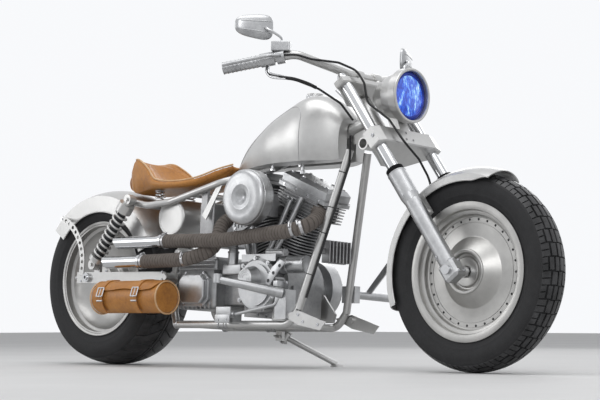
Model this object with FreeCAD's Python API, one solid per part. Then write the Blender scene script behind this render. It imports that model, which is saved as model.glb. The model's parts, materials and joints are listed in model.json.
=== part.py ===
import FreeCAD, Part
import math
import os

# Chopper motorcycle, parked on its side stand.
# Bike frame: X forward from the rear axle, Y to the rider's left, Z up from the floor, upright.
# The frame's origin lies under the rear axle. Bigger wheels move the frame forward by the growth of
# their diameter and up by the growth of their radius, so that it stays clear of them.
# The finished bike is leaned to the left and set down with the origin at the middle of its base.

V = FreeCAD.Vector
ALONG_X = V(1, 0, 0)
ALONG_Y = V(0, 1, 0)
ALONG_Z = V(0, 0, 1)
SIDES = (-1, 1)

# Stance
FRONT_AXLE_X = 1764.0
AXLE_SETBACK = 655.0
AXLE_RISE = 327.5
LEAN_DEG = 3.0
RAKE_DEG = 37.0
FIT = 0.3
RUN_GAP = 1.5
BEARING_GAP = 0.5
OVERRUN = 4.0

# Tyres and rims
WHEEL_RADIUS = 327.5
FRONT_RIM_SHARE = 0.7053
REAR_RIM_SHARE = 0.6779
TREAD_HALF_SHARE = 0.44
SHOULDER_DROP_SHARE = 0.2
BELLY_SHARE = 0.45
BEAD_DEPTH = 8.0
FLANGE = 4.0
FRONT_TYRE_WIDTH = 140.0
FRONT_RIM_WIDTH = FRONT_TYRE_WIDTH - 20.0
FRONT_RIM_RADIUS = WHEEL_RADIUS * FRONT_RIM_SHARE
REAR_TYRE_WIDTH = 226.0
REAR_RIM_WIDTH = REAR_TYRE_WIDTH - 18.0
REAR_RIM_RADIUS = WHEEL_RADIUS * REAR_RIM_SHARE
RIM_WALL = 7.0
RIM_STEP_SHARES = (0.2, 0.3, 0.7, 0.8)
WEB_WALL = 9.0
AXLE_RADIUS = 11.0
HUB_RADIUS = 50.0
HUB_BACK = 12.0

# Shown side of the front wheel, as depths in from the lip
FRONT_LIP = 25.0
STEP_TAPER = 2.0
STEP_DEPTH = 17.0
STEP_RING = 13.0
FACE_TAPER = 7.0
FACE_DEPTH = 36.0
CONE_RADIUS = 118.0
HUB_RING_RADIUS = 73.0
HUB_RING_WALL = 7.0
HUB_RING_OUT = 9.0
HUB_RECESS_RADIUS = 56.0
HUB_RECESS = 9.5

# Shown side of the rear wheel, a deep bowl
REAR_LIP = 11.0
BOWL_WALL_TAPER = 2.5
BOWL_WALL_DEPTH = 26.0
BOWL_EDGE = 30.0
BOWL_EDGE_DEPTH = 44.0
BOWL_MIDDLE = 72.0
BOWL_MIDDLE_DEPTH = 78.0
BOWL_FLOOR_RADIUS = 74.0
BOWL_FLOOR_DEPTH = 96.0
REAR_HUB_INSET = 16.5
BRAKE_DISC_RADIUS = 146.0
BRAKE_DISC_WALL = 5.0
BRAKE_DISC_GAP = 9.0
DISC_CARRIER_SHARE = 0.62
PULLEY_RIM_SHARES = (0.82, 0.76)

# Front end, in fork coordinates: X ahead of the tubes, Z up along them from the front axle
FORK_HALF = 133.0
FORK_TUBE_RADIUS = 20.5
FORK_TOP = 838.0
LEG_RADIUS = 28.0
LEG_SWELL = 4.0
LEG_TOP = 412.0
LEG_BOTTOM = -26.0
LEG_FOOT_SHARE = 0.8
LEG_SWELL_SHARES = (0.7, 0.76)
AXLE_CLAMP_HALF = 32.0
AXLE_CLAMP_LOW = -36.0
AXLE_CLAMP_HIGH = 30.0
AXLE_CLAMP_CHAMFER = 9.0
SPACER_SHARE = 1.6
AXLE_HEAD_SHARE = 1.4
TUBE_CAP_SHARE = 0.7
SEAL_HEIGHT = 16.0
STEER_OFFSET = 60.0
LOWER_CLAMP_BOTTOM = 530.0
LOWER_CLAMP_TOP = 600.0
UPPER_CLAMP_BOTTOM = 805.0
UPPER_CLAMP_TOP = 832.0
CLAMP_HALF = 166.0
CLAMP_FRONT = 34.0
CLAMP_BACK = 92.0
CLAMP_CHAMFER = 4.0
CLAMP_EAR = FORK_TUBE_RADIUS + 14.0
EAR_FLAT_SHARE = 0.6
FRONT_FLAT_SHARE = 0.7
LOBE_SHARE = 1.3
UPPER_FRONT_SHARE = 0.8
STEM_NUT_SHARE = 1.6
STEM_RADIUS = 15.5
NECK_RADIUS = 33.0
NECK_BORE = 16.0
NECK_BOTTOM = 606.0
NECK_TOP = 799.0
NECK_BACK = 26.0
GUSSET_UP = 10.0
GUSSET_DOWN = 60.0
GUSSET_HALF = 5.0
GUSSET_TOP = 20.0
STEER_LIMIT_DEG = 24.0

# Front caliper, in fork coordinates
CALIPER_BACK = 118.0
CALIPER_FRONT = 58.0
CALIPER_LOW = 52.0
CALIPER_HIGH = 132.0
CALIPER_HALF = 19.0
CALIPER_EDGE = 6.0
CALIPER_ARM_INSET = 10.0

# Handlebar and what it carries
BAR_RADIUS = 15.0
BAR_BEND = 55.0
BAR_AHEAD = 5.0
BAR_RISE = 30.0
BAR_FLAT_HALF = 70.0
BAR_BEND_POINT = V(1191.0, 300.0, 1065.0)
BAR_TIP = V(974.0, 430.0, 1015.0)
RISER_RADIUS = 16.0
RISER_HALF = 46.0
RISER_WALL = 7.0
GRIP_LENGTH = 134.0
GRIP_RADIUS = 20.0
SWITCH_LENGTH = 50.0
SWITCH_RADIUS = 24.0
PERCH_OFFSET = 42.0
PERCH_HALF = 14.0
PERCH_SINK = 6.0
GRIP_RIBS = 9
GRIP_RIB_HEIGHT = 2.0
RIB_SHARES = (0.3, 0.8)
RESERVOIR_LENGTH = 66.0
RESERVOIR_WIDTH = 42.0
RESERVOIR_HEIGHT = 34.0
RESERVOIR_EDGE = 4.0
LEVER_BEND = 20.0
LEVER_ROOT = 17.0
LEVER_TIP_BACK = 10.0
LEVER_SHARES = (0.6, 0.9)
LEVER_REACH = 62.0
LEVER_RADIUS = 6.0
MIRROR_CENTRE = V(1083.0, 400.0, 1155.0)
MIRROR_WIDTH = 138.0
MIRROR_HEIGHT = 98.0
MIRROR_DEPTH = 22.0
MIRROR_YAW_DEG = 26.0
MIRROR_STEM_RADIUS = 5.0
MIRROR_STEM_BEND = 30.0
MIRROR_ELBOW = V(-10.0, 20.0, -20.0)
MIRROR_PLAN_SHARES = ((-0.84, -1.0), (0.8, -1.0), (1.0, -0.7), (0.92, 0.8), (0.8, 1.0), (-0.8, 1.0),
                      (-0.92, 0.85), (-1.0, -0.75))
MIRROR_BACK_SHARE = 0.84

# Headlamp
LAMP_Z = 941.0
LAMP_BACK = 1308.0
LAMP_FRONT = 1462.0
LAMP_RADIUS = 93.0
LAMP_BACK_RADIUS = 28.0
LAMP_RING_DEPTH = 36.0
LAMP_WALL = 8.0
LENS_INSET = 16.0
LENS_BULGE = 12.0
LENS_SHARES = ((0.7, 0.4), (0.35, 0.1))
BUCKET_SHARES = ((0.6, 0.2), (0.84, 0.5))
BUCKET_RIM_SHARE = 0.92
RING_STEP = 3.0
LAMP_FOOT_SHARE = 0.55
LAMP_UNDER_SHARE = 0.7
LAMP_BRACKET_HALF = 24.0
LAMP_BRACKET_BACK = 24.0
LAMP_BRACKET_FRONT = 20.0
LAMP_BRACKET_LIFT = 6.0

# Fenders
FENDER_WALL = 3.0
FENDER_GAP = 23.0
FRONT_FENDER_RADIUS = WHEEL_RADIUS + FENDER_GAP
FRONT_FENDER_HALF = FRONT_TYRE_WIDTH / 2 + 14.0
FRONT_FENDER_SKIRT = 52.0
FRONT_LIP_FROM_DEG = 72.0
FRONT_SKIRT_FROM_DEG = 84.0
FRONT_FENDER_TO_DEG = 201.0
FRONT_LIP_SKIRT = 34.0
REAR_FENDER_RADIUS = WHEEL_RADIUS + FENDER_GAP
REAR_FENDER_HALF = REAR_TYRE_WIDTH / 2 + 11.0
REAR_FENDER_SKIRT = 94.0
REAR_FENDER_FROM_DEG = 22.0
REAR_FENDER_TO_DEG = 143.0
CROWN_DROP = 30.0
STRUT_WIDTH = 26.0
STRUT_WALL = 4.0
STRUT_HOLE = 7.0
STRUT_HOLES = 10
STRUT_STEPS = 12
STRUT_FOOT = V(-38.0, 0.0, 10.0)
STRUT_BOW = V(-58.0, 0.0, 146.0)
STRUT_HEAD = V(-166.0, 0.0, 232.0)
STAY_DROP = 100.0
STAY_WIDTH = 40.0
STAY_HEIGHT = 80.0
STAY_WALL = 4.0
STAY_POST_RADIUS = 9.0

# Frame tubes
TUBE_RADIUS = 14.0
RAIL_HALF = 125.0
RAIL_Z = 150.0
RAIL_BACK = 468.0
RAIL_FRONT = 1040.0
DOWNTUBE_FOOT = V(1083.0, 125.0, 203.0)
DOWNTUBE_HEAD = V(1228.0, 47.0, 762.0)
BACKBONE_RADIUS = 21.0
TUNNEL_GAP = 4.0
TUNNEL_REACH = 120.0
NECK_WELD = V(20.0, 0.0, 8.0)
BACKBONE_HEAD = V(1232.0, 0.0, 850.0)
BACKBONE_KNEE = V(1130.0, 0.0, 820.0)
BACKBONE_TAIL = V(704.0, 0.0, 700.0)
SEAT_RAIL_HALF = 112.0
SEAT_RAIL_RADIUS = 13.0
SHOCK_STUD_INSET = 38.0
UPRIGHT_HALF = 97.0
UPRIGHT_POINTS = ((434.0, 8.0, 196.0), (426.0, 0.0, 262.0), (422.0, 0.0, 398.0), (424.0, -10.0, 424.0))
POST_POINTS = (V(424.0, 0.0, 416.0), V(480.0, 0.0, 446.0), V(500.0, 0.0, 628.0))
POST_BRIDGE_X = 500.0
POST_BRIDGE_Z = 634.0
SEAT_RAIL_POINTS = (V(722.0, 12.0, 704.0), V(668.0, 104.0, 674.0), V(390.0, 112.0, 608.0))
SEAT_RAIL_TAIL = ((300.0, 596.0), (216.0, 612.0))
CROSS_REAR_X = 520.0
CROSS_FRONT_X = 1030.0
CROSS_SEAT_X = 300.0
CROSS_SEAT_Z = 596.0
SADDLE_PLACES = (900.0, 1060.0)
SADDLE_HALF = 14.0
SADDLE_DROP = 24.0
SADDLE_WALL = 20.0
TONGUE = ((704.0, 686.0), (704.0, 704.0), (650.0, 710.0), (606.0, 706.0), (606.0, 686.0))
TONGUE_HALF = 20.0
ENGINE_PLATE = ((930.0, 166.0), (1050.0, 166.0), (1060.0, 196.0), (1000.0, 266.0), (940.0, 266.0))
ENGINE_PLATE_WALL = 8.0
FOOT_PLATE = ((1016.0, 184.0), (1098.0, 198.0), (1226.0, 158.0), (1200.0, 130.0), (1100.0, 148.0))
FOOT_PLATE_OUT = 142.0
PIVOT_BOSS_RADIUS = 26.0
BRIDGE_RADIUS = 11.0
SIDE_STRAP = ((662.0, 664.0), (634.0, 660.0), (560.0, 552.0), (582.0, 536.0))
SIDE_STRAP_OUT = 107.0
STRAP_WALL = 4.0
CROSS_TUBE_RADIUS = 22.0
CROSS_TUBE_BORE = 16.5
CROSS_TUBE_HALF = 62.0
CROSS_TUBE_BACK = 99.0
CROSS_TUBE_UP = 640.0
FRAME_BEND = 60.0

# Swingarm, shocks and drive
PIVOT = V(424.0, 0.0, 322.0)
PIVOT_RADIUS = 18.0
ARM_GAP = 45.0
ARM_HALF = REAR_TYRE_WIDTH / 2 + ARM_GAP
ARM_WALL = 12.0
ARM_HEIGHT = 42.0
ARM_TAIL = 64.0
AXLE_END = 16.0
AXLE_NUT = 12.0
AXLE_HOLE_RADIUS = 5.5
AXLE_HOLE_DEPTH = 40.0
TAB_HALF = 16.0
SHOCK_GAP = 22.0
SHOCK_HALF = ARM_HALF + SHOCK_GAP
SHOCK_STUD_HALF = SHOCK_HALF - SHOCK_STUD_INSET
SHOCK_TOP = V(240.0, 0.0, 617.0)
SHOCK_FOOT_AHEAD = 52.0
SHOCK_FOOT_UP = 46.5
SHOCK_EYE_HALF = 14.0
SHOCK_EYE_WALL = 4.0
SHROUD_FROM = 20.0
SHROUD_TO = 56.0
FOOT_CUP = 22.0
SHOCK_EYE_RADIUS = 15.0
SHOCK_BOLT_RADIUS = 7.0
SHOCK_ROD_RADIUS = 16.0
SPRING_START = 60.0
SPRING_FOOT = 40.0
SPRING_SHARES = (0.2, 0.6, 0.8)
SPRING_RADIUS = 29.0
SPRING_TURNS = 9
SHROUD_RADIUS = 31.0
DAMPER_RADIUS = 20.0
PULLEY_RADIUS = 95.0
PULLEY_INNER = REAR_TYRE_WIDTH / 2 + 8.0
PULLEY_WIDTH = 24.0
OUTPUT_PULLEY_RADIUS = 44.0
BELT_WALL = 6.0
SHAFT_RADIUS = 20.0

# Engine
CRANK = V(885.0, 0.0, 290.0)
V_HALF_ANGLE_DEG = 22.5
CASE_RADIUS = 115.0
CASE_HALF = 92.0
BARREL_FOOT = 116.0
BARREL_TOP = 284.0
HEAD_TOP = 350.0
ROCKER_TOP = 408.0
BARREL_RADIUS = 52.0
FIN_RADIUS = 80.0
FIN_WALL = 4.0
FIN_PITCH = 11.0
HEAD_HALF_LENGTH = 104.0
HEAD_HALF_WIDTH = 72.0
ROCKER_HALF_LENGTH = 120.0
ROCKER_HALF_WIDTH = 67.0
ROCKER_BASE = 14.0
ROCKER_STEP = 4.0
ROCKER_CHAMFER = 14.0
PUSHROD_RADIUS = 9.0
PUSHROD_SPREAD = 26.0
PUSHROD_FOOT_HALF = 118.0
PUSHROD_FOOT_UP = 106.0
PUSHROD_FOOT_OUT = 46.0
PUSHROD_FOOT_SHARE = 0.6
PUSHROD_HEAD_DROP = 14.0
TAPPET_HALF = 84.0
TAPPET_LOW = 84.0
TAPPET_HIGH = 110.0
DECK_HALF_LENGTH = 62.0
DECK_HALF_WIDTH = 70.0
SUMP_BACK = 118.0
SUMP_FRONT = 122.0
SUMP_LIFT = 30.0
SUMP_SHARE = 0.8
HEAD_CORE_SHARES = (0.8, 0.85)
ROCKER_TOP_SHARES = (0.95, 0.94)
FIN_START_SHARE = 0.5
CAM_COVER_RADIUS = 97.0
CAM_COVER_OUT = 150.0
NOSE_OUT = 188.0
NOSE_RADIUS = 33.0
NOSE_BACK = 10.0
NOSE_UP = 22.0
NOSE_FLARE = 14.0
CAM_CHAMFER = 10.0
CAM_STEP = 8.0
CAM_PANEL_SHARE = 0.78
AIR_CLEANER = V(900.0, 0.0, 593.0)
AIR_CLEANER_RADIUS = 100.0
AIR_CLEANER_OUT = 250.0
AIR_CLEANER_IN = 174.0
AIR_PLATE_WALL = 10.0
AIR_PLATE_SHARE = 0.8
AIR_FACE_SHARES = (0.9, 0.96, 0.3, 0.2)
AIR_TONGUE = ((845.0, 520.0), (812.0, 486.0), (838.0, 474.0), (905.0, 505.0))
CARB_RADIUS = 26.0
CARB_DROP = 18.0
CARB_LOW = V(-34.0, -150.0, -60.0)
CARB_HIGH = V(34.0, -92.0, 20.0)
CARB_REACH = 30.0
RUNNER_HALF = 120.0
RUNNER_UP = 290.0
RUNNER_RADIUS = 22.0
GEARBOX_BACK = 452.0
GEARBOX_FRONT = 652.0
GEARBOX_BOTTOM = 206.0
GEARBOX_TOP = 398.0
GEARBOX_HALF = 112.0
GEARBOX_EDGE = 14.0
SIDE_COVER = V(548.0, 0.0, 282.0)
SIDE_COVER_RADIUS = 52.0
SIDE_COVER_WALL = 24.0
SIDE_COVER_EDGE = 6.0
LINK_HALF = 60.0
LINK_LAP = 20.0
OUTPUT_SHAFT = V(560.0, 0.0, 302.0)
PRIMARY_IN = 152.0
PRIMARY_OUT = 204.0
PRIMARY_FRONT_RADIUS = 104.0
PRIMARY_BACK_RADIUS = 84.0
PRIMARY_SHIFT = 6.0
PRIMARY_NECK_RADIUS = 70.0
PRIMARY_EDGE = 8.0
FILTER = V(972.0, -100.0, 362.0)
FILTER_LENGTH = 122.0
FILTER_RADIUS = 30.0
REGULATOR = V(1120.0, 0.0, 370.0)
REGULATOR_HALF = 56.0
REGULATOR_HEIGHT = 80.0
REGULATOR_WALL = 14.0
REGULATOR_FINS = 7
REGULATOR_FIN = 5.0
REGULATOR_FIN_DEPTH = 22.0
REGULATOR_INSET = 2.0
STRAP_HALF = 96.0
STRAP_LOW = 30.0
STRAP_HIGH = 50.0
STRAP_BACK = 6.0

# Exhausts
PIPE_RADIUS = 25.0
TIP_RADIUS = 23.0
PIPE_BEND = 62.0
UPPER_PIPE_OUT = 192.0
LOWER_PIPE_OUT = 206.0
PORT_DROP = 36.0
UPPER_PORT_SHARE = 0.7
UPPER_PORT = V(0.0, -40.0, -20.0)
LOWER_PORT = V(6.0, -30.0, -16.0)
UPPER_BENDS = (V(1122.0, -78.0, 532.0), V(1156.0, -169.0, 488.0), V(1074.0, -192.0, 470.0),
               V(760.0, -192.0, 448.0))
LOWER_BENDS = (V(656.0, -96.0, 516.0), V(684.0, -156.0, 420.0), V(600.0, -206.0, 382.0))
UPPER_TIP = (457.0, 180.0, 452.0)
LOWER_TIP = (357.0, 136.0, 378.0)
TIP_WALL = 3.0
TIP_OPEN = 110.0
TIP_SLANT_BACK = 16.0
TIP_SLANT_BOX = 80.0
TIP_SLANT_DEG = 28.0
COLLAR_LENGTH = 14.0
COLLAR_RISE = 5.0

# Tank, seat and boxes
TANK_BACK = 648.0
TANK_FRONT = 1192.0
TANK_BOTTOM = 726.0
TANK_TOP = 970.0
TANK_HALF = 124.0
TANK_STATION_SHARES = (
    (0.0, 0.12, -0.05, 0.03), (0.05, 0.26, -0.045, 0.13), (0.16, 0.5, -0.03, 0.37), (0.29, 0.7, -0.015, 0.55),
    (0.42, 0.86, 0.0, 0.71), (0.625, 0.98, 0.0, 0.925), (0.745, 1.0, 0.0, 1.0), (0.868, 0.86, 0.0, 0.93),
    (1.0, 0.56, 0.02, 0.64),
)
TANK_EDGE_SHARES = ((0.93, 0.0), (1.0, 0.22), (0.985, 0.6), (0.72, 0.9))
SLOT_BACK = 40.0
SLOT_DROP = 60.0
CAP = V(1010.0, 0.0, 0.0)
CAP_RADIUS = 32.0
CAP_HEIGHT = 12.0
CAP_SINK = 16.0
SEAT_STATIONS = (
    (108.0, 45.0, 690.0, 722.0, 716.0), (120.0, 72.0, 668.0, 745.0, 740.0),
    (150.0, 92.0, 653.0, 775.0, 770.0), (163.0, 95.0, 650.0, 785.0, 780.0),
    (190.0, 104.0, 650.0, 783.0, 771.0), (230.0, 112.0, 655.0, 760.0, 726.0),
    (262.0, 120.0, 658.0, 738.0, 700.0), (310.0, 129.0, 660.0, 698.0, 676.0),
    (415.0, 130.0, 658.0, 686.0, 668.0), (511.0, 108.0, 668.0, 697.0, 684.0),
    (590.0, 70.0, 695.0, 728.0, 720.0), (644.0, 42.0, 720.0, 746.0, 742.0),
)
SEAT_EDGE_SHARES = (0.86, 0.45, 0.98, 0.86, 0.5)
SEAT_SPRING = V(300.0, 82.0, 600.0)
SEAT_SPRING_TOP = 658.5
SEAT_SPRING_RADIUS = 18.0
SEAT_SPRING_CORE = 12.0
SEAT_SPRING_TURNS = 4
OIL_TANK = V(386.0, 0.0, 552.0)
OIL_TANK_RADIUS = 70.0
OIL_TANK_HALF = 99.5
OIL_TANK_EDGE = 8.0
FILLER_RADIUS = 16.0
FILLER_FOOT = V(12.0, -60.0, 0.0)
FILLER_TOP = V(20.0, -70.0, 84.0)
OIL_TAB_LOW = V(60.0, -20.0, -12.0)
OIL_TAB_HIGH = V(104.0, 20.0, 12.0)
BOX_BACK = 530.0
BOX_FRONT = 604.0
BOX_BOTTOM = 440.0
BOX_TOP = 600.0
BOX_HALF = 90.0
BOX_EDGE = 8.0
BOX_TAB_BACK = 545.0
BOX_TAB_FRONT = 575.0
BOX_TAB_IN = 84.0
BOX_TAB_OUT = 96.0
BOX_TAB_DROP = 30.0
BOX_TAB_TOP = 655.0

# Tool bag
BAG_RADIUS = 62.0
BAG_BACK = 150.0
BAG_FRONT = 515.0
BAG_OUT = ARM_HALF + 60.0
BAG_Z = 243.0
BAG_EDGE = 10.0
HANGER_BACK = 250.0
HANGER_FRONT = 420.0
HANGER_WALL = 6.0

# Foot controls
PEG_ROOT = V(1020.0, -145.0, 260.0)
PEG_TIP = V(883.0, -331.0, 297.0)
PEG_ROOT_RADIUS = 20.0
PEG_TIP_RADIUS = 12.0
MASTER_START = V(742.0, -172.0, 184.0)
MASTER_END = V(820.0, -172.0, 184.0)
MASTER_RADIUS = 14.0
MASTER_PLATE = (V(752.0, -172.0, 154.0), V(806.0, -126.0, 196.0))
PEDAL_FOOT = V(990.0, -150.0, 218.0)
RIGHT_BRACKET_LOW = V(990.0, -150.0, 168.0)
RIGHT_BRACKET_HIGH = V(1044.0, -101.0, 272.0)
LEFT_BRACKET_LOW = V(1058.0, 126.0, 240.0)
LEFT_BRACKET_HIGH = V(1118.0, 155.0, 300.0)
LEFT_PEG = (V(1088.0, 153.0, 272.0), V(1098.0, 350.0, 269.0))
LEFT_PEG_RADIUS = 15.0
SHIFT_LEVER = ((1068.0, 268.0), (1090.0, 262.0), (1204.0, 380.0), (1186.0, 396.0))
SHIFT_LEVER_IN = 226.0
SHIFT_LEVER_OUT = 232.0
SHIFT_PAD = (V(1192.0, 232.0, 386.0), V(1192.0, 290.0, 386.0))
SHIFT_PAD_RADIUS = 11.0
SHIFT_STUB = (V(1078.0, 153.0, 290.0), V(1078.0, 228.0, 276.0))
SHIFT_STUB_RADIUS = 8.0
PEDAL_ROD_RADIUS = 6.0

# Hoses and wires
HOSE_RADIUS = 4.0
HOSE_BEND = 40.0
HOSE_BANJO = 20.0
HOSE_ON_BAR = (V(1209.0, -318.0, 1059.0), V(1226.0, -262.0, 1050.0), V(1262.0, -160.0, 1050.0))
HOSE_ON_FORK = (V(44.0, -96.0, 846.0), V(42.0, -90.0, 790.0), V(10.0, -84.0, 730.0), V(46.0, -76.0, 622.0),
                V(48.0, -66.0, 520.0), V(20.0, 10.0, 478.0), V(-30.0, 92.0, 446.0), V(-52.0, 96.5, 390.0),
                V(-62.0, 96.5, 290.0), V(-86.0, 84.0, 130.0))
THROTTLE_LINE = (V(1108.0, -350.0, 1027.0), V(1110.0, -352.0, 996.0), V(1166.0, -286.0, 984.0),
                 V(1190.0, -178.0, 962.0), V(1228.0, -104.0, 918.0), V(1254.0, -66.0, 862.0))
WIRING_TOP = V(1250.0, -72.0, 810.0)
WIRING_AHEAD = TUBE_RADIUS + HOSE_RADIUS + FIT
WIRING_SHARES = (0.08, 0.92)


# Side stand
STAND_PIVOT = V(760.0, 150.0, 118.0)
STAND_FOLDED_SHARES = V(-0.98, 0.17, 0.05)
STAND_HUB_RADIUS = 16.0
STAND_HUB_HALF = 14.0
STAND_PIN_RADIUS = 6.0
STAND_EAR_WALL = 5.0
STAND_FOOT_PLACE = V(900.0, 286.0, 24.0)
STAND_PAD_TAPER = 4.0
STAND_SPAN = 200.0
STAND_RADIUS = 10.0
FOOT_PAD_RADIUS = 26.0
FOOT_PAD_WALL = 8.0
STAND_FOLD_DEG = 123.0


# Shape helpers

def circle_wire(radius, centre, direction):
    return Part.Wire([Part.makeCircle(radius, centre, direction)])


def rod(start, end, radius):
    """A round bar between two points."""
    direction = end - start
    return Part.makeCylinder(radius, direction.Length, start, direction)


def ring(start, end, radius, bore):
    """A round tube between two points."""
    return rod(start, end, radius).cut(rod(start, end, bore))


def block(low, high):
    """An upright box from its lowest to its highest corner."""
    size = high - low
    return Part.makeBox(size.x, size.y, size.z, low)


def polygon_face(points):
    return Part.Face(Part.makePolygon(list(points) + [points[0]]))


def side_outline(points, start_y, end_y):
    """Extrude an outline of (x, z) points from one Y to the other."""
    face = polygon_face([V(x, start_y, z) for x, z in points])
    return face.extrude(V(0, end_y - start_y, 0))


def lathe(points, centre, axis):
    """Turn a closed outline of (radius, along) points about an axis through centre."""
    face = polygon_face([V(radius, 0, along) for radius, along in points])
    solid = face.revolve(V(), ALONG_Z, 360)
    solid = Part.Solid(solid) if solid.ShapeType == "Shell" else solid
    turn = FreeCAD.Rotation(ALONG_Z, axis)
    solid.Placement = FreeCAD.Placement(centre, turn)
    return solid


def bent_path(points, bend):
    """Straight runs joined by tangent arcs of at most the given radius."""
    edges = []
    start = points[0]
    for before, corner, after in zip(points, points[1:], points[2:]):
        arrive = (corner - before).normalize()
        leave = (after - corner).normalize()
        turn = arrive.getAngle(leave)
        shorter = min((corner - before).Length, (after - corner).Length)
        trim = min(bend * math.tan(turn / 2), 0.45 * shorter)
        radius = trim / math.tan(turn / 2)
        entry = corner - arrive * trim
        exit_point = corner + leave * trim
        inward = (leave - arrive).normalize()
        middle = corner + inward * (radius / math.cos(turn / 2) - radius)
        edges.append(Part.LineSegment(start, entry).toShape())
        edges.append(Part.Arc(entry, middle, exit_point).toShape())
        start = exit_point
    edges.append(Part.LineSegment(start, points[-1]).toShape())
    return Part.Wire(edges)


def bent_tube(points, radius, bend):
    """A round bar along straight runs and tangent arcs."""
    if len(points) == 2:
        return rod(points[0], points[1], radius)
    path = bent_path(points, bend)
    profile = circle_wire(radius, points[0], points[1] - points[0])
    return path.makePipeShell([profile], True, False)


def mirrored(shape):
    return shape.mirror(V(), ALONG_Y)


def both_sides(shape):
    """A compound of a left piece and its mirror image on the right."""
    return Part.Compound([shape, mirrored(shape)])


def side_point(point, side):
    return V(point.x, point.y * side, point.z)


def largest_solid(shape):
    """Drop the stray slivers that a cut leaves."""
    return max(shape.Solids, key=lambda solid: solid.Volume)


def rounded(shape, radius):
    """Round every edge of a plain block."""
    return shape.makeFillet(radius, shape.Edges)


REAR_AXLE = V(AXLE_SETBACK - WHEEL_RADIUS * 2, 0, AXLE_RISE)
FRONT_AXLE = V(FRONT_AXLE_X, 0, AXLE_RISE)
FLOOR = AXLE_RISE - WHEEL_RADIUS
SHOCK_FOOT = REAR_AXLE + V(SHOCK_FOOT_AHEAD, 0, SHOCK_FOOT_UP)
STAND_FOOT = STAND_FOOT_PLACE + V(0, 0, FLOOR)
FORK_PLACE = FreeCAD.Placement(FRONT_AXLE, FreeCAD.Rotation(ALONG_Y, -RAKE_DEG))


def on_fork(shape):
    """Move a shape from fork coordinates to the bike frame."""
    placed = shape.copy()
    placed.Placement = FORK_PLACE.multiply(placed.Placement)
    return placed


def fork_point(ahead, across, along):
    return FORK_PLACE.multVec(V(ahead, across, along))


# Wheels

def tyre(centre, width, rim_radius, rim_width):
    """A tyre as one solid ring with a round crown and bulging walls."""
    bead = rim_radius - BEAD_DEPTH + FIT
    seat = rim_width / 2 - FLANGE - FIT
    wall_height = WHEEL_RADIUS - rim_radius
    shoulder = WHEEL_RADIUS - wall_height * SHOULDER_DROP_SHARE
    shoulder_half = width * TREAD_HALF_SHARE
    belly = rim_radius + wall_height * BELLY_SHARE
    crown = Part.Arc(V(shoulder, -shoulder_half, 0), V(WHEEL_RADIUS, 0, 0),
                     V(shoulder, shoulder_half, 0))
    edges = [crown.toShape()]
    for side in SIDES:
        neck = V(rim_radius + FLANGE, seat * side, 0)
        wall = Part.Arc(neck, V(belly, width / 2 * side, 0), V(shoulder, shoulder_half * side, 0))
        edges.append(wall.toShape())
        edges.append(Part.LineSegment(V(bead, seat * side, 0), neck).toShape())
    edges.append(Part.LineSegment(V(bead, -seat, 0), V(bead, seat, 0)).toShape())
    face = Part.Face(Part.Wire(Part.__sortEdges__(edges)))
    solid = face.revolve(V(), ALONG_Y, 360)
    solid.translate(centre)
    return solid


def front_face():
    """The shown side of the front wheel: a flat lip, a stepped ring, a face and a raised cone."""
    step = FRONT_RIM_RADIUS - FRONT_LIP
    ring_out = step - STEP_TAPER
    ring_in = ring_out - STEP_RING
    return [(FRONT_RIM_RADIUS, 0), (step, 0), (ring_out, STEP_DEPTH), (ring_in, STEP_DEPTH),
            (ring_in - FACE_TAPER, FACE_DEPTH), (CONE_RADIUS, FACE_DEPTH), (HUB_RING_RADIUS, -HUB_RING_OUT),
            (HUB_RING_RADIUS - HUB_RING_WALL, -HUB_RING_OUT), (HUB_RECESS_RADIUS, HUB_RECESS),
            (HUB_RADIUS, HUB_RECESS), (HUB_RADIUS, -FLANGE)]


def front_back():
    """The far side of the front web, from the hub outwards."""
    return [(HUB_RADIUS, FACE_DEPTH + WEB_WALL), (barrel_radius(FRONT_RIM_RADIUS), FACE_DEPTH + WEB_WALL)]


def rear_face():
    """The shown side of the rear wheel: a bright lip and a deep bowl round the hub."""
    wall = REAR_RIM_RADIUS - REAR_LIP
    return [(REAR_RIM_RADIUS, 0), (wall, 0), (wall - BOWL_WALL_TAPER, BOWL_WALL_DEPTH),
            (REAR_RIM_RADIUS - BOWL_EDGE, BOWL_EDGE_DEPTH), (REAR_RIM_RADIUS - BOWL_MIDDLE, BOWL_MIDDLE_DEPTH),
            (BOWL_FLOOR_RADIUS, BOWL_FLOOR_DEPTH), (HUB_RADIUS, BOWL_FLOOR_DEPTH),
            (HUB_RADIUS, REAR_HUB_INSET)]


def rear_back():
    """The far side of the rear bowl, from the hub outwards."""
    return [(HUB_RADIUS, BOWL_FLOOR_DEPTH + WEB_WALL), (BOWL_FLOOR_RADIUS, BOWL_FLOOR_DEPTH + WEB_WALL),
            (REAR_RIM_RADIUS - BOWL_MIDDLE, BOWL_MIDDLE_DEPTH + WEB_WALL),
            (barrel_radius(REAR_RIM_RADIUS), BOWL_EDGE_DEPTH + WEB_WALL * 2)]


def barrel_radius(rim_radius):
    """Inner radius of the rim under its well."""
    return rim_radius - BEAD_DEPTH - RIM_WALL * 3


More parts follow.
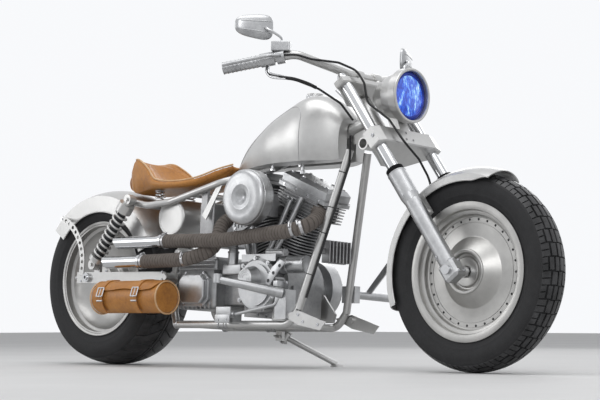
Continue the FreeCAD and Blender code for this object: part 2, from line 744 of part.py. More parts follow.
def wheel(centre, rim_radius, rim_width, face, back):
    """A rim with bead seats and a well, a web behind the shown face and a long hub."""
    bead = rim_radius - BEAD_DEPTH
    well = bead - RIM_WALL * 2
    barrel = barrel_radius(rim_radius)
    bore = AXLE_RADIUS + BEARING_GAP
    seat_in, well_in, well_out, seat_out = [rim_width * share for share in RIM_STEP_SHARES]
    far = rim_width + FLANGE
    outline = face + [(bore, face[-1][1]), (bore, far), (HUB_RADIUS, far)] + back + [
        (barrel, well_out), (bead - RIM_WALL, seat_out + FLANGE), (bead - RIM_WALL, rim_width - FLANGE * 2),
        (rim_radius - RIM_WALL, rim_width), (rim_radius, rim_width), (rim_radius, rim_width - FLANGE),
        (bead, rim_width - FLANGE), (bead, seat_out), (well, well_out), (well, well_in), (bead, seat_in),
        (bead, FLANGE), (rim_radius, FLANGE),
    ]
    half = rim_width / 2
    return lathe([(radius, half - depth) for radius, depth in outline], centre, ALONG_Y * -1)


def brake_disc(centre, rim_width):
    """A brake disc on the left of the hub, with its carrier."""
    face = rim_width / 2 + FLANGE
    outline = [
        (AXLE_RADIUS + BEARING_GAP, face), (HUB_RADIUS + FLANGE, face),
        (BRAKE_DISC_RADIUS * DISC_CARRIER_SHARE, face + BRAKE_DISC_GAP),
        (BRAKE_DISC_RADIUS, face + BRAKE_DISC_GAP),
        (BRAKE_DISC_RADIUS, face + BRAKE_DISC_GAP + BRAKE_DISC_WALL),
        (AXLE_RADIUS + BEARING_GAP, face + BRAKE_DISC_GAP + BRAKE_DISC_WALL),
    ]
    return lathe(outline, centre, ALONG_Y)


def rear_pulley():
    """The belt pulley on the left of the rear hub."""
    face = REAR_RIM_WIDTH / 2 + FLANGE
    outer = PULLEY_INNER + PULLEY_WIDTH
    outline = [
        (AXLE_RADIUS + BEARING_GAP, face), (HUB_RADIUS, face), (HUB_RADIUS, PULLEY_INNER),
        (PULLEY_RADIUS, PULLEY_INNER), (PULLEY_RADIUS, outer),
        (PULLEY_RADIUS * PULLEY_RIM_SHARES[0], outer),
        (PULLEY_RADIUS * PULLEY_RIM_SHARES[1], outer - FLANGE * 2),
        (AXLE_RADIUS + BEARING_GAP, outer - FLANGE * 2),
    ]
    return lathe(outline, REAR_AXLE, ALONG_Y)


# Fenders

def fender(centre, radius, half, skirt, from_deg, to_deg):
    """A pressed fender: a crowned strip with side skirts, turned about the axle."""
    def contour(offset):
        edge = radius - CROWN_DROP
        side = half - offset
        arc = Part.Arc(V(edge - offset, 0, -side), V(radius - offset, 0, 0), V(edge - offset, 0, side))
        return arc, V(radius - skirt, 0, -side), V(radius - skirt, 0, side)

    outer, outer_low, outer_high = contour(0)
    inner, inner_low, inner_high = contour(FENDER_WALL)
    edges = [
        outer.toShape(),
        Part.LineSegment(outer.EndPoint, outer_high).toShape(),
        Part.LineSegment(outer_high, inner_high).toShape(),
        Part.LineSegment(inner_high, inner.EndPoint).toShape(),
        inner.toShape(),
        Part.LineSegment(inner.StartPoint, inner_low).toShape(),
        Part.LineSegment(inner_low, outer_low).toShape(),
        Part.LineSegment(outer_low, outer.StartPoint).toShape(),
    ]
    face = Part.Face(Part.Wire(Part.__sortEdges__(edges)))
    solid = face.revolve(V(), ALONG_Z, to_deg - from_deg)
    solid.rotate(V(), ALONG_Z, from_deg)
    solid.rotate(V(), ALONG_X, 90)
    solid.translate(centre)
    return solid


def front_fender():
    """The front fender: a crown that starts short, then full skirts, with its two stays."""
    lip = fender(FRONT_AXLE, FRONT_FENDER_RADIUS, FRONT_FENDER_HALF, FRONT_LIP_SKIRT,
                 FRONT_LIP_FROM_DEG, FRONT_SKIRT_FROM_DEG)
    strip = fender(FRONT_AXLE, FRONT_FENDER_RADIUS, FRONT_FENDER_HALF, FRONT_FENDER_SKIRT,
                   FRONT_SKIRT_FROM_DEG, FRONT_FENDER_TO_DEG)
    strip = strip.fuse(lip)
    for side in SIDES:
        strip = strip.fuse(front_fender_stay(side))
    return strip


def rear_fender():
    return fender(REAR_AXLE, REAR_FENDER_RADIUS, REAR_FENDER_HALF, REAR_FENDER_SKIRT,
                  REAR_FENDER_FROM_DEG, REAR_FENDER_TO_DEG)


def fender_struts():
    """Curved drilled straps from the swingarm to the sides of the rear fender."""
    foot, bow, head = (REAR_AXLE + place for place in (STRUT_FOOT, STRUT_BOW, STRUT_HEAD))
    path = Part.Arc(foot, bow, head)
    middle = path.toShape().Curve.Center
    first = path.FirstParameter
    span = path.LastParameter - first
    inner = ARM_HALF + ARM_WALL / 2 + FIT
    outline = []
    for offset, order in ((STRUT_WIDTH / 2, range(STRUT_STEPS + 1)),
                          (-STRUT_WIDTH / 2, range(STRUT_STEPS, -1, -1))):
        for step in order:
            at = path.value(first + span * step / STRUT_STEPS)
            outline.append(at + (at - middle).normalize() * offset)
    strap = polygon_face(outline).extrude(ALONG_Y * STRUT_WALL)
    for hole in range(STRUT_HOLES):
        at = path.value(first + span * (hole + 1) / (STRUT_HOLES + 1))
        strap = strap.cut(Part.makeCylinder(STRUT_HOLE, STRUT_WALL, at, ALONG_Y))
    strap.translate(ALONG_Y * inner)
    pin = rod(V(head.x, REAR_FENDER_HALF + FIT, head.z), V(head.x, inner + STRUT_WALL, head.z), STRUT_HOLE)
    return both_sides(strap.fuse(pin))


# Front end

def fork_tubes():
    """Chromed upper tubes with their domed caps."""
    tube = rod(V(0, FORK_HALF, LEG_TOP + FIT), V(0, FORK_HALF, FORK_TOP), FORK_TUBE_RADIUS)
    cap = Part.makeCone(FORK_TUBE_RADIUS, FORK_TUBE_RADIUS * TUBE_CAP_SHARE, STEM_RADIUS,
                        V(0, FORK_HALF, FORK_TOP))
    return on_fork(both_sides(tube.fuse(cap)))


def fork_legs():
    """Cast lower legs with a swollen top and a faceted axle clamp."""
    neck_low, neck_high = [LEG_TOP * share for share in LEG_SWELL_SHARES]
    outline = [
        (0, LEG_BOTTOM), (LEG_RADIUS * LEG_FOOT_SHARE, LEG_BOTTOM), (LEG_RADIUS, LEG_BOTTOM + LEG_SWELL * 2),
        (LEG_RADIUS, neck_low), (LEG_RADIUS + LEG_SWELL, neck_high),
        (LEG_RADIUS + LEG_SWELL, LEG_TOP - LEG_SWELL), (LEG_RADIUS, LEG_TOP), (0, LEG_TOP),
    ]
    leg = lathe(outline, V(0, FORK_HALF, 0), ALONG_Z)
    clamp_body = block(V(-AXLE_CLAMP_HALF, FORK_HALF - LEG_RADIUS, AXLE_CLAMP_LOW),
                       V(AXLE_CLAMP_HALF, FORK_HALF + LEG_RADIUS, AXLE_CLAMP_HIGH))
    leg = leg.fuse(clamp_body.makeChamfer(AXLE_CLAMP_CHAMFER, clamp_body.Edges))
    bore = rod(V(0, 0, 0), V(0, FORK_HALF * 2, 0), AXLE_RADIUS + FIT)
    return on_fork(both_sides(leg.cut(bore)))


def dust_seals():
    seal = ring(V(0, FORK_HALF, LEG_TOP + FIT), V(0, FORK_HALF, LEG_TOP + SEAL_HEIGHT),
                LEG_RADIUS - LEG_SWELL / 2, FORK_TUBE_RADIUS + FIT)
    return on_fork(both_sides(seal))


def front_axle():
    """The front axle with a hexagon head and its spacers."""
    end = FORK_HALF + LEG_RADIUS + LEG_SWELL
    axle = rod(V(0, -end, 0), V(0, end, 0), AXLE_RADIUS)
    hub_end = FRONT_RIM_WIDTH / 2 + FLANGE
    leg_face = FORK_HALF - LEG_RADIUS - FIT
    for side in SIDES:
        near = hub_end + RUN_GAP + (BRAKE_DISC_GAP + BRAKE_DISC_WALL if side > 0 else 0)
        axle = axle.fuse(rod(V(0, near * side, 0), V(0, leg_face * side, 0), AXLE_RADIUS * SPACER_SHARE))
        axle = axle.fuse(rod(V(0, (end - LEG_SWELL + FIT) * side, 0), V(0, (end + LEG_SWELL) * side, 0),
                             AXLE_RADIUS * AXLE_HEAD_SHARE))
    return on_fork(axle)


def clamp_outline(front, back, half):
    """Plan of a fork clamp: round ends at the tubes and a lobe at the stem."""
    flat = front * FRONT_FLAT_SHARE
    end = -CLAMP_EAR * EAR_FLAT_SHARE
    lobe = CLAMP_EAR * LOBE_SHARE
    return [
        V(end, -half, 0), V(flat, -half, 0), V(front, -half + CLAMP_EAR, 0),
        V(front, half - CLAMP_EAR, 0), V(flat, half, 0), V(end, half, 0),
        V(-CLAMP_EAR, half - CLAMP_EAR, 0), V(-back, lobe, 0), V(-back, -lobe, 0),
        V(-CLAMP_EAR, -half + CLAMP_EAR, 0),
    ]


def clamp(bottom, top, front):
    """One fork clamp with chamfered faces and its two bores."""
    plan = polygon_face(clamp_outline(front, CLAMP_BACK, CLAMP_HALF))
    body = plan.extrude(V(0, 0, top - bottom))
    flat_edges = [edge for edge in body.Edges if edge.BoundBox.ZLength < FIT]
    body = body.makeChamfer(CLAMP_CHAMFER, flat_edges)
    body.translate(V(0, 0, bottom))
    for side in SIDES:
        centre = V(0, FORK_HALF * side, bottom - OVERRUN)
        body = body.cut(Part.makeCylinder(FORK_TUBE_RADIUS + FIT, top - bottom + OVERRUN * 2, centre))
    return body


def lower_clamp():
    """The lower clamp with its steering stem."""
    body = clamp(LOWER_CLAMP_BOTTOM, LOWER_CLAMP_TOP, CLAMP_FRONT)
    stem = rod(V(-STEER_OFFSET, 0, LOWER_CLAMP_TOP - OVERRUN),
               V(-STEER_OFFSET, 0, UPPER_CLAMP_BOTTOM - FIT), STEM_RADIUS)
    return on_fork(body.fuse(stem))


def upper_clamp():
    body = clamp(UPPER_CLAMP_BOTTOM, UPPER_CLAMP_TOP, CLAMP_FRONT * UPPER_FRONT_SHARE)
    nut = rod(V(-STEER_OFFSET, 0, UPPER_CLAMP_TOP), V(-STEER_OFFSET, 0, UPPER_CLAMP_TOP + STEM_RADIUS),
              STEM_RADIUS * STEM_NUT_SHARE)
    solid = on_fork(body.fuse(nut))
    for side in SIDES:
        solid = solid.fuse(riser(side))
    return solid


BAR_CENTRE = fork_point(BAR_AHEAD, 0, UPPER_CLAMP_TOP + BAR_RISE)


def handlebar():
    """The wide pulled-back bar in one piece."""
    flat = V(BAR_CENTRE.x, BAR_FLAT_HALF, BAR_CENTRE.z)
    left = [flat, BAR_BEND_POINT, BAR_TIP]
    right = [side_point(point, -1) for point in reversed(left)]
    return bent_tube(right + left, BAR_RADIUS, BAR_BEND)


def riser(side):
    """One post and strap that holds the bar."""
    foot = fork_point(BAR_AHEAD, RISER_HALF * side, UPPER_CLAMP_TOP - FIT)
    head = fork_point(BAR_AHEAD, RISER_HALF * side, UPPER_CLAMP_TOP + BAR_RISE)
    post = rod(foot, head, RISER_RADIUS)
    strap = rod(head - ALONG_Y * RISER_RADIUS, head + ALONG_Y * RISER_RADIUS, BAR_RADIUS + RISER_WALL)
    hole = rod(head - ALONG_Y * BAR_RADIUS * 4, head + ALONG_Y * BAR_RADIUS * 4, BAR_RADIUS + FIT)
    return post.fuse(strap).cut(hole)


GRIP_LINE = (BAR_BEND_POINT - BAR_TIP).normalize()


def grips():
    """Ribbed grips over the bar ends."""
    crest = GRIP_RADIUS + GRIP_RIB_HEIGHT
    outline = [(BAR_RADIUS + FIT, 0), (crest, 0)]
    pitch = GRIP_LENGTH / GRIP_RIBS
    for rib in range(GRIP_RIBS):
        low, high = [rib * pitch + pitch * share for share in RIB_SHARES]
        outline += [(GRIP_RADIUS, low), (GRIP_RADIUS, high), (crest, (rib + 1) * pitch)]
    outline += [(BAR_RADIUS + FIT, GRIP_LENGTH)]
    return both_sides(lathe(outline, BAR_TIP, GRIP_LINE))


def switch_housings():
    start = BAR_TIP + GRIP_LINE * (GRIP_LENGTH + FIT)
    end = start + GRIP_LINE * SWITCH_LENGTH
    return both_sides(ring(start, end, SWITCH_RADIUS, BAR_RADIUS + FIT))


PERCH = BAR_TIP + GRIP_LINE * (GRIP_LENGTH + SWITCH_LENGTH + PERCH_OFFSET - PERCH_HALF - PERCH_SINK)
BAR_FORWARD = ALONG_Z.cross(GRIP_LINE).normalize()


def hand_controls():
    """Reservoirs, perches and levers on both sides of the bar."""
    perch = ring(PERCH - GRIP_LINE * PERCH_HALF, PERCH + GRIP_LINE * PERCH_HALF, SWITCH_RADIUS,
                 BAR_RADIUS + FIT)
    box = rounded(block(V(-RESERVOIR_LENGTH / 2, -RESERVOIR_WIDTH / 2, 0),
                        V(RESERVOIR_LENGTH / 2, RESERVOIR_WIDTH / 2, RESERVOIR_HEIGHT)), RESERVOIR_EDGE)
    box.rotate(V(), ALONG_Z, math.degrees(math.atan2(GRIP_LINE.y, GRIP_LINE.x)))
    box.translate(PERCH + V(0, 0, SWITCH_RADIUS - PERCH_SINK))
    hole = rod(PERCH - GRIP_LINE * RESERVOIR_LENGTH, PERCH + GRIP_LINE * RESERVOIR_LENGTH, BAR_RADIUS + FIT)
    reach_share, tip_share = LEVER_SHARES
    lever = bent_tube([PERCH + BAR_FORWARD * LEVER_ROOT, PERCH + BAR_FORWARD * (SWITCH_RADIUS + LEVER_RADIUS),
                       PERCH + BAR_FORWARD * LEVER_REACH - GRIP_LINE * (SWITCH_LENGTH * reach_share),
                       BAR_TIP + BAR_FORWARD * (LEVER_REACH * tip_share) + GRIP_LINE * LEVER_TIP_BACK],
                      LEVER_RADIUS, LEVER_BEND)
    return both_sides(perch.fuse(box).fuse(lever).cut(hole))


def mirrors():
    """Tapered mirror heads on round stems, the glass facing back."""
    half_width = MIRROR_WIDTH / 2
    half_height = MIRROR_HEIGHT / 2
    plan = [V(0, half_width * across, half_height * up) for across, up in MIRROR_PLAN_SHARES]
    back = polygon_face([point * MIRROR_BACK_SHARE + V(MIRROR_DEPTH, 0, 0) for point in plan])
    head = Part.makeLoft([polygon_face(plan).OuterWire, back.OuterWire], True)
    head.rotate(V(), ALONG_Z, MIRROR_YAW_DEG)
    head.translate(MIRROR_CENTRE)
    root = PERCH + V(0, 0, SWITCH_RADIUS + RESERVOIR_HEIGHT - PERCH_SINK)
    joint = MIRROR_CENTRE + V(MIRROR_DEPTH / 2, 0, -MIRROR_DEPTH)
    elbow = V(root.x, root.y, joint.z) + MIRROR_ELBOW
    stem = bent_tube([root, elbow, joint], MIRROR_STEM_RADIUS, MIRROR_STEM_BEND)
    return both_sides(head.fuse(stem)).cut(hand_controls())


def cables():
    """The throttle cable under the right grip and the brake hose down to the left caliper."""
    throttle = bent_tube(list(THROTTLE_LINE), HOSE_RADIUS, HOSE_BEND).cut(switch_housings())
    banjo = PERCH + GRIP_LINE * (PERCH_HALF + FIT) + BAR_FORWARD * HOSE_BANJO
    points = [side_point(banjo, -1)] + list(HOSE_ON_BAR) + [FORK_PLACE.multVec(at) for at in HOSE_ON_FORK]
    hose = bent_tube(points, HOSE_RADIUS, HOSE_BEND).cut(front_caliper()).cut(hand_controls())
    return Part.Compound([largest_solid(throttle), largest_solid(hose)])


def headlamp_bucket():
    """A conical bucket with a deep rim ring, open at the front."""
    depth = LAMP_FRONT - LAMP_BACK
    ring_back = depth - LAMP_RING_DEPTH
    inner = LAMP_RADIUS - LAMP_WALL
    floor = depth - LENS_INSET - LENS_BULGE * 2
    outline = [(0, 0), (LAMP_BACK_RADIUS, 0)]
    outline += [(LAMP_RADIUS * wide, depth * along) for wide, along in BUCKET_SHARES]
    outline += [(LAMP_RADIUS * BUCKET_RIM_SHARE, ring_back), (LAMP_RADIUS, ring_back + RING_STEP),
                (LAMP_RADIUS, depth), (inner, depth), (inner, floor), (0, floor)]
    shell = lathe(outline, V(LAMP_BACK, 0, LAMP_Z), ALONG_X)
    return shell.fuse(headlamp_bracket().cut(lamp_envelope()))


def lamp_envelope():
    """The space inside the rim ring, kept clear of the bracket."""
    return rod(V(LAMP_FRONT - LENS_INSET - LENS_BULGE * 2, 0, LAMP_Z), V(LAMP_FRONT, 0, LAMP_Z),
               LAMP_RADIUS - LAMP_WALL)


def headlamp_lens():
    """The domed lens, set back in the ring."""
    radius = LAMP_RADIUS - LAMP_WALL - FIT
    depth = LAMP_FRONT - LAMP_BACK - LENS_INSET
    outline = [(0, depth - LENS_BULGE * 2), (radius, depth - LENS_BULGE * 2), (radius, depth - LENS_BULGE)]
    outline += [(radius * wide, depth - LENS_BULGE * drop) for wide, drop in LENS_SHARES]
    return lathe(outline + [(0, depth)], V(LAMP_BACK, 0, LAMP_Z), ALONG_X)


def headlamp_bracket():
    """The bracket from the lower clamp to the underside of the bucket."""
    foot = fork_point(CLAMP_FRONT / 2, 0, LOWER_CLAMP_TOP + FIT)
    head = V(LAMP_BACK + (LAMP_FRONT - LAMP_BACK) * LAMP_FOOT_SHARE, 0, LAMP_Z - LAMP_RADIUS * LAMP_UNDER_SHARE)
    plate = side_outline([(foot.x - LAMP_BRACKET_BACK, foot.z + LAMP_BRACKET_LIFT),
                          (foot.x + LAMP_BRACKET_FRONT, foot.z), (head.x + LAMP_BRACKET_FRONT, head.z),
                          (head.x - LAMP_BRACKET_BACK, head.z)], -LAMP_BRACKET_HALF, LAMP_BRACKET_HALF)
    return plate.cut(lower_clamp())


def front_fender_stay(side):
    """A bracket from the fender side to the lower leg."""
    inner = FRONT_FENDER_HALF - FENDER_WALL / 2
    outer = FORK_HALF - LEG_RADIUS - FIT
    at = FRONT_FENDER_RADIUS - STAY_DROP
    plate = block(V(-STAY_WIDTH / 2, inner, at - STAY_POST_RADIUS * 2),
                  V(STAY_WIDTH / 2, inner + STAY_WALL, at - STAY_POST_RADIUS * 2 + STAY_HEIGHT))
    post = rod(V(0, inner, at), V(0, outer, at), STAY_POST_RADIUS)
    stay = plate.fuse(post)
    return on_fork(stay if side > 0 else mirrored(stay))


def front_caliper():
    """The brake caliper on the left leg, open over the disc."""
    middle = FRONT_RIM_WIDTH / 2 + FLANGE + BRAKE_DISC_GAP + BRAKE_DISC_WALL / 2
    slot = BRAKE_DISC_WALL / 2 + RUN_GAP * 2
    outer = middle + CALIPER_HALF
    body = rounded(block(V(-CALIPER_BACK, middle - CALIPER_HALF, CALIPER_LOW),
                         V(-CALIPER_FRONT, outer, CALIPER_HIGH)), CALIPER_EDGE)
    gap = rod(V(0, middle - slot, 0), V(0, middle + slot, 0), BRAKE_DISC_RADIUS + RUN_GAP * 3)
    arm = block(V(-CALIPER_FRONT - CALIPER_EDGE, outer - CALIPER_ARM_INSET, CALIPER_LOW + CALIPER_ARM_INSET),
                V(-LEG_RADIUS / 2, outer, CALIPER_HIGH - CALIPER_ARM_INSET))
    leg = rod(V(0, FORK_HALF, 0), V(0, FORK_HALF, LEG_TOP), LEG_RADIUS + FIT)
    return on_fork(body.fuse(arm).cut(gap).cut(leg))


# Frame

def frame_neck():
    """The steering neck, its gusset and the open cross tube."""
    neck = rod(V(-STEER_OFFSET, 0, NECK_BOTTOM), V(-STEER_OFFSET, 0, NECK_TOP), NECK_RADIUS)
    cross = rod(V(-CROSS_TUBE_BACK, -CROSS_TUBE_HALF, CROSS_TUBE_UP),
                V(-CROSS_TUBE_BACK, CROSS_TUBE_HALF, CROSS_TUBE_UP), CROSS_TUBE_RADIUS)
    cross_bore = rod(V(-CROSS_TUBE_BACK, -CROSS_TUBE_HALF, CROSS_TUBE_UP),
                     V(-CROSS_TUBE_BACK, CROSS_TUBE_HALF, CROSS_TUBE_UP), CROSS_TUBE_BORE)
    bore = rod(V(-STEER_OFFSET, 0, NECK_BOTTOM), V(-STEER_OFFSET, 0, NECK_TOP), NECK_BORE)
    solid = on_fork(neck.fuse(cross).cut(bore))
    top = fork_point(-STEER_OFFSET, 0, NECK_TOP - GUSSET_TOP)
    low = fork_point(-CROSS_TUBE_BACK, 0, CROSS_TUBE_UP)
    back = BACKBONE_HEAD.x - NECK_BACK
    gusset = side_outline([(top.x, top.z), (back, BACKBONE_HEAD.z + GUSSET_UP),
                           (back, BACKBONE_HEAD.z - GUSSET_DOWN), (low.x, low.z - GUSSET_UP)],
                          -GUSSET_HALF, GUSSET_HALF)
    return solid.fuse(gusset).cut(on_fork(bore)).cut(on_fork(cross_bore))


def frame_backbone():
    """The backbone with its tank saddles and the tongue that carries the seat's nose."""
    tube = bent_tube([BACKBONE_HEAD + NECK_WELD, BACKBONE_KNEE, BACKBONE_TAIL], BACKBONE_RADIUS, FRAME_BEND)
    half = BACKBONE_RADIUS + TUNNEL_GAP
    slope = (BACKBONE_KNEE.z - BACKBONE_TAIL.z) / (BACKBONE_KNEE.x - BACKBONE_TAIL.x)
    for x in SADDLE_PLACES:
        low = BACKBONE_TAIL.z + (x - BACKBONE_TAIL.x) * slope - SADDLE_DROP
        tube = tube.fuse(block(V(x - SADDLE_HALF, -half, low), V(x + SADDLE_HALF, half, low + SADDLE_WALL)))
    tongue = side_outline(TONGUE, -TONGUE_HALF, TONGUE_HALF)
    neck_space = on_fork(rod(V(-STEER_OFFSET, 0, NECK_BOTTOM), V(-STEER_OFFSET, 0, NECK_TOP), NECK_RADIUS))
    return tube.fuse(tongue).cut(seat()).cut(frame_neck()).cut(neck_space)


def downtube(side):
    head = side_point(DOWNTUBE_HEAD, side)
    foot = side_point(DOWNTUBE_FOOT, side)
    return rod(head, foot, TUBE_RADIUS).cut(lower_rail(side))


def lower_rail(side):
    """A lower rail with its bend up to the downtube and to the rear upright."""
    foot = side_point(DOWNTUBE_FOOT, side)
    points = [foot, V(RAIL_FRONT, RAIL_HALF * side, RAIL_Z), V(RAIL_BACK, RAIL_HALF * side, RAIL_Z)]
    return bent_tube(points, TUBE_RADIUS, FRAME_BEND)


def upright(side):
    """A side tube from the end of the rail up past the swingarm pivot, with its pivot boss."""
    points = [V(RAIL_BACK - FIT, RAIL_HALF * side, RAIL_Z)]
    points += [V(x, (UPRIGHT_HALF + out) * side, z) for x, out, z in UPRIGHT_POINTS]
    tube = bent_tube(points, TUBE_RADIUS, FRAME_BEND)
    boss = rod(PIVOT + ALONG_Y * (UPRIGHT_HALF - TUBE_RADIUS), PIVOT + ALONG_Y * (UPRIGHT_HALF + TUBE_RADIUS),
               PIVOT_BOSS_RADIUS)
    return tube.fuse(boss if side > 0 else mirrored(boss)).cut(lower_rail(side)).cut(pivot_envelope())


def uprights():
    """Both side tubes, the cross tube over the gearbox and the post that carries the seat rails."""
    x, out, z = UPRIGHT_POINTS[-1]
    half = UPRIGHT_HALF + out
    solid = rod(V(x, -half, z), V(x, half, z), TUBE_RADIUS)
    for side in SIDES:
        solid = solid.fuse(upright(side))
    solid = solid.fuse(bent_tube(list(POST_POINTS), TUBE_RADIUS, FRAME_BEND))
    solid = solid.fuse(rod(V(POST_BRIDGE_X, -SEAT_RAIL_HALF, POST_BRIDGE_Z),
                           V(POST_BRIDGE_X, SEAT_RAIL_HALF, POST_BRIDGE_Z), BRIDGE_RADIUS))
    for side in SIDES:
        solid = solid.cut(seat_rail(side))
    return largest_solid(solid)


def seat_rail(side):
    """A rail under the seat, from the backbone out to the shock's upper bolt."""
    points = [side_point(point, side) for point in SEAT_RAIL_POINTS]
    points += [V(x, SHOCK_STUD_HALF * side, z) for x, z in SEAT_RAIL_TAIL]
    return bent_tube(points, SEAT_RAIL_RADIUS, FRAME_BEND).cut(frame_backbone())


def cross_members():
    """Cross tubes under the gearbox, under the engine front and behind the seat."""
    pieces = []
    for x, half, z in ((CROSS_REAR_X, RAIL_HALF, RAIL_Z), (CROSS_FRONT_X, RAIL_HALF, RAIL_Z),
                       (CROSS_SEAT_X, SHOCK_STUD_HALF, CROSS_SEAT_Z)):
        pieces.append(rod(V(x, -half, z), V(x, half, z), BRIDGE_RADIUS))
    solid = Part.Compound(pieces)
    for side in SIDES:
        solid = solid.cut(lower_rail(side)).cut(seat_rail(side))
    return solid


def front_plates():
    """Flat engine plates between the rails and the crankcase, and the plates ahead of the downtubes."""
    plate = side_outline(ENGINE_PLATE, CASE_HALF, CASE_HALF + ENGINE_PLATE_WALL)
    foot = side_outline(FOOT_PLATE, FOOT_PLATE_OUT - STRAP_WALL, FOOT_PLATE_OUT)
    foot = foot.fuse(rod(V(CROSS_FRONT_X + FOOT_PLATE_OUT / 2, RAIL_HALF, RAIL_Z + TUBE_RADIUS * 2),
                         V(CROSS_FRONT_X + FOOT_PLATE_OUT / 2, FOOT_PLATE_OUT, RAIL_Z + TUBE_RADIUS * 2),
                         BRIDGE_RADIUS))
    solid = both_sides(plate.cut(cross_members()))
    solid = solid.cut(cam_cover()).cut(primary_cover())
    return Part.Compound([solid, both_sides(foot.cut(lower_rail(1)).cut(downtube(1)))])


def side_strap():
    """The slanted pale strap under the seat on the right."""
    return side_outline(SIDE_STRAP, -SIDE_STRAP_OUT, -SIDE_STRAP_OUT + STRAP_WALL).cut(seat_rail(-1))


def pivot_envelope():
    return rod(PIVOT - ALONG_Y * ARM_HALF, PIVOT + ALONG_Y * ARM_HALF, PIVOT_RADIUS + FIT)


def swingarm():
    """Flat side bars, the pivot tube and the hanger of the leather roll."""
    reach = ALONG_Y * (ARM_HALF - ARM_WALL / 2)
    half = ARM_HEIGHT / 2
    tail = REAR_AXLE.x - ARM_TAIL
    axle_hole = rod(REAR_AXLE - ALONG_Y * ARM_HALF * 2, REAR_AXLE + ALONG_Y * ARM_HALF * 2,
                    AXLE_RADIUS + FIT)
    solid = rod(PIVOT - reach, PIVOT + reach, PIVOT_RADIUS)
    for side in SIDES:
        inner = (ARM_HALF - ARM_WALL / 2) * side
        outer = (ARM_HALF + ARM_WALL / 2) * side
        bar = side_outline([(tail, REAR_AXLE.z - half), (PIVOT.x, PIVOT.z - half),
                            (PIVOT.x + half, PIVOT.z), (PIVOT.x, PIVOT.z + half),
                            (tail, REAR_AXLE.z + half)], inner, outer)
        solid = solid.fuse(bar).fuse(shock_tab(side))
    return solid.fuse(bag_hanger()).cut(axle_hole)


def rear_axle():
    """The rear axle with spacers, nuts and a centre hole in each end."""
    end = ARM_HALF + ARM_WALL / 2
    tip = end + AXLE_END
    collar = AXLE_RADIUS * SPACER_SHARE
    inner = ARM_HALF - ARM_WALL / 2 - FIT
    solid = rod(REAR_AXLE - ALONG_Y * tip, REAR_AXLE + ALONG_Y * tip, AXLE_RADIUS)
    right_face = REAR_RIM_WIDTH / 2 - REAR_HUB_INSET
    left_face = PULLEY_INNER + PULLEY_WIDTH - FLANGE * 2
    for side, near in ((-1, right_face), (1, left_face)):
        out = ALONG_Y * side
        solid = solid.fuse(rod(REAR_AXLE + out * (near + RUN_GAP), REAR_AXLE + out * inner, collar))
        solid = solid.fuse(rod(REAR_AXLE + out * (end + FIT), REAR_AXLE + out * (end + AXLE_NUT), collar))
        hole_end = REAR_AXLE + out * (tip - AXLE_HOLE_DEPTH)
        solid = solid.cut(rod(hole_end, REAR_AXLE + out * tip, AXLE_HOLE_RADIUS))
    return solid


def shock_line(share, side):
    at = SHOCK_TOP + (SHOCK_FOOT - SHOCK_TOP) * share
    return V(at.x, SHOCK_HALF * side, at.z)


def shock_bodies():
    """Shock eyes, the upper shroud and the lower body, with their bolts."""
    axis = (SHOCK_FOOT - SHOCK_TOP).normalize()
    bolt_end = SHOCK_HALF + SHOCK_GAP
    solids = []
    for side in SIDES:
        top = shock_line(0, side)
        foot = shock_line(1, side)
        body = rod(top, foot, SHOCK_ROD_RADIUS)
        body = body.fuse(rod(top + axis * SHROUD_FROM, top + axis * SHROUD_TO, SHROUD_RADIUS))
        body = body.fuse(rod(foot - axis * SPRING_FOOT, foot - axis * FOOT_CUP, SHROUD_RADIUS))
        for eye in (top, foot):
            reach = ALONG_Y * SHOCK_EYE_HALF
            body = body.fuse(rod(eye - reach, eye + reach, SHOCK_EYE_RADIUS + SHOCK_EYE_WALL))
        rail_face = (SHOCK_STUD_HALF + SEAT_RAIL_RADIUS - SHOCK_EYE_WALL) * side
        arm_face = (ARM_HALF - ARM_WALL / 2) * side
        for at, face in ((top, rail_face), (foot, arm_face)):
            body = body.fuse(rod(V(at.x, face, at.z), V(at.x, bolt_end * side, at.z), SHOCK_BOLT_RADIUS))
        solids.append(largest_solid(body.cut(seat_rail(side))))
    return Part.Compound(solids)


def shock_springs():
    """Coil springs drawn as a stack of round turns round the shock body."""
    axis = (SHOCK_FOOT - SHOCK_TOP).normalize()
    start = SPRING_START - OVERRUN + FIT
    end = (SHOCK_FOOT - SHOCK_TOP).Length - SPRING_FOOT - FIT
    pitch = (end - start) / SPRING_TURNS
    inner = SHOCK_ROD_RADIUS + FIT
    outline = [(inner, start)]
    for turn in range(SPRING_TURNS):
        low = start + turn * pitch
        rise, fall, rest = [low + pitch * share for share in SPRING_SHARES]
        outline += [(DAMPER_RADIUS, low), (SPRING_RADIUS, rise), (SPRING_RADIUS, fall), (DAMPER_RADIUS, rest)]
    outline += [(DAMPER_RADIUS, end), (inner, end)]
    return Part.Compound([lathe(outline, shock_line(0, side), axis) for side in SIDES])


def shock_tab(side):
    """The lug on the swingarm that takes the lower shock bolt."""
    foot = shock_line(1, 1)
    tab = block(V(foot.x - TAB_HALF, ARM_HALF - ARM_WALL / 2, REAR_AXLE.z),
                V(foot.x + TAB_HALF, ARM_HALF + ARM_WALL / 2, foot.z + TAB_HALF))
    tab = tab.cut(rod(V(foot.x, 0, foot.z), V(foot.x, SHOCK_HALF * 2, foot.z), SHOCK_BOLT_RADIUS + FIT))
    return tab if side > 0 else mirrored(tab)


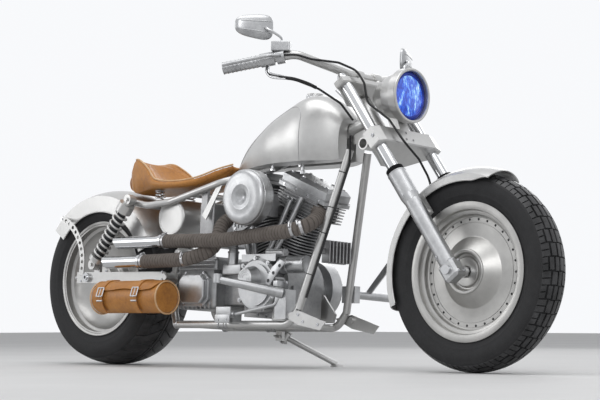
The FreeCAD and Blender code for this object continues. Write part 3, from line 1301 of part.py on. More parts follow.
def belt_outline(front_radius, back_radius):
    """The closed line round two pulleys, as points and arcs in the XZ plane."""
    front = V(OUTPUT_SHAFT.x, 0, OUTPUT_SHAFT.z)
    back = V(REAR_AXLE.x, 0, REAR_AXLE.z)
    span = front - back
    base = math.atan2(span.z, span.x)
    lead = math.acos((back_radius - front_radius) / span.Length)

    def on(centre, radius, angle):
        return centre + V(math.cos(angle), 0, math.sin(angle)) * radius

    up, down = base + lead, base - lead
    edges = [
        Part.LineSegment(on(back, back_radius, up), on(front, front_radius, up)),
        Part.Arc(on(front, front_radius, up), on(front, front_radius, base), on(front, front_radius, down)),
        Part.LineSegment(on(front, front_radius, down), on(back, back_radius, down)),
        Part.Arc(on(back, back_radius, down), on(back, back_radius, base + math.pi),
                 on(back, back_radius, up)),
    ]
    return Part.Face(Part.Wire([edge.toShape() for edge in edges]))


def drive_belt():
    front = OUTPUT_PULLEY_RADIUS + BEARING_GAP
    back = PULLEY_RADIUS + BEARING_GAP
    outer = belt_outline(front + BELT_WALL, back + BELT_WALL)
    inner = belt_outline(front, back)
    belt = outer.cut(inner).extrude(ALONG_Y * (PULLEY_WIDTH - RUN_GAP * 2))
    belt.translate(ALONG_Y * (PULLEY_INNER + RUN_GAP))
    return belt


def output_pulley():
    at = OUTPUT_SHAFT
    return rod(V(at.x, GEARBOX_HALF, at.z), V(at.x, PULLEY_INNER + PULLEY_WIDTH, at.z), SHAFT_RADIUS).fuse(
        rod(V(at.x, PULLEY_INNER, at.z), V(at.x, PULLEY_INNER + PULLEY_WIDTH, at.z), OUTPUT_PULLEY_RADIUS))


# Engine

def cylinder_axis(lean):
    angle = math.radians(V_HALF_ANGLE_DEG * lean)
    return V(math.sin(angle), 0, math.cos(angle))


def in_cylinder(shape, lean):
    """Turn a shape built upright over the crank to a cylinder's own axis."""
    placed = shape.copy()
    placed.rotate(V(), ALONG_Y, V_HALF_ANGLE_DEG * lean)
    placed.translate(CRANK)
    return placed


def crankcase():
    """The round crankcase with a sump foot and two cylinder decks."""
    drum = rod(CRANK - ALONG_Y * CASE_HALF, CRANK + ALONG_Y * CASE_HALF, CASE_RADIUS)
    sump_half = CASE_HALF * SUMP_SHARE
    foot = block(V(CRANK.x - SUMP_BACK, -sump_half, RAIL_Z + SUMP_LIFT),
                 V(CRANK.x + SUMP_FRONT, sump_half, CRANK.z))
    solid = drum.fuse(foot)
    for lean in SIDES:
        deck = block(V(-DECK_HALF_LENGTH, -DECK_HALF_WIDTH, 0),
                     V(DECK_HALF_LENGTH, DECK_HALF_WIDTH, BARREL_FOOT))
        solid = solid.fuse(in_cylinder(deck, lean))
    return solid


def cylinder(lean):
    """A finned barrel and finned head on one axis."""
    solid = Part.makeCylinder(BARREL_RADIUS, HEAD_TOP - BARREL_FOOT - FIT, V(0, 0, BARREL_FOOT + FIT))
    for index in range(int((BARREL_TOP - BARREL_FOOT) / FIN_PITCH)):
        low = BARREL_FOOT + FIN_PITCH * (index + FIN_START_SHARE)
        solid = solid.fuse(Part.makeCylinder(FIN_RADIUS, FIN_WALL, V(0, 0, low)))
    for index in range(int((HEAD_TOP - BARREL_TOP) / FIN_PITCH)):
        low = BARREL_TOP + FIN_PITCH * index
        solid = solid.fuse(block(V(-HEAD_HALF_LENGTH, -HEAD_HALF_WIDTH, low),
                                 V(HEAD_HALF_LENGTH, HEAD_HALF_WIDTH, low + FIN_WALL)))
    core = V(HEAD_HALF_LENGTH * HEAD_CORE_SHARES[0], HEAD_HALF_WIDTH * HEAD_CORE_SHARES[1], 0)
    solid = solid.fuse(block(V(0, 0, BARREL_TOP) - core, V(0, 0, HEAD_TOP) + core))
    placed = in_cylinder(solid, lean).cut(crankcase())
    beyond = block(V(0, -FIN_RADIUS * 2, 0), V(FIN_RADIUS * 2, FIN_RADIUS * 2, HEAD_TOP * 2))
    if lean > 0:
        beyond.translate(CRANK - ALONG_X * (FIN_RADIUS * 2 - RUN_GAP))
    else:
        beyond.translate(CRANK - ALONG_X * RUN_GAP)
    return placed.cut(beyond)


def rocker_box(lean):
    """A rocker cover: a flat base and a chamfered top."""
    step = HEAD_TOP + ROCKER_BASE
    wide = V(ROCKER_HALF_LENGTH, ROCKER_HALF_WIDTH, 0)
    slim = V(ROCKER_HALF_LENGTH * ROCKER_TOP_SHARES[0], ROCKER_HALF_WIDTH * ROCKER_TOP_SHARES[1], 0)
    base = block(V(0, 0, HEAD_TOP + FIT) - wide, V(0, 0, step) + wide)
    top = block(V(0, 0, step) - slim, V(0, 0, ROCKER_TOP) + slim)
    upper_edges = [edge for edge in top.Edges if edge.BoundBox.ZMin > ROCKER_TOP - ROCKER_STEP]
    return in_cylinder(base.fuse(top.makeChamfer(ROCKER_CHAMFER, upper_edges)), lean)


def pushrod_tubes():
    """Two chromed tubes to each head and their tappet block, on the right."""
    result = block(V(CRANK.x - TAPPET_HALF, -PUSHROD_FOOT_HALF - PUSHROD_HEAD_DROP, CRANK.z + TAPPET_LOW),
                   V(CRANK.x + TAPPET_HALF, -CASE_HALF - FIT, CRANK.z + TAPPET_HIGH))
    for lean in SIDES:
        for offset in SIDES:
            foot_x = CRANK.x + lean * PUSHROD_FOOT_OUT + offset * PUSHROD_SPREAD * PUSHROD_FOOT_SHARE
            foot = V(foot_x, -PUSHROD_FOOT_HALF, CRANK.z + PUSHROD_FOOT_UP)
            head = CRANK + cylinder_axis(lean) * (HEAD_TOP - PUSHROD_HEAD_DROP)
            head = head + V(offset * PUSHROD_SPREAD, -HEAD_HALF_WIDTH - PUSHROD_RADIUS, 0)
            result = result.fuse(rod(foot, head, PUSHROD_RADIUS))
    for lean in SIDES:
        result = result.cut(cylinder(lean)).cut(rocker_box(lean))
    return result.cut(crankcase()).cut(cam_cover())


def cam_cover():
    """The timing cover: a chamfered disc, a raised panel and a conical nose."""
    disc = rod(V(CRANK.x, -CASE_HALF - FIT, CRANK.z), V(CRANK.x, -CAM_COVER_OUT + CAM_STEP, CRANK.z),
               CAM_COVER_RADIUS)
    outer_edges = [edge for edge in disc.Edges if edge.BoundBox.YMax < -CAM_COVER_OUT + CAM_STEP + FIT]
    disc = disc.makeChamfer(CAM_CHAMFER, outer_edges)
    panel = rod(V(CRANK.x, -CASE_HALF - CAM_STEP, CRANK.z), V(CRANK.x, -CAM_COVER_OUT, CRANK.z),
                CAM_COVER_RADIUS * CAM_PANEL_SHARE)
    nose = Part.makeCone(NOSE_RADIUS + NOSE_FLARE, NOSE_RADIUS, NOSE_OUT - CAM_COVER_OUT + CAM_STEP,
                         V(CRANK.x - NOSE_BACK, -CAM_COVER_OUT + CAM_STEP, CRANK.z + NOSE_UP), ALONG_Y * -1)
    return disc.fuse(panel).fuse(nose)


def air_cleaner():
    """The round air cleaner with a dimpled face, its backing plate and the plate's ribbed tongue."""
    depth = AIR_CLEANER_OUT - AIR_CLEANER_IN
    wall_share, edge_share, dimple_share, floor_share = AIR_FACE_SHARES
    outline = [
        (0, 0), (AIR_CLEANER_RADIUS, 0), (AIR_CLEANER_RADIUS, depth * wall_share),
        (AIR_CLEANER_RADIUS * edge_share, depth), (AIR_CLEANER_RADIUS * dimple_share, depth),
        (AIR_CLEANER_RADIUS * floor_share, depth * wall_share), (0, depth * wall_share),
    ]
    drum = lathe(outline, AIR_CLEANER - ALONG_Y * AIR_CLEANER_IN, ALONG_Y * -1)
    plate_in = AIR_CLEANER - ALONG_Y * (AIR_CLEANER_IN - AIR_PLATE_WALL)
    plate = rod(plate_in, AIR_CLEANER - ALONG_Y * AIR_CLEANER_IN, AIR_CLEANER_RADIUS * AIR_PLATE_SHARE)
    tongue = side_outline(AIR_TONGUE, -AIR_CLEANER_IN, -AIR_CLEANER_IN + AIR_PLATE_WALL)
    return drum.fuse(plate).fuse(tongue)


def carburettor():
    """The carburettor and intake between the cylinders."""
    low = AIR_CLEANER - ALONG_Z * CARB_DROP
    neck = rod(low + ALONG_Y * CARB_REACH, low - ALONG_Y * (AIR_CLEANER_IN - AIR_PLATE_WALL - FIT), CARB_RADIUS)
    body = block(AIR_CLEANER + CARB_LOW, AIR_CLEANER + CARB_HIGH)
    runner_at = CRANK + ALONG_Z * RUNNER_UP
    runner = rod(runner_at - ALONG_X * RUNNER_HALF, runner_at + ALONG_X * RUNNER_HALF, RUNNER_RADIUS)
    solid = neck.fuse(body).fuse(runner)
    for lean in SIDES:
        solid = solid.cut(cylinder(lean)).cut(rocker_box(lean))
    return largest_solid(solid.cut(pushrod_tubes()))


def gearbox():
    """The gearbox with a raised round side cover."""
    body = block(V(GEARBOX_BACK, -GEARBOX_HALF, GEARBOX_BOTTOM), V(GEARBOX_FRONT, GEARBOX_HALF, GEARBOX_TOP))
    body = rounded(body, GEARBOX_EDGE)
    face = SIDE_COVER - ALONG_Y * GEARBOX_HALF
    rim = face - ALONG_Y * (SIDE_COVER_WALL - SIDE_COVER_EDGE)
    cover = rod(face, rim, SIDE_COVER_RADIUS)
    cap = Part.makeCone(SIDE_COVER_RADIUS, SIDE_COVER_RADIUS - SIDE_COVER_EDGE, SIDE_COVER_EDGE, rim,
                        ALONG_Y * -1)
    link = block(V(GEARBOX_FRONT - LINK_LAP, -LINK_HALF, GEARBOX_BOTTOM + LINK_LAP),
                 V(CRANK.x - LINK_HALF, LINK_HALF, GEARBOX_TOP - LINK_HALF))
    return body.fuse(cover).fuse(cap).fuse(link).fuse(output_pulley()).cut(crankcase())


def primary_cover():
    """The long primary cover on the left, over the crank and the clutch."""
    back_x = OUTPUT_SHAFT.x + PRIMARY_SHIFT
    shell = side_outline([(back_x, OUTPUT_SHAFT.z - PRIMARY_BACK_RADIUS),
                          (CRANK.x, CRANK.z - PRIMARY_FRONT_RADIUS),
                          (CRANK.x, CRANK.z + PRIMARY_FRONT_RADIUS),
                          (back_x, OUTPUT_SHAFT.z + PRIMARY_BACK_RADIUS)], PRIMARY_IN, PRIMARY_OUT)
    for x, z, radius in ((CRANK.x, CRANK.z, PRIMARY_FRONT_RADIUS),
                         (back_x, OUTPUT_SHAFT.z, PRIMARY_BACK_RADIUS)):
        shell = shell.fuse(rod(V(x, PRIMARY_IN, z), V(x, PRIMARY_OUT, z), radius))
        shell = shell.fuse(Part.makeCone(radius - PRIMARY_EDGE, radius - PRIMARY_EDGE * 2, PRIMARY_EDGE,
                                         V(x, PRIMARY_OUT, z), ALONG_Y))
    neck = rod(V(CRANK.x, CASE_HALF + FIT, CRANK.z), V(CRANK.x, PRIMARY_IN, CRANK.z), PRIMARY_NECK_RADIUS)
    return shell.fuse(neck)


def oil_filter():
    """The filter canister along the right of the crankcase."""
    return rod(FILTER, FILTER + ALONG_X * FILTER_LENGTH, FILTER_RADIUS).cut(crankcase()).cut(cam_cover())


def regulator():
    """The finned regulator between the downtubes."""
    at = REGULATOR
    front = at.x + REGULATOR_WALL
    base = block(at - ALONG_Y * REGULATOR_HALF, V(front, REGULATOR_HALF, at.z + REGULATOR_HEIGHT))
    solid = base.fuse(block(V(at.x + STRAP_BACK, -STRAP_HALF, at.z + STRAP_LOW),
                            V(front, STRAP_HALF, at.z + STRAP_HIGH)))
    pitch = (REGULATOR_HALF * 2 - REGULATOR_FIN) / (REGULATOR_FINS - 1)
    for index in range(REGULATOR_FINS):
        low = index * pitch - REGULATOR_HALF
        solid = solid.fuse(block(V(front, low, at.z + REGULATOR_INSET),
                                 V(front + REGULATOR_FIN_DEPTH, low + REGULATOR_FIN,
                                   at.z + REGULATOR_HEIGHT - REGULATOR_INSET)))
    return solid.cut(downtube(-1)).cut(downtube(1))


# Exhausts

def upper_pipe_points():
    port = CRANK + cylinder_axis(1) * (HEAD_TOP - PORT_DROP)
    port = port + ALONG_X * (HEAD_HALF_LENGTH * UPPER_PORT_SHARE) + UPPER_PORT
    end_x, _, height = UPPER_TIP
    return [port] + list(UPPER_BENDS) + [V(end_x, -UPPER_PIPE_OUT, height)]


def lower_pipe_points():
    port = CRANK + cylinder_axis(-1) * (HEAD_TOP - PORT_DROP) - ALONG_X * HEAD_HALF_LENGTH + LOWER_PORT
    end_x, _, height = LOWER_TIP
    return [port] + list(LOWER_BENDS) + [V(end_x, -LOWER_PIPE_OUT, height)]


def exhaust_wraps():
    """The wrapped front lengths of both pipes."""
    solids = []
    for points in (upper_pipe_points(), lower_pipe_points()):
        pipe = bent_tube(points, PIPE_RADIUS, PIPE_BEND)
        for lean in SIDES:
            pipe = pipe.cut(cylinder(lean)).cut(rocker_box(lean))
        solids.append(largest_solid(pipe))
    return Part.Compound(solids)


def exhaust_tips():
    """The polished tips with open slanted ends, and their clamps."""
    solids = []
    for (start_x, end_x, height), out in ((UPPER_TIP, UPPER_PIPE_OUT), (LOWER_TIP, LOWER_PIPE_OUT)):
        start = V(start_x - FIT, -out, height)
        end = V(end_x, -out, height)
        tip = rod(start, end, TIP_RADIUS).cut(rod(end + ALONG_X * TIP_OPEN, end, TIP_RADIUS - TIP_WALL))
        slant = block(V(-TIP_SLANT_BOX, -TIP_SLANT_BOX, -TIP_SLANT_BOX), V(0, TIP_SLANT_BOX, TIP_SLANT_BOX))
        slant.rotate(V(), ALONG_Y, -TIP_SLANT_DEG)
        slant.translate(end + ALONG_X * TIP_SLANT_BACK)
        collar = rod(start, start - ALONG_X * COLLAR_LENGTH, TIP_RADIUS + COLLAR_RISE)
        solids.append(tip.cut(slant).fuse(collar))
    return Part.Compound(solids)


# Tank, seat and boxes

def tank_section(share, width_share, low_share, high_share):
    """One cross section of the tank, flat below and round above."""
    x = TANK_BACK + (TANK_FRONT - TANK_BACK) * share
    half = TANK_HALF * width_share
    height = TANK_TOP - TANK_BOTTOM
    low = TANK_BOTTOM + height * low_share
    rise = height * (high_share - low_share)
    right = [V(x, half * wide, low + rise * up) for wide, up in TANK_EDGE_SHARES]
    points = right + [V(x, 0, low + rise)] + [side_point(point, -1) for point in reversed(right)]
    curve = Part.BSplineCurve()
    curve.interpolate(points)
    return Part.Wire([curve.toShape(), Part.LineSegment(points[-1], points[0]).toShape()])


def tank():
    """The teardrop tank, lofted front to back, with a tunnel over the backbone and a filler cap."""
    body = Part.makeLoft([tank_section(*station) for station in TANK_STATION_SHARES], True)
    cap_at = V(CAP.x, 0, TANK_TOP - CAP_SINK)
    body = body.fuse(Part.makeCone(CAP_RADIUS, CAP_RADIUS - RING_STEP, CAP_HEIGHT + CAP_SINK, cap_at))
    half = BACKBONE_RADIUS + TUNNEL_GAP
    knee = BACKBONE_KNEE + (BACKBONE_KNEE - BACKBONE_TAIL).normalize() * TUNNEL_REACH
    back = BACKBONE_TAIL.x - SLOT_BACK
    low = TANK_BOTTOM - SLOT_DROP
    slot = side_outline([(back, low), (knee.x, low), (knee.x, knee.z), (back, BACKBONE_TAIL.z)], -half, half)
    return largest_solid(body.cut(rod(BACKBONE_TAIL, knee, half)).cut(slot))


def seat_section(x, half, low, rim, dish):
    """One cross section of the seat: a flat pan, a round rim and a dished middle."""
    pan_share, belly_share, lip_share, rim_share, dish_share = SEAT_EDGE_SHARES
    left = [V(x, half * pan_share, low), V(x, half, low + (rim - low) * belly_share),
            V(x, half * lip_share, rim - FIT), V(x, half * rim_share, rim), V(x, half * dish_share, dish)]
    points = left + [side_point(point, -1) for point in reversed(left)]
    return Part.makePolygon(points + [points[0]])


def seat():
    """The solo seat as one padded form with a dished top and a raised back."""
    return Part.makeLoft([seat_section(*station) for station in SEAT_STATIONS], True, True)


def seat_springs():
    """Two coil springs under the back of the seat."""
    solids = []
    low = SEAT_SPRING.z
    pitch = (SEAT_SPRING_TOP - low) / SEAT_SPRING_TURNS
    for side in SIDES:
        outline = [(0, low)]
        for turn in range(SEAT_SPRING_TURNS):
            start = low + turn * pitch
            rise, fall, rest = [start + pitch * share for share in SPRING_SHARES]
            outline += [(SEAT_SPRING_CORE, start), (SEAT_SPRING_RADIUS, rise), (SEAT_SPRING_RADIUS, fall),
                        (SEAT_SPRING_CORE, rest)]
        outline += [(SEAT_SPRING_CORE, SEAT_SPRING_TOP), (0, SEAT_SPRING_TOP)]
        solids.append(lathe(outline, V(SEAT_SPRING.x, SEAT_SPRING.y * side, 0), ALONG_Z))
    return Part.Compound(solids).cut(cross_members())


def oil_tank():
    """The oil tank: a drum across the frame with its filler and its tab to the post."""
    reach = ALONG_Y * OIL_TANK_HALF
    drum = rod(OIL_TANK - reach, OIL_TANK + reach, OIL_TANK_RADIUS)
    end_edges = [edge for edge in drum.Edges if edge.BoundBox.YLength < FIT]
    drum = drum.makeFillet(OIL_TANK_EDGE, end_edges)
    solid = drum.fuse(rod(OIL_TANK + FILLER_FOOT, OIL_TANK + FILLER_TOP, FILLER_RADIUS))
    solid = solid.fuse(block(OIL_TANK + OIL_TAB_LOW, OIL_TANK + OIL_TAB_HIGH)).cut(uprights())
    for side in SIDES:
        solid = solid.cut(seat_rail(side))
    return largest_solid(solid)


def battery_box():
    """The dark box ahead of the post, hung from the seat rails."""
    box = rounded(block(V(BOX_BACK, -BOX_HALF, BOX_BOTTOM), V(BOX_FRONT, BOX_HALF, BOX_TOP)), BOX_EDGE)
    for side in SIDES:
        tab = block(V(BOX_TAB_BACK, BOX_TAB_IN, BOX_TOP - BOX_TAB_DROP),
                    V(BOX_TAB_FRONT, BOX_TAB_OUT, BOX_TAB_TOP))
        box = box.fuse(tab if side > 0 else mirrored(tab)).cut(seat_rail(side))
    return box


def tool_bag():
    """The leather roll as one plain solid."""
    body = rod(V(BAG_BACK, -BAG_OUT, BAG_Z), V(BAG_FRONT, -BAG_OUT, BAG_Z), BAG_RADIUS)
    return body.makeFillet(BAG_EDGE, [edge for edge in body.Edges if edge.BoundBox.XLength < FIT])


def bag_hanger():
    """A flat bar on the swingarm that the roll is strapped to."""
    low = BAG_Z + BAG_RADIUS + FIT
    return block(V(HANGER_BACK, -BAG_OUT, low), V(HANGER_FRONT, -ARM_HALF, low + HANGER_WALL))


# Foot controls

def foot_control_right():
    """The right peg arm with its bracket, the pedal rod and the brake master cylinder."""
    bracket = block(RIGHT_BRACKET_LOW, RIGHT_BRACKET_HIGH)
    reach = PEG_TIP - PEG_ROOT
    arm = Part.makeCone(PEG_ROOT_RADIUS, PEG_TIP_RADIUS, reach.Length, PEG_ROOT, reach)
    pedal = rod(PEDAL_FOOT, MASTER_END, PEDAL_ROD_RADIUS).fuse(rod(PEDAL_FOOT, PEG_ROOT, PEDAL_ROD_RADIUS))
    master = rod(MASTER_START, MASTER_END, MASTER_RADIUS).fuse(block(*MASTER_PLATE))
    solid = bracket.fuse(arm).fuse(pedal).fuse(master)
    return solid.cut(front_plates()).cut(lower_rail(-1)).cut(downtube(-1)).cut(cam_cover())


def foot_control_left():
    """The left peg, its bracket and the shift lever."""
    solid = block(LEFT_BRACKET_LOW, LEFT_BRACKET_HIGH)
    solid = solid.fuse(rod(*LEFT_PEG, LEFT_PEG_RADIUS)).fuse(rod(*SHIFT_PAD, SHIFT_PAD_RADIUS))
    solid = solid.fuse(rod(*SHIFT_STUB, SHIFT_STUB_RADIUS))
    solid = solid.fuse(side_outline(SHIFT_LEVER, SHIFT_LEVER_IN, SHIFT_LEVER_OUT))
    return solid.cut(downtube(1)).cut(lower_rail(1)).cut(front_plates())


# Wiring

def wiring():
    """The wires tied to the front of the right downtube."""
    head, foot = side_point(DOWNTUBE_HEAD, -1), side_point(DOWNTUBE_FOOT, -1)
    way = (foot - head).normalize()
    ahead = (ALONG_X - way * ALONG_X.dot(way)).normalize() * WIRING_AHEAD
    low, high = [head + (foot - head) * share + ahead for share in WIRING_SHARES]
    wires = bent_tube([WIRING_TOP, low, high], HOSE_RADIUS, HOSE_BEND)
    return wires.cut(downtube(-1)).cut(frame_neck()).cut(regulator())


# Side stand

def lean_place():
    """The turn that leans the upright bike to the left about the line of its tyres."""
    return FreeCAD.Placement(V(), FreeCAD.Rotation(ALONG_X, -LEAN_DEG), V(0, 0, FLOOR))


def stand_axis():
    """The hinge line of the stand, square to its leg both down and folded."""
    down = (STAND_FOOT - STAND_PIVOT).normalize()
    return down.cross(STAND_FOLDED_SHARES).normalize()


def stand_bracket():
    """Two ears from the left rail that hold the pivot bolt of the stand."""
    at = STAND_PIVOT
    axis = stand_axis()
    ear_face = STAND_HUB_HALF + RUN_GAP
    ear_radius = STAND_HUB_RADIUS + RUN_GAP * 2
    to_rail = V(at.x, RAIL_HALF, RAIL_Z) - at
    to_rail = to_rail - axis * to_rail.dot(axis)
    along_rail = axis.cross(to_rail).normalize() * STAND_HUB_RADIUS
    end = axis * (ear_face + STAND_EAR_WALL + STAND_PIN_RADIUS)
    solid = rod(at - end, at + end, STAND_PIN_RADIUS)
    for side in SIDES:
        inner = at + axis * (ear_face * side)
        wall = axis * (STAND_EAR_WALL * side)
        plate = polygon_face([inner - along_rail, inner + along_rail, inner + along_rail + to_rail,
                              inner - along_rail + to_rail]).extrude(wall)
        solid = solid.fuse(rod(inner, inner + wall, ear_radius)).fuse(plate)
    tab = block(V(at.x - STAND_HUB_RADIUS, RAIL_HALF - TUBE_RADIUS / 2, at.z - STAND_HUB_RADIUS),
                V(at.x + STAND_HUB_RADIUS, at.y - STAND_HUB_RADIUS - RUN_GAP, RAIL_Z))
    hub_space = rod(at - axis * ear_face, at + axis * ear_face, ear_radius)
    return solid.fuse(tab.cut(hub_space)).cut(lower_rail(1))


def stand_leg():
    """The stand leg, swung down with its foot ahead and to the left."""
    axis = stand_axis()
    hub = rod(STAND_PIVOT - axis * STAND_HUB_HALF, STAND_PIVOT + axis * STAND_HUB_HALF, STAND_HUB_RADIUS)
    leg = rod(STAND_PIVOT, STAND_FOOT, STAND_RADIUS)
    hole = rod(STAND_PIVOT - axis * STAND_HUB_HALF * 2, STAND_PIVOT + axis * STAND_HUB_HALF * 2,
               STAND_PIN_RADIUS + FIT)
    return hub.fuse(leg).cut(hole)


def foot_pad_point():
    """Where the foot stands on the floor, after the lean."""
    return lean_place().multVec(STAND_FOOT)


def side_stand():
    """The leaned stand with a foot that lies flat on the floor."""
    leg = stand_leg()
    leg.Placement = lean_place().multiply(leg.Placement)
    at = foot_pad_point()
    base = V(at.x, at.y, floor_z())
    pad = Part.makeCone(FOOT_PAD_RADIUS, FOOT_PAD_RADIUS - STAND_PAD_TAPER, FOOT_PAD_WALL, base)
    boss = rod(base + ALONG_Z * (FOOT_PAD_WALL - RUN_GAP), at, STAND_RADIUS)
    spread = V(STAND_SPAN, STAND_SPAN, 0)
    below = block(base - spread - ALONG_Z * STAND_SPAN, base + spread)
    return leg.fuse(pad).fuse(boss).cut(below)


def floor_z():
    """Height of the floor in the leaned frame, under the wider tyre."""
    crown = REAR_TYRE_WIDTH * TREAD_HALF_SHARE
    sag = (WHEEL_RADIUS - REAR_RIM_RADIUS) * SHOULDER_DROP_SHARE
    crown_radius = (crown * crown + sag * sag) / (2 * sag)
    return FLOOR - crown_radius * (1 - math.cos(math.radians(LEAN_DEG)))


# Assembly

def upright_pieces():
    """Every piece in the upright bike frame, by node name."""
    pieces = {
        "front_tyre": tyre(FRONT_AXLE, FRONT_TYRE_WIDTH, FRONT_RIM_RADIUS, FRONT_RIM_WIDTH),
        "front_wheel_disc": wheel(FRONT_AXLE, FRONT_RIM_RADIUS, FRONT_RIM_WIDTH, front_face(), front_back()),
        "front_brake_disc": brake_disc(FRONT_AXLE, FRONT_RIM_WIDTH),
        "rear_tyre": tyre(REAR_AXLE, REAR_TYRE_WIDTH, REAR_RIM_RADIUS, REAR_RIM_WIDTH),
        "rear_wheel_disc": wheel(REAR_AXLE, REAR_RIM_RADIUS, REAR_RIM_WIDTH, rear_face(), rear_back()),
        "rear_pulley": rear_pulley(),
        "front_axle": front_axle(),
        "fork_legs": fork_legs(),
        "dust_seals": dust_seals(),
        "fork_tubes": fork_tubes(),
        "lower_clamp": lower_clamp(),
        "upper_clamp": upper_clamp(),
        "handlebar": handlebar(),
        "grips": grips(),
        "hand_controls": Part.Compound([hand_controls(), switch_housings()]),
        "mirrors": mirrors(),
        "headlamp_bucket": headlamp_bucket(),
        "headlamp_lens": headlamp_lens(),
        "front_fender": front_fender(),
        "front_caliper": front_caliper(),
        "cables": cables(),
        "frame_neck": frame_neck(),
        "frame_backbone": frame_backbone(),
        "frame_downtubes": Part.Compound([downtube(side) for side in SIDES]),
        "frame_lower_rails": Part.Compound([lower_rail(side) for side in SIDES]),
        "frame_uprights": uprights(),
        "frame_seat_rails": Part.Compound([seat_rail(side) for side in SIDES]),
        "frame_cross_members": cross_members(),
        "frame_plates": Part.Compound([front_plates(), side_strap(), stand_bracket()]),
        "swingarm": swingarm(),
        "rear_axle": rear_axle(),
        "shock_bodies": shock_bodies(),
        "shock_springs": shock_springs(),
        "rear_fender": rear_fender(),
        "fender_struts": fender_struts(),
        "drive_belt": drive_belt(),
        "crankcase": crankcase(),
        "front_cylinder": cylinder(1),
        "rear_cylinder": cylinder(-1),
        "rocker_boxes": Part.Compound([rocker_box(lean) for lean in SIDES]),
        "pushrod_tubes": pushrod_tubes(),
        "cam_cover": cam_cover(),
        "air_cleaner": air_cleaner(),
        "carburettor": carburettor(),
        "gearbox": gearbox(),
        "primary_cover": primary_cover(),
        "oil_filter": oil_filter(),
        "regulator": regulator(),
        "exhaust_wraps": exhaust_wraps(),
        "exhaust_tips": exhaust_tips(),
        "tank": tank(),
        "seat": seat(),
        "seat_springs": seat_springs(),
        "oil_tank": oil_tank(),
        "battery_box": battery_box(),
        "tool_bag": tool_bag(),
        "foot_control_right": foot_control_right(),
        "foot_control_left": foot_control_left(),
        "wiring": wiring(),
    }
    return pieces


def leaned_pieces():
    """Every piece leaned on its stand, before the origin is set."""
    lean = lean_place()
    pieces = {}
    for name, shape in upright_pieces().items():
        moved = shape.copy()
        moved.Placement = lean.multiply(moved.Placement)
        pieces[name] = moved
    pieces["side_stand"] = side_stand()
    return pieces


def origin_shift(pieces):
    """The move that puts the middle of the base of the whole bike at the origin."""
    box = FreeCAD.BoundBox()
    for shape in pieces.values():
        box.add(shape.optimalBoundingBox(False, False))
    return V(-box.Center.x, -box.Center.y, -box.ZMin)


def main():
    os.makedirs("parts", exist_ok=True)
    pieces = leaned_pieces()
    shift = origin_shift(pieces)
    for name, shape in pieces.items():
        shape.translate(shift)
        shape.exportStep("parts/" + name + ".step")
    print("nodes", len(pieces))
    print("shift", shift)
    return pieces, shift


PIECES, SHIFT = main()
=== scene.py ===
"""Looks of a parked chopper motorcycle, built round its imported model."""

import json
import logging
import math
from dataclasses import dataclass
from enum import Enum
from functools import partial
from typing import Callable, Iterable, Optional, Sequence

import bpy
import bmesh
from mathutils import Matrix, Vector

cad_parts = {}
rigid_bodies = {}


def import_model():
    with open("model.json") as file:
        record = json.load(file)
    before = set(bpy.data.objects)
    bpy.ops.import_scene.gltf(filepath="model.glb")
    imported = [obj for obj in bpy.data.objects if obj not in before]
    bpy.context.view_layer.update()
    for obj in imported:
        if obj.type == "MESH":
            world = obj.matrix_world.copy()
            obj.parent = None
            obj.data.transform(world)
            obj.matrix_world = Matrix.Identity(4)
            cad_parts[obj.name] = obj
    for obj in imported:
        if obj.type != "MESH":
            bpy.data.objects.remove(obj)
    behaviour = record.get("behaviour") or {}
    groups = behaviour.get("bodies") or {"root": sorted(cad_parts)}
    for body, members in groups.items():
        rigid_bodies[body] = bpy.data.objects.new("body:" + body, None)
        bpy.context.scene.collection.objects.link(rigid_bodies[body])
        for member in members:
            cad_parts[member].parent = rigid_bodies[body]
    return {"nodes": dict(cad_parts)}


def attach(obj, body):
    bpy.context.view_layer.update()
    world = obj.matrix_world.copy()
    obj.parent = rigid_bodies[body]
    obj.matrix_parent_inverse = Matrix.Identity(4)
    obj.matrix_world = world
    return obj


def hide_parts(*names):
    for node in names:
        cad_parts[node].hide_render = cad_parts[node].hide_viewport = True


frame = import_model()

LOG = logging.getLogger("chopper")
Point = tuple[float, float, float]
Pair = tuple[float, float]
Colour = tuple[float, float, float]
Hit = tuple[Vector, Vector]
Mesh = bpy.types.Mesh
Object = bpy.types.Object
Socket = bpy.types.NodeSocket

TAU = 2 * math.pi
AHEAD, LEFT, UP = Vector((1, 0, 0)), Vector((0, 1, 0)), Vector((0, 0, 1))
M_PER_MM = 0.001
MERGE_MM = 0.0005
BROKEN_EDGE = 0.8
RAY_REACH = 400.0


def linked(name: str, data: bpy.types.ID) -> Object:
    """Return a new object in the scene.

    Args:
        name: Its name.
        data: The mesh, lamp or camera that it shows.

    Returns:
        The object.
    """
    obj = bpy.data.objects.new(name, data)
    bpy.context.scene.collection.objects.link(obj)
    return obj


# Stance: where the upright bike, in millimetres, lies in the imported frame, in metres

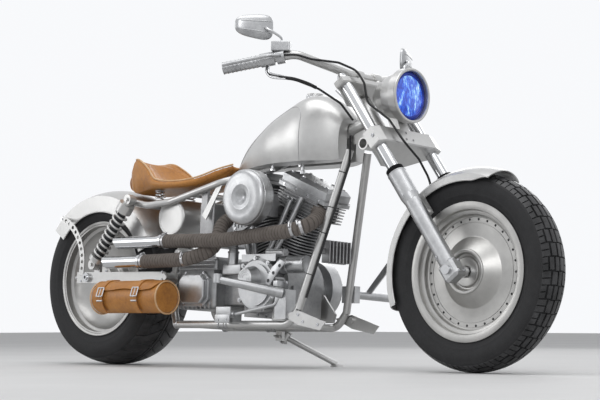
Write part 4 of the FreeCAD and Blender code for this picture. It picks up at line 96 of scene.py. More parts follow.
@dataclass(frozen=True)
class Stance:
    """The lean and the move from the upright bike to the parked one."""

    lean_deg: float = 3.0
    shift_mm: Point = (-882.0, -53.255, 0.3356)
    wheel_radius: float = 327.5
    wheelbase: float = 1764.0
    rake_deg: float = 37.0

    def place(self) -> Matrix:
        """Return the matrix from upright millimetres to parked metres.

        Returns:
            The matrix.
        """
        lean = Matrix.Rotation(math.radians(-self.lean_deg), 4, "X")
        scale = Matrix.Scale(M_PER_MM, 4)
        return scale @ Matrix.Translation(self.shift_mm) @ lean

    def at(self, x: float, y: float, z: float) -> Vector:
        """Return the parked place in metres of an upright point in millimetres."""
        return self.place() @ Vector((x, y, z))

    def fork(self) -> Matrix:
        """Return the matrix from fork coordinates to the upright bike, both in millimetres."""
        turn = Matrix.Rotation(math.radians(-self.rake_deg), 4, "Y")
        return Matrix.Translation((self.wheelbase, 0, self.wheel_radius)) @ turn

    def wheel(self, centre_x: float) -> Matrix:
        """Return the matrix that puts a wheel modelled about Z, facing -Z, on its axle."""
        turn = Matrix.Rotation(math.radians(-90), 4, "X")
        return Matrix.Translation((centre_x, 0, self.wheel_radius)) @ turn


STANCE = Stance()


# Finishes

class Nodes:
    """A node tree under construction."""

    def __init__(self, tree: bpy.types.NodeTree) -> None:
        """Start with an empty tree."""
        self.tree = tree
        self.tree.nodes.clear()

    def node(self, kind: str, **settings: object) -> bpy.types.Node:
        """Add a node and set its own properties.

        Args:
            kind: Blender's name of the node type.
            settings: Properties to set on the node.

        Returns:
            The node.
        """
        made = self.tree.nodes.new(kind)
        for key, value in settings.items():
            setattr(made, key, value)
        return made

    def feed(self, node: bpy.types.Node, **values: object) -> bpy.types.Node:
        """Set or link a node's inputs by name, with underscores for spaces.

        Args:
            node: The node whose inputs are set.
            values: A number, colour or output socket for each input.

        Returns:
            The node.
        """
        for key, value in values.items():
            socket = node.inputs[key.replace("_", " ")]
            if isinstance(value, Socket):
                self.tree.links.new(value, socket)
            else:
                socket.default_value = value
        return node

    def span(self, value: Socket, low: float, high: float,
             start: float = 0.0, end: float = 1.0) -> Socket:
        """Return a value moved from one range to another.

        Args:
            value: The value.
            low: The result at the start of its range.
            high: The result at the end of its range.
            start: Where its range starts.
            end: Where its range ends.

        Returns:
            The output socket.
        """
        node = self.node("ShaderNodeMapRange")
        self.feed(node, Value=value, To_Min=low, To_Max=high, From_Min=start, From_Max=end)
        return node.outputs[0]

    def maths(self, operation: str, *values: object) -> Socket:
        """Return the result of a sum on numbers or sockets.

        Args:
            operation: Blender's name of the operation.
            values: The terms.

        Returns:
            The output socket.
        """
        node = self.node("ShaderNodeMath", operation=operation)
        for socket, value in zip(node.inputs, values):
            if isinstance(value, Socket):
                self.tree.links.new(value, socket)
            else:
                socket.default_value = value
        return node.outputs[0]


class Shader(Nodes):
    """A material under construction, with short words for the nodes it needs."""

    def __init__(self, name: str) -> None:
        """Start an empty node tree with one surface shader.

        Args:
            name: The material's name.
        """
        self.material = bpy.data.materials.new(name)
        self.material.use_nodes = True
        super().__init__(self.material.node_tree)
        self.surface = self.node("ShaderNodeBsdfPrincipled")
        self.feed(self.node("ShaderNodeOutputMaterial"), Surface=self.surface.outputs[0])
        self._bump: Optional[Socket] = None

    def object_place(self) -> Socket:
        """Return the object coordinates."""
        return self.node("ShaderNodeTexCoord").outputs["Object"]

    def uv_place(self) -> Socket:
        """Return the UV coordinates."""
        return self.node("ShaderNodeTexCoord").outputs["UV"]

    def stretched(self, place: Socket, scale: Point) -> Socket:
        """Return a place scaled by axis.

        Args:
            place: The coordinates.
            scale: The factors along X, Y and Z.

        Returns:
            The output socket.
        """
        node = self.node("ShaderNodeMapping")
        self.feed(node, Vector=place, Scale=scale)
        return node.outputs[0]

    def noise(self, scale: float, detail: float = 3.0, rough: float = 0.55,
              place: Optional[Socket] = None) -> Socket:
        """Return a noise value.

        Args:
            scale: Cells per metre.
            detail: Octaves.
            rough: Weight of the finer octaves.
            place: Coordinates, or None for the object's own.

        Returns:
            The output socket.
        """
        node = self.node("ShaderNodeTexNoise")
        self.feed(node, Scale=scale, Detail=detail, Roughness=rough,
                  Vector=place or self.object_place())
        return node.outputs[0]

    def cells(self, scale: float, feature: str = "F1",
              place: Optional[Socket] = None) -> Socket:
        """Return a cell distance.

        Args:
            scale: Cells per metre.
            feature: Which distance is measured.
            place: Coordinates, or None for the object's own.

        Returns:
            The output socket.
        """
        node = self.node("ShaderNodeTexVoronoi", feature=feature)
        self.feed(node, Scale=scale, Vector=place or self.object_place())
        return node.outputs["Distance"]

    def waves(self, scale: float, place: Socket, axis: str = "X",
              distortion: float = 0.0) -> Socket:
        """Return a sine band pattern.

        Args:
            scale: Bands per unit of the coordinates, about a sixth of the real count.
            place: Coordinates.
            axis: The axis that the bands follow.
            distortion: How much noise bends the bands.

        Returns:
            The output socket.
        """
        node = self.node("ShaderNodeTexWave", bands_direction=axis)
        self.feed(node, Scale=scale, Vector=place, Distortion=distortion)
        return node.outputs["Fac"]

    def ramp(self, value: Socket,
             stops: Sequence[tuple[float, Colour]]) -> Socket:
        """Return a colour that follows a value.

        Args:
            value: The value, from 0 to 1.
            stops: Positions and their colours.

        Returns:
            The output socket.
        """
        node = self.node("ShaderNodeValToRGB")
        band = node.color_ramp
        while len(band.elements) < len(stops):
            band.elements.new(0.5)
        for element, (position, colour) in zip(band.elements, stops):
            element.position = position
            element.color = (*colour, 1.0)
        self.tree.links.new(value, node.inputs[0])
        return node.outputs[0]

    def relief(self, height: Socket, depth: float, strength: float = 1.0) -> None:
        """Add a bump on top of those already there.

        Args:
            height: The height pattern.
            depth: Its depth in metres.
            strength: How much of it shows.
        """
        node = self.node("ShaderNodeBump")
        self.feed(node, Height=height, Distance=depth, Strength=strength)
        if self._bump is not None:
            self.tree.links.new(self._bump, node.inputs["Normal"])
        self._bump = node.outputs[0]
        self.tree.links.new(self._bump, self.surface.inputs["Normal"])

    def blend(self, first: Socket, share: float, second: Socket, rest: float) -> Socket:
        """Return the sum of two values, each by its own weight."""
        return self.maths("MULTIPLY_ADD", first, share, self.maths("MULTIPLY", second, rest))


@dataclass(frozen=True)
class Metal:
    """A metal or metallic paint with grain and smudges."""

    name: str
    slot: str
    colour: Colour
    shade: Colour
    roughness: float
    metallic: float = 1.0
    vary: float = 0.06
    grain_per_m: float = 900.0
    grain_depth: float = 0.00004
    cloud_per_m: float = 9.0
    coat: float = 0.0

    def build(self) -> bpy.types.Material:
        """Return the material.

        Returns:
            The material.
        """
        look = Shader(self.name)
        cloud = look.noise(self.cloud_per_m, 5.0, 0.6)
        smear = look.noise(self.cloud_per_m * 6, 4.0, 0.7)
        tone = look.blend(smear, 0.35, cloud, 0.65)
        base = look.ramp(tone, [(0.3, self.shade), (0.62, self.colour)])
        rough = look.span(smear, self.roughness - self.vary, self.roughness + self.vary, 0.3, 0.7)
        look.feed(look.surface, Base_Color=base, Roughness=rough, Metallic=self.metallic,
                  Coat_Weight=self.coat, Coat_Roughness=0.12)
        look.relief(look.noise(self.grain_per_m, 2.0, 0.5), self.grain_depth, 0.5)
        return look.material


@dataclass(frozen=True)
class Turned:
    """Aluminium turned on a lathe, with fine rings about an axle."""

    name: str
    slot: str
    colour: Colour
    shade: Colour
    centre: Vector
    roughness: float = 0.34
    rings_per_m: float = 520.0

    def build(self) -> bpy.types.Material:
        """Return the material.

        Returns:
            The material.
        """
        look = Shader(self.name)
        lean = look.node("ShaderNodeMapping", vector_type="TEXTURE")
        look.feed(lean, Vector=look.object_place(), Location=tuple(self.centre),
                  Rotation=(math.radians(-STANCE.lean_deg), 0.0, 0.0))
        parts = look.node("ShaderNodeSeparateXYZ")
        look.feed(parts, Vector=lean.outputs[0])
        reach = look.maths("SQRT", look.maths(
            "ADD", look.maths("MULTIPLY", parts.outputs[0], parts.outputs[0]),
            look.maths("MULTIPLY", parts.outputs[2], parts.outputs[2])))
        flat = look.node("ShaderNodeCombineXYZ")
        look.feed(flat, X=reach)
        lines = look.noise(self.rings_per_m * 2.4, 4.0, 0.75, flat.outputs[0])
        cloud = look.noise(14.0, 4.0, 0.6)
        tone = look.blend(lines, 0.5, cloud, 0.5)
        look.feed(look.surface, Metallic=0.9,
                  Base_Color=look.ramp(tone, [(0.32, self.shade), (0.6, self.colour)]),
                  Roughness=look.span(lines, self.roughness - 0.06, self.roughness + 0.1, 0.3, 0.7))
        look.relief(lines, 0.00005, 0.55)
        look.relief(look.noise(1400.0, 2.0), 0.00002, 0.4)
        return look.material


@dataclass(frozen=True)
class Rubber:
    """Matt black rubber with dust in its grain."""

    name: str
    slot: str
    colour: Colour
    dust: Colour
    roughness: float = 0.72
    grain_per_m: float = 650.0
    grain_depth: float = 0.00009

    def build(self) -> bpy.types.Material:
        """Return the material.

        Returns:
            The material.
        """
        look = Shader(self.name)
        patch = look.noise(22.0, 6.0, 0.65)
        speck = look.noise(self.grain_per_m, 3.0, 0.6)
        tone = look.blend(speck, 0.4, patch, 0.6)
        look.feed(look.surface, Base_Color=look.ramp(tone, [(0.4, self.colour), (0.75, self.dust)]),
                  Roughness=look.span(patch, self.roughness - 0.12, self.roughness + 0.1, 0.3, 0.7),
                  Specular_IOR_Level=0.35)
        look.relief(speck, self.grain_depth, 0.6)
        return look.material


@dataclass(frozen=True)
class Leather:
    """Saddle leather with pebbled grain, creases and darker handling marks."""

    name: str
    slot: str
    colour: Colour
    shade: Colour
    edge: Colour
    roughness: float = 0.46
    pebble_per_m: float = 520.0

    def build(self) -> bpy.types.Material:
        """Return the material.

        Returns:
            The material.
        """
        look = Shader(self.name)
        patch = look.noise(13.0, 6.0, 0.62)
        mottle = look.noise(90.0, 5.0, 0.65)
        tone = look.blend(mottle, 0.45, patch, 0.55)
        base = look.ramp(tone, [(0.3, self.shade), (0.5, self.colour), (0.72, self.edge)])
        pebble = look.cells(self.pebble_per_m, "SMOOTH_F1")
        crease = look.maths("ABSOLUTE", look.maths("SUBTRACT", look.noise(150.0, 4.0, 0.6), 0.5))
        look.feed(look.surface, Base_Color=base, Coat_Weight=0.12, Coat_Roughness=0.3,
                  Roughness=look.span(mottle, self.roughness - 0.08, self.roughness + 0.12, 0.3, 0.7))
        look.relief(pebble, 0.0003, 0.35)
        look.relief(crease, 0.0005, 0.3)
        return look.material


@dataclass(frozen=True)
class Wrap:
    """Woven heat wrap, wound round a pipe, with painted shade under the edge of each lap. UV: turns round the
    pipe, metres along it.
    """

    name: str
    slot: str
    colour: Colour
    shade: Colour
    thread_per_m: float = 420.0
    band_m: float = 0.014

    def build(self) -> bpy.types.Material:
        """Return the material.

        Returns:
            The material.
        """
        look = Shader(self.name)
        place = look.stretched(look.uv_place(), (0.16, 1.0, 1.0))
        warp = look.waves(self.thread_per_m / 3, place, "X", 0.6)
        weft = look.waves(self.thread_per_m / 3, place, "Y", 0.8)
        weave = look.maths("MULTIPLY", warp, weft)
        patch = look.noise(26.0, 5.0, 0.65)
        streak = look.noise(180.0, 4.0, 0.7, look.stretched(look.uv_place(), (0.05, 2.0, 1.0)))
        parts = look.node("ShaderNodeSeparateXYZ")
        look.feed(parts, Vector=look.uv_place())
        wound = look.maths("ADD", look.maths("DIVIDE", parts.outputs[1], self.band_m), parts.outputs[0])
        # Painted shade: each lap is darkened just under the raised edge of the next lap.
        painted_lap_shade = look.span(look.maths("FRACT", wound), -0.30, 0.04, 0.0, 0.35)
        tone = look.maths("ADD", painted_lap_shade, look.blend(streak, 0.5, patch, 0.5))
        look.feed(look.surface, Roughness=0.93, Specular_IOR_Level=0.15,
                  Base_Color=look.ramp(tone, [(0.24, self.shade), (0.66, self.colour)]))
        look.relief(weave, 0.0008, 0.7)
        look.relief(streak, 0.0008, 0.5)
        return look.material


@dataclass(frozen=True)
class PaintedGlowLens:
    """A blue lamp lens with prisms; the reflector behind it is painted in as reflection, by bright colours
    and emission.
    """

    name: str
    slot: str
    deep: Colour
    bright: Colour
    middle: Colour = (0.03, 0.13, 0.75)
    pale: Colour = (0.85, 0.94, 1.0)
    prisms_per_m: float = 110.0
    painted_glow: float = 0.5

    def build(self) -> bpy.types.Material:
        """Return the material.

        Returns:
            The material.
        """
        look = Shader(self.name)
        place = look.stretched(look.object_place(), (1.0, 1.6, 0.6))
        cut = look.cells(self.prisms_per_m, "F1", place)
        facet = look.noise(24.0, 5.0, 0.75, place)
        tone = look.blend(cut, 0.12, facet, 0.9)
        # The deep and middle stops are the glass's own blue; the bright and pale stops and the emission are
        # painted reflection of the reflector behind the lens.
        colour = look.ramp(tone, [(0.42, self.deep), (0.53, self.middle), (0.60, self.bright),
                                  (0.68, self.pale)])
        look.feed(look.surface, Base_Color=colour, Roughness=look.span(facet, 0.05, 0.14),
                  Emission_Color=colour, Emission_Strength=self.painted_glow, Coat_Weight=0.8, Coat_Roughness=0.03)
        look.relief(cut, 0.0012, 0.6)
        return look.material


@dataclass(frozen=True)
class TintedGlass:
    """Clear tinted glass."""

    name: str
    slot: str
    colour: Colour
    roughness: float = 0.04
    transmission: float = 0.75

    def build(self) -> bpy.types.Material:
        """Return the material.

        Returns:
            The material.
        """
        look = Shader(self.name)
        streak = look.noise(60.0, 3.0)
        look.feed(look.surface, Roughness=look.span(streak, self.roughness, self.roughness + 0.05),
                  Base_Color=(*self.colour, 1.0), IOR=1.46, Transmission_Weight=self.transmission)
        return look.material


class Finishes:
    """Every finish on the bike, built once and shared."""

    def __init__(self) -> None:
        """Build the materials."""
        front = STANCE.at(STANCE.wheelbase, 0, STANCE.wheel_radius)
        rear = STANCE.at(0, 0, STANCE.wheel_radius)
        self.made: dict[str, bpy.types.Material] = {}
        self.slots: dict[str, str] = {}
        for finish in (
            Metal("satin_silver", "silver_paint", (0.56, 0.558, 0.55), (0.47, 0.468, 0.462), 0.34,
                  0.75, 0.05, 1600.0, 0.00002, 7.0, 0.25),
            Metal("cast_silver", "cast_silver", (0.52, 0.525, 0.53), (0.36, 0.365, 0.375), 0.36,
                  0.92, 0.08, 700.0, 0.00007, 16.0),
            Metal("dull_cast", "dark_fins", (0.42, 0.42, 0.425), (0.27, 0.27, 0.275), 0.46,
                  0.9, 0.08, 500.0, 0.0001, 22.0),
            Metal("chrome", "polished_chrome", (0.60, 0.605, 0.615), (0.52, 0.525, 0.535), 0.10,
                  1.0, 0.03, 300.0, 0.000004, 12.0),
            Metal("brushed_steel", "brushed_disc", (0.56, 0.56, 0.57), (0.42, 0.42, 0.43), 0.3,
                  1.0, 0.08, 900.0, 0.00004, 20.0),
            # Painted shade: a darker copy of cast silver for the gearbox and crankcase.
            Metal("cast_silver_painted_shade", "cast_silver", (0.36, 0.362, 0.365), (0.20, 0.202, 0.206), 0.42,
                  0.92, 0.08, 600.0, 0.00009, 20.0),
            Metal("black_case", "dark_fins", (0.055, 0.056, 0.06), (0.03, 0.031, 0.034), 0.5,
                  0.3, 0.08, 800.0, 0.00005, 18.0),
            Turned("turned_front", "satin_wheel", (0.50, 0.495, 0.48), (0.36, 0.355, 0.345), front),
            Turned("turned_rear", "satin_wheel", (0.46, 0.455, 0.445), (0.32, 0.315, 0.305), rear),
            Rubber("tyre_black", "tyre_rubber", (0.012, 0.012, 0.013), (0.045, 0.045, 0.047)),
            Rubber("tread_black", "tyre_rubber", (0.016, 0.016, 0.017), (0.10, 0.10, 0.104), 0.38),
            Rubber("hose_black", "black_rubber", (0.012, 0.012, 0.013), (0.03, 0.03, 0.032), 0.5),
            Leather("saddle_tan", "tan_leather", (0.46, 0.190, 0.034), (0.29, 0.105, 0.018),
                    (0.58, 0.27, 0.060)),
            # Welt tan: lighter than the saddle, partly the welt's own colour and partly painted highlight.
            Leather("welt_tan_and_painted_highlight", "tan_leather", (0.66, 0.42, 0.22), (0.50, 0.28, 0.12),
                    (0.80, 0.58, 0.36), 0.5, 900.0),
            Wrap("heat_wrap", "heat_wrap", (0.215, 0.190, 0.172), (0.095, 0.083, 0.075)),
            TintedGlass("blue_glass", "blue_lens", (0.16, 0.36, 0.95)),
            # Painted reflection: the lens glows with the reflector behind it.
            PaintedGlowLens("painted_glow_lens", "blue_lens", (0.012, 0.045, 0.42), (0.30, 0.62, 1.0)),
            Metal("blue_rim", "blue_lens", (0.010, 0.035, 0.36), (0.006, 0.02, 0.22), 0.25,
                  0.4, 0.05, 600.0, 0.00002, 20.0),
            TintedGlass("mirror_glass", "polished_chrome", (0.9, 0.9, 0.92), 0.02, 0.0),
        ):
            self.made[finish.name] = finish.build()
            self.slots[finish.name] = finish.slot

    def put(self, obj: Object, name: str) -> None:
        """Give an object one finish."""
        obj.data.materials.clear()
        obj.data.materials.append(self.made[name])


PLAIN_FINISH = "satin_silver"
NODE_FINISH: dict[str, str] = {node: finish for finish, nodes in {
    "tyre_black": "front_tyre rear_tyre",
    "turned_front": "front_wheel_disc",
    "turned_rear": "rear_wheel_disc",
    "brushed_steel": "rear_pulley front_brake_disc",
    "hose_black": "dust_seals drive_belt cables wiring",
    "chrome": "fork_tubes exhaust_tips front_axle rear_axle",
    "blue_glass": "headlamp_lens",
    "dull_cast": "front_cylinder rear_cylinder regulator carburettor seat_springs battery_box",
    "saddle_tan": "seat tool_bag",
    "heat_wrap": "exhaust_wraps",
    # The gearbox and crankcase take the darker cast silver, which is painted shade.
    "cast_silver_painted_shade": "gearbox crankcase",
    "cast_silver": "pushrod_tubes oil_filter front_caliper hand_controls mirrors grips foot_control_right "
                   "foot_control_left primary_cover cam_cover rocker_boxes air_cleaner fork_legs",
}.items() for node in nodes.split()}


# Making: meshes in millimetres, node trees for what repeats, and pieces that ride on a body

class Body(Enum):
    """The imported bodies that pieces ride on."""

    CHASSIS = "chassis"
    FRONT_END = "front_end"
    FRONT_WHEEL = "front_wheel"
    REAR_WHEEL = "rear_wheel"


class Shapes:
    """Plain mesh builders, all in millimetres."""

    @staticmethod
    def finish(work: bmesh.types.BMesh, name: str = "shape") -> Mesh:
        """Turn a work mesh into a kept one with outward normals.

        Args:
            work: The work mesh, which is freed.
            name: The kept mesh's name.

        Returns:
            The mesh.
        """
        bmesh.ops.remove_doubles(work, verts=work.verts, dist=MERGE_MM)
        bmesh.ops.recalc_face_normals(work, faces=work.faces)
        mesh = bpy.data.meshes.new(name)
        work.to_mesh(mesh)
        work.free()
        return mesh

    @staticmethod
    def lathe(outline: Sequence[Pair], segments: int = 128,
              closed: bool = False) -> Mesh:
        """Turn an outline of (radius, along) points about Z.

        Args:
            outline: The points, in order.
            segments: Steps round the axis.
            closed: Whether the last point joins the first.

        Returns:
            The mesh.
        """
        work = bmesh.new()
        rows = []
        turns = [TAU * i / segments for i in range(segments)]
        for radius, along in outline:
            ring = [(radius * math.cos(a), radius * math.sin(a), along) for a in turns]
            rows.append([work.verts.new(point) for point in (ring if radius >= 0.001 else ring[:1])])
        for low, high in zip(rows, rows[1:] + (rows[:1] if closed else [])):
            for i in range(segments):
                j = (i + 1) % segments
                corners = [low[i], low[j]] if len(low) > 1 else list(low)
                corners += [high[j], high[i]] if len(high) > 1 else high
                if len(corners) > 2:
                    work.faces.new(corners)
        return Shapes.finish(work, "turned")

    @staticmethod
    def loft(rings: Sequence[Sequence[Vector]]) -> Mesh:
        """Join closed rings of equal length into a skin, filled at both ends.

        Args:
            rings: The rings, in order.

        Returns:
            The mesh.
        """
        work = bmesh.new()
        rows = [[work.verts.new(point) for point in ring] for ring in rings]
        for low, high in zip(rows, rows[1:]):
            for i, first in enumerate(low):
                j = (i + 1) % len(low)
                work.faces.new((first, low[j], high[j], high[i]))
        work.faces.new(rows[0])
        work.faces.new(rows[-1])
        return Shapes.finish(work, "lofted")

    @staticmethod
    def quilt(layers: Sequence[Sequence[Sequence[Vector]]], closed: bool, name: str) -> Mesh:
        """Skin a stack of grids of points: the top, the walls round it and, if closed, the foot.

        Args:
            layers: The grids, from the top down, all with the same rows and columns.
            closed: Whether the last grid gets a face too.
            name: The mesh's name.

        Returns:
            The mesh.
        """
        work = bmesh.new()
        grids = [[[work.verts.new(point) for point in row] for row in layer] for layer in layers]
        rows, columns = len(layers[0]) - 1, len(layers[0][0]) - 1
        for grid in (grids[0], grids[-1]) if closed else grids[:1]:
            for i in range(rows):
                for j in range(columns):
                    work.faces.new((grid[i][j], grid[i + 1][j], grid[i + 1][j + 1], grid[i][j + 1]))
        rim = ([(i, 0) for i in range(rows)] + [(rows, j) for j in range(columns)]
               + [(i, columns) for i in range(rows, 0, -1)] + [(0, j) for j in range(columns, 0, -1)])
        for (i, j), (k, m) in zip(rim, rim[1:] + rim[:1]):
            for high, low in zip(grids, grids[1:]):
                work.faces.new((high[i][j], high[k][m], low[k][m], low[i][j]))
        return Shapes.finish(work, name)

    @staticmethod
    def plate(outline: Sequence[Pair], low: float, high: float,
              bevel: float = 0.0, segments: int = 2) -> Mesh:
        """Extrude an outline of (x, z) points along Y, with rounded edges.

        Args:
            outline: The points, in order.
            low: The lowest Y.
            high: The highest Y.
            bevel: The radius of the edges.
            segments: Steps in each rounded edge.

        Returns:
            The mesh.
        """
        work = bmesh.new()
        near = [work.verts.new((x, low, z)) for x, z in outline]
        far = [work.verts.new((x, high, z)) for x, z in outline]
        work.faces.new(near)
        work.faces.new(far)
        for i in range(len(near)):
            j = (i + 1) % len(near)
            work.faces.new((near[i], near[j], far[j], far[i]))
        bmesh.ops.recalc_face_normals(work, faces=work.faces)
        if bevel:
            bmesh.ops.bevel(work, geom=work.edges[:], offset=bevel, segments=segments,
                            affect="EDGES", profile=0.6, clamp_overlap=True)
        return Shapes.finish(work, "plate")

    @staticmethod
    def box(low: Point, high: Point, bevel: float = 2.0, segments: int = 2) -> Mesh:
        """Make a block with rounded edges."""
        (x0, y0, z0), (x1, y1, z1) = low, high
        return Shapes.plate([(x0, z0), (x1, z0), (x1, z1), (x0, z1)], y0, y1, bevel, segments)

    @staticmethod
    def rod(start: Vector, end: Vector, radius: float, end_radius: Optional[float] = None,
            segments: int = 24) -> Mesh:
        """Make a round bar or cone between two points, with broken edges.

        Args:
            start: The first end.
            end: The other end.
            radius: The radius at the first end.
            end_radius: The radius at the other end, or None for the same.
            segments: Steps round it.

        Returns:
            The mesh.
        """
        last = radius if end_radius is None else end_radius
        length = (end - start).length
        edge = min(BROKEN_EDGE, radius * 0.4, last * 0.4, length * 0.3)
        mesh = Shapes.lathe([(0, 0), (radius - edge, 0), (radius, edge), (last, length - edge),
                             (last - edge, length), (0, length)], segments)
        mesh.transform(Shapes.aim(start, end - start))
        return mesh

    @staticmethod
    def rods(*bars: Sequence[object]) -> Mesh:
        """Join round bars, each given by its two ends and what else rod takes."""
        return Shapes.join([Shapes.rod(Vector(start), Vector(end), *rest) for start, end, *rest in bars])

    @staticmethod
    def aim(place: Vector, axis: Vector) -> Matrix:
        """Return the matrix that moves something built up along Z to a place and axis."""
        return Matrix.Translation(place) @ axis.normalized().to_track_quat("Z", "Y").to_matrix().to_4x4()

    @staticmethod
    def join(parts: Iterable[Mesh]) -> Mesh:
        """Join meshes into one, and drop the parts.

        Args:
            parts: The meshes.

        Returns:
            The mesh.
        """
        work = bmesh.new()
        for part in parts:
            work.from_mesh(part)
            bpy.data.meshes.remove(part)
        mesh = bpy.data.meshes.new("joined")
        work.to_mesh(mesh)
        work.free()
        return mesh

    @staticmethod
    def moved(mesh: Mesh, matrix: Matrix) -> Mesh:
        """Move a mesh, and turn its faces out again if the move mirrors it.

        Args:
            mesh: The mesh.
            matrix: The move.

        Returns:
            The mesh.
        """
        mesh.transform(matrix)
        if matrix.determinant() < 0:
            mesh.flip_normals()
        return mesh

    @staticmethod
    def curve_points(points: Sequence[Vector], step: float = 4.0) -> list[Vector]:
        """Return a smooth line through the given points.

        Args:
            points: The points to pass.
            step: The rough spacing of the result.

        Returns:
            The points, in order.
        """
        ends = [points[0] * 2 - points[1], *points, points[-1] * 2 - points[-2]]
        line: list[Vector] = []
        for a, b, c, d in zip(ends, ends[1:], ends[2:], ends[3:]):
            count = max(2, int((c - b).length / step))
            for i in range(count):
                t = i / count
                line.append(0.5 * (2 * b + (c - a) * t + (2 * a - 5 * b + 4 * c - d) * t ** 2
                                   + (3 * b - a - 3 * c + d) * t ** 3))
        return line + [points[-1].copy()]


class Tree:
    """A geometry node tree under construction, with named inputs."""

    def __init__(self, name: str, **inputs: str) -> None:
        """Start a tree.

        Args:
            name: Its name.
            inputs: The kind of each input after the geometry, by name with underscores for spaces.
        """
        self.group = bpy.data.node_groups.new(name, "GeometryNodeTree")
        face = self.group.interface
        face.new_socket("Geometry", in_out="INPUT", socket_type="NodeSocketGeometry")
        self.ids: dict[str, str] = {}
        for key, kind in inputs.items():
            made = face.new_socket(key.replace("_", " "), in_out="INPUT", socket_type="NodeSocket" + kind)
            self.ids[key] = made.identifier
        face.new_socket("Geometry", in_out="OUTPUT", socket_type="NodeSocketGeometry")
        self.start = self.group.nodes.new("NodeGroupInput")
        self.end = self.group.nodes.new("NodeGroupOutput")

    def add(self, kind: str, feeds: Optional[dict[object, object]] = None,
            **settings: object) -> bpy.types.Node:
        """Add a node, set its properties and feed its inputs.

        Args:
            kind: Blender's name of the node type.
            feeds: A value, socket or tree input name for each input name or index.
            settings: Properties to set on the node.

        Returns:
            The node.
        """
        node = self.group.nodes.new(kind)
        for key, value in settings.items():
            setattr(node, key, value)
        for key, value in (feeds or {}).items():
            socket = node.inputs[key]
            if isinstance(value, str) and value in self.start.outputs:
                value = self.start.outputs[value]
            if isinstance(value, Socket):
                self.group.links.new(value, socket)
            else:
                socket.default_value = value
        return node

    def maths(self, operation: str, *values: object) -> Socket:
        """Return the result of a sum on numbers, sockets or tree inputs."""
        return self.add("ShaderNodeMath", dict(enumerate(values)), operation=operation).outputs[0]

    def read(self, name: str, kind: str = "FLOAT") -> Socket:
        """Return the value of a stored attribute."""
        return self.add("GeometryNodeInputNamedAttribute", {"Name": name}, data_type=kind).outputs[0]

    def store(self, geometry: Socket, name: str, value: Socket, kind: str = "FLOAT",
              domain: str = "POINT") -> Socket:
        """Return the geometry with a value stored on it.

        Args:
            geometry: The geometry.
            name: The attribute's name.
            value: The value.
            kind: Its data type.
            domain: What carries it.

        Returns:
            The output socket.
        """
        return self.add("GeometryNodeStoreNamedAttribute",
                        {"Geometry": geometry, "Name": name, "Value": value},
                        data_type=kind, domain=domain).outputs[0]

    def scatter(self, points: object, turn: Socket) -> Socket:
        """Return the input piece on every point.

        Args:
            points: The points.
            turn: Each one's rotation.

        Returns:
            The output socket.
        """
        piece = self.add("GeometryNodeObjectInfo", {"Object": "Piece"})
        spread = self.add("GeometryNodeInstanceOnPoints",
                          {"Points": points, "Instance": piece.outputs["Geometry"], "Rotation": turn})
        return spread.outputs[0]

    def close(self, geometry: Socket) -> None:
        """End the tree with real geometry in the given finish.

        Args:
            geometry: The geometry to end with.
        """
        real = self.add("GeometryNodeRealizeInstances", {"Geometry": geometry})
        coat = self.add("GeometryNodeSetMaterial", {"Geometry": real.outputs[0], "Material": "Finish"})
        self.group.links.new(coat.outputs[0], self.end.inputs[0])

    def grow(self, host: Object, **values: object) -> Mesh:
        """Run the tree on a host, and return the result as a plain mesh.

        Args:
            host: The object the tree works on, which is removed.
            values: A value for each input, by name with underscores for spaces.

        Returns:
            The mesh.
        """
        modifier = host.modifiers.new("grow", "NODES")
        modifier.node_group = self.group
        for key, value in values.items():
            modifier[self.ids[key]] = value
        seen = host.evaluated_get(bpy.context.evaluated_depsgraph_get())
        mesh = bpy.data.meshes.new_from_object(seen)
        host.modifiers.remove(modifier)
        bpy.data.objects.remove(host)
        return mesh


def ring_tree() -> Tree:
    """Return a tree that repeats a piece round the Z axis.

    Returns:
        The tree.
    """
    tree = Tree("repeat_round_axis", Piece="Object", Count="Int", Start="Float", Finish="Material")
    points = tree.add("GeometryNodePoints", {"Count": "Count"})
    index = tree.add("GeometryNodeInputIndex").outputs[0]
    angle = tree.maths("ADD", tree.maths("DIVIDE", tree.maths("MULTIPLY", index, TAU), "Count"), "Start")
    turn = tree.add("ShaderNodeCombineXYZ", {"Z": angle})
    tree.close(tree.scatter(points.outputs[0], turn.outputs[0]))
    return tree


def spot_tree() -> Tree:
    """Return a tree that puts a piece on each point of its host, turned to face the way stored there.

    Returns:
        The tree.
    """
    tree = Tree("piece_on_points", Piece="Object", Finish="Material")
    facing = tree.read("facing", "FLOAT_VECTOR")
    turn = tree.add("FunctionNodeAlignRotationToVector", {"Vector": facing}, axis="Z")
    tree.close(tree.scatter("Geometry", turn.outputs[0]))
    return tree


def coil_tree() -> Tree:
    """Return a tree that winds a wire into a coil about Z.

    Returns:
        The tree.
    """
    tree = Tree("wound_wire", Turns="Float", Radius="Float", Height="Float", Wire="Float",
                Finish="Material")
    spiral = tree.add("GeometryNodeCurveSpiral",
                      {"Resolution": 28, "Rotations": "Turns", "Start Radius": "Radius",
                       "End Radius": "Radius", "Height": "Height"})
    wire = tree.add("GeometryNodeCurvePrimitiveCircle", {"Resolution": 10, "Radius": "Wire"})
    solid = tree.add("GeometryNodeCurveToMesh",
                     {"Curve": spiral.outputs[0], "Profile Curve": wire.outputs[0], "Fill Caps": True})
    tree.close(solid.outputs[0])
    return tree


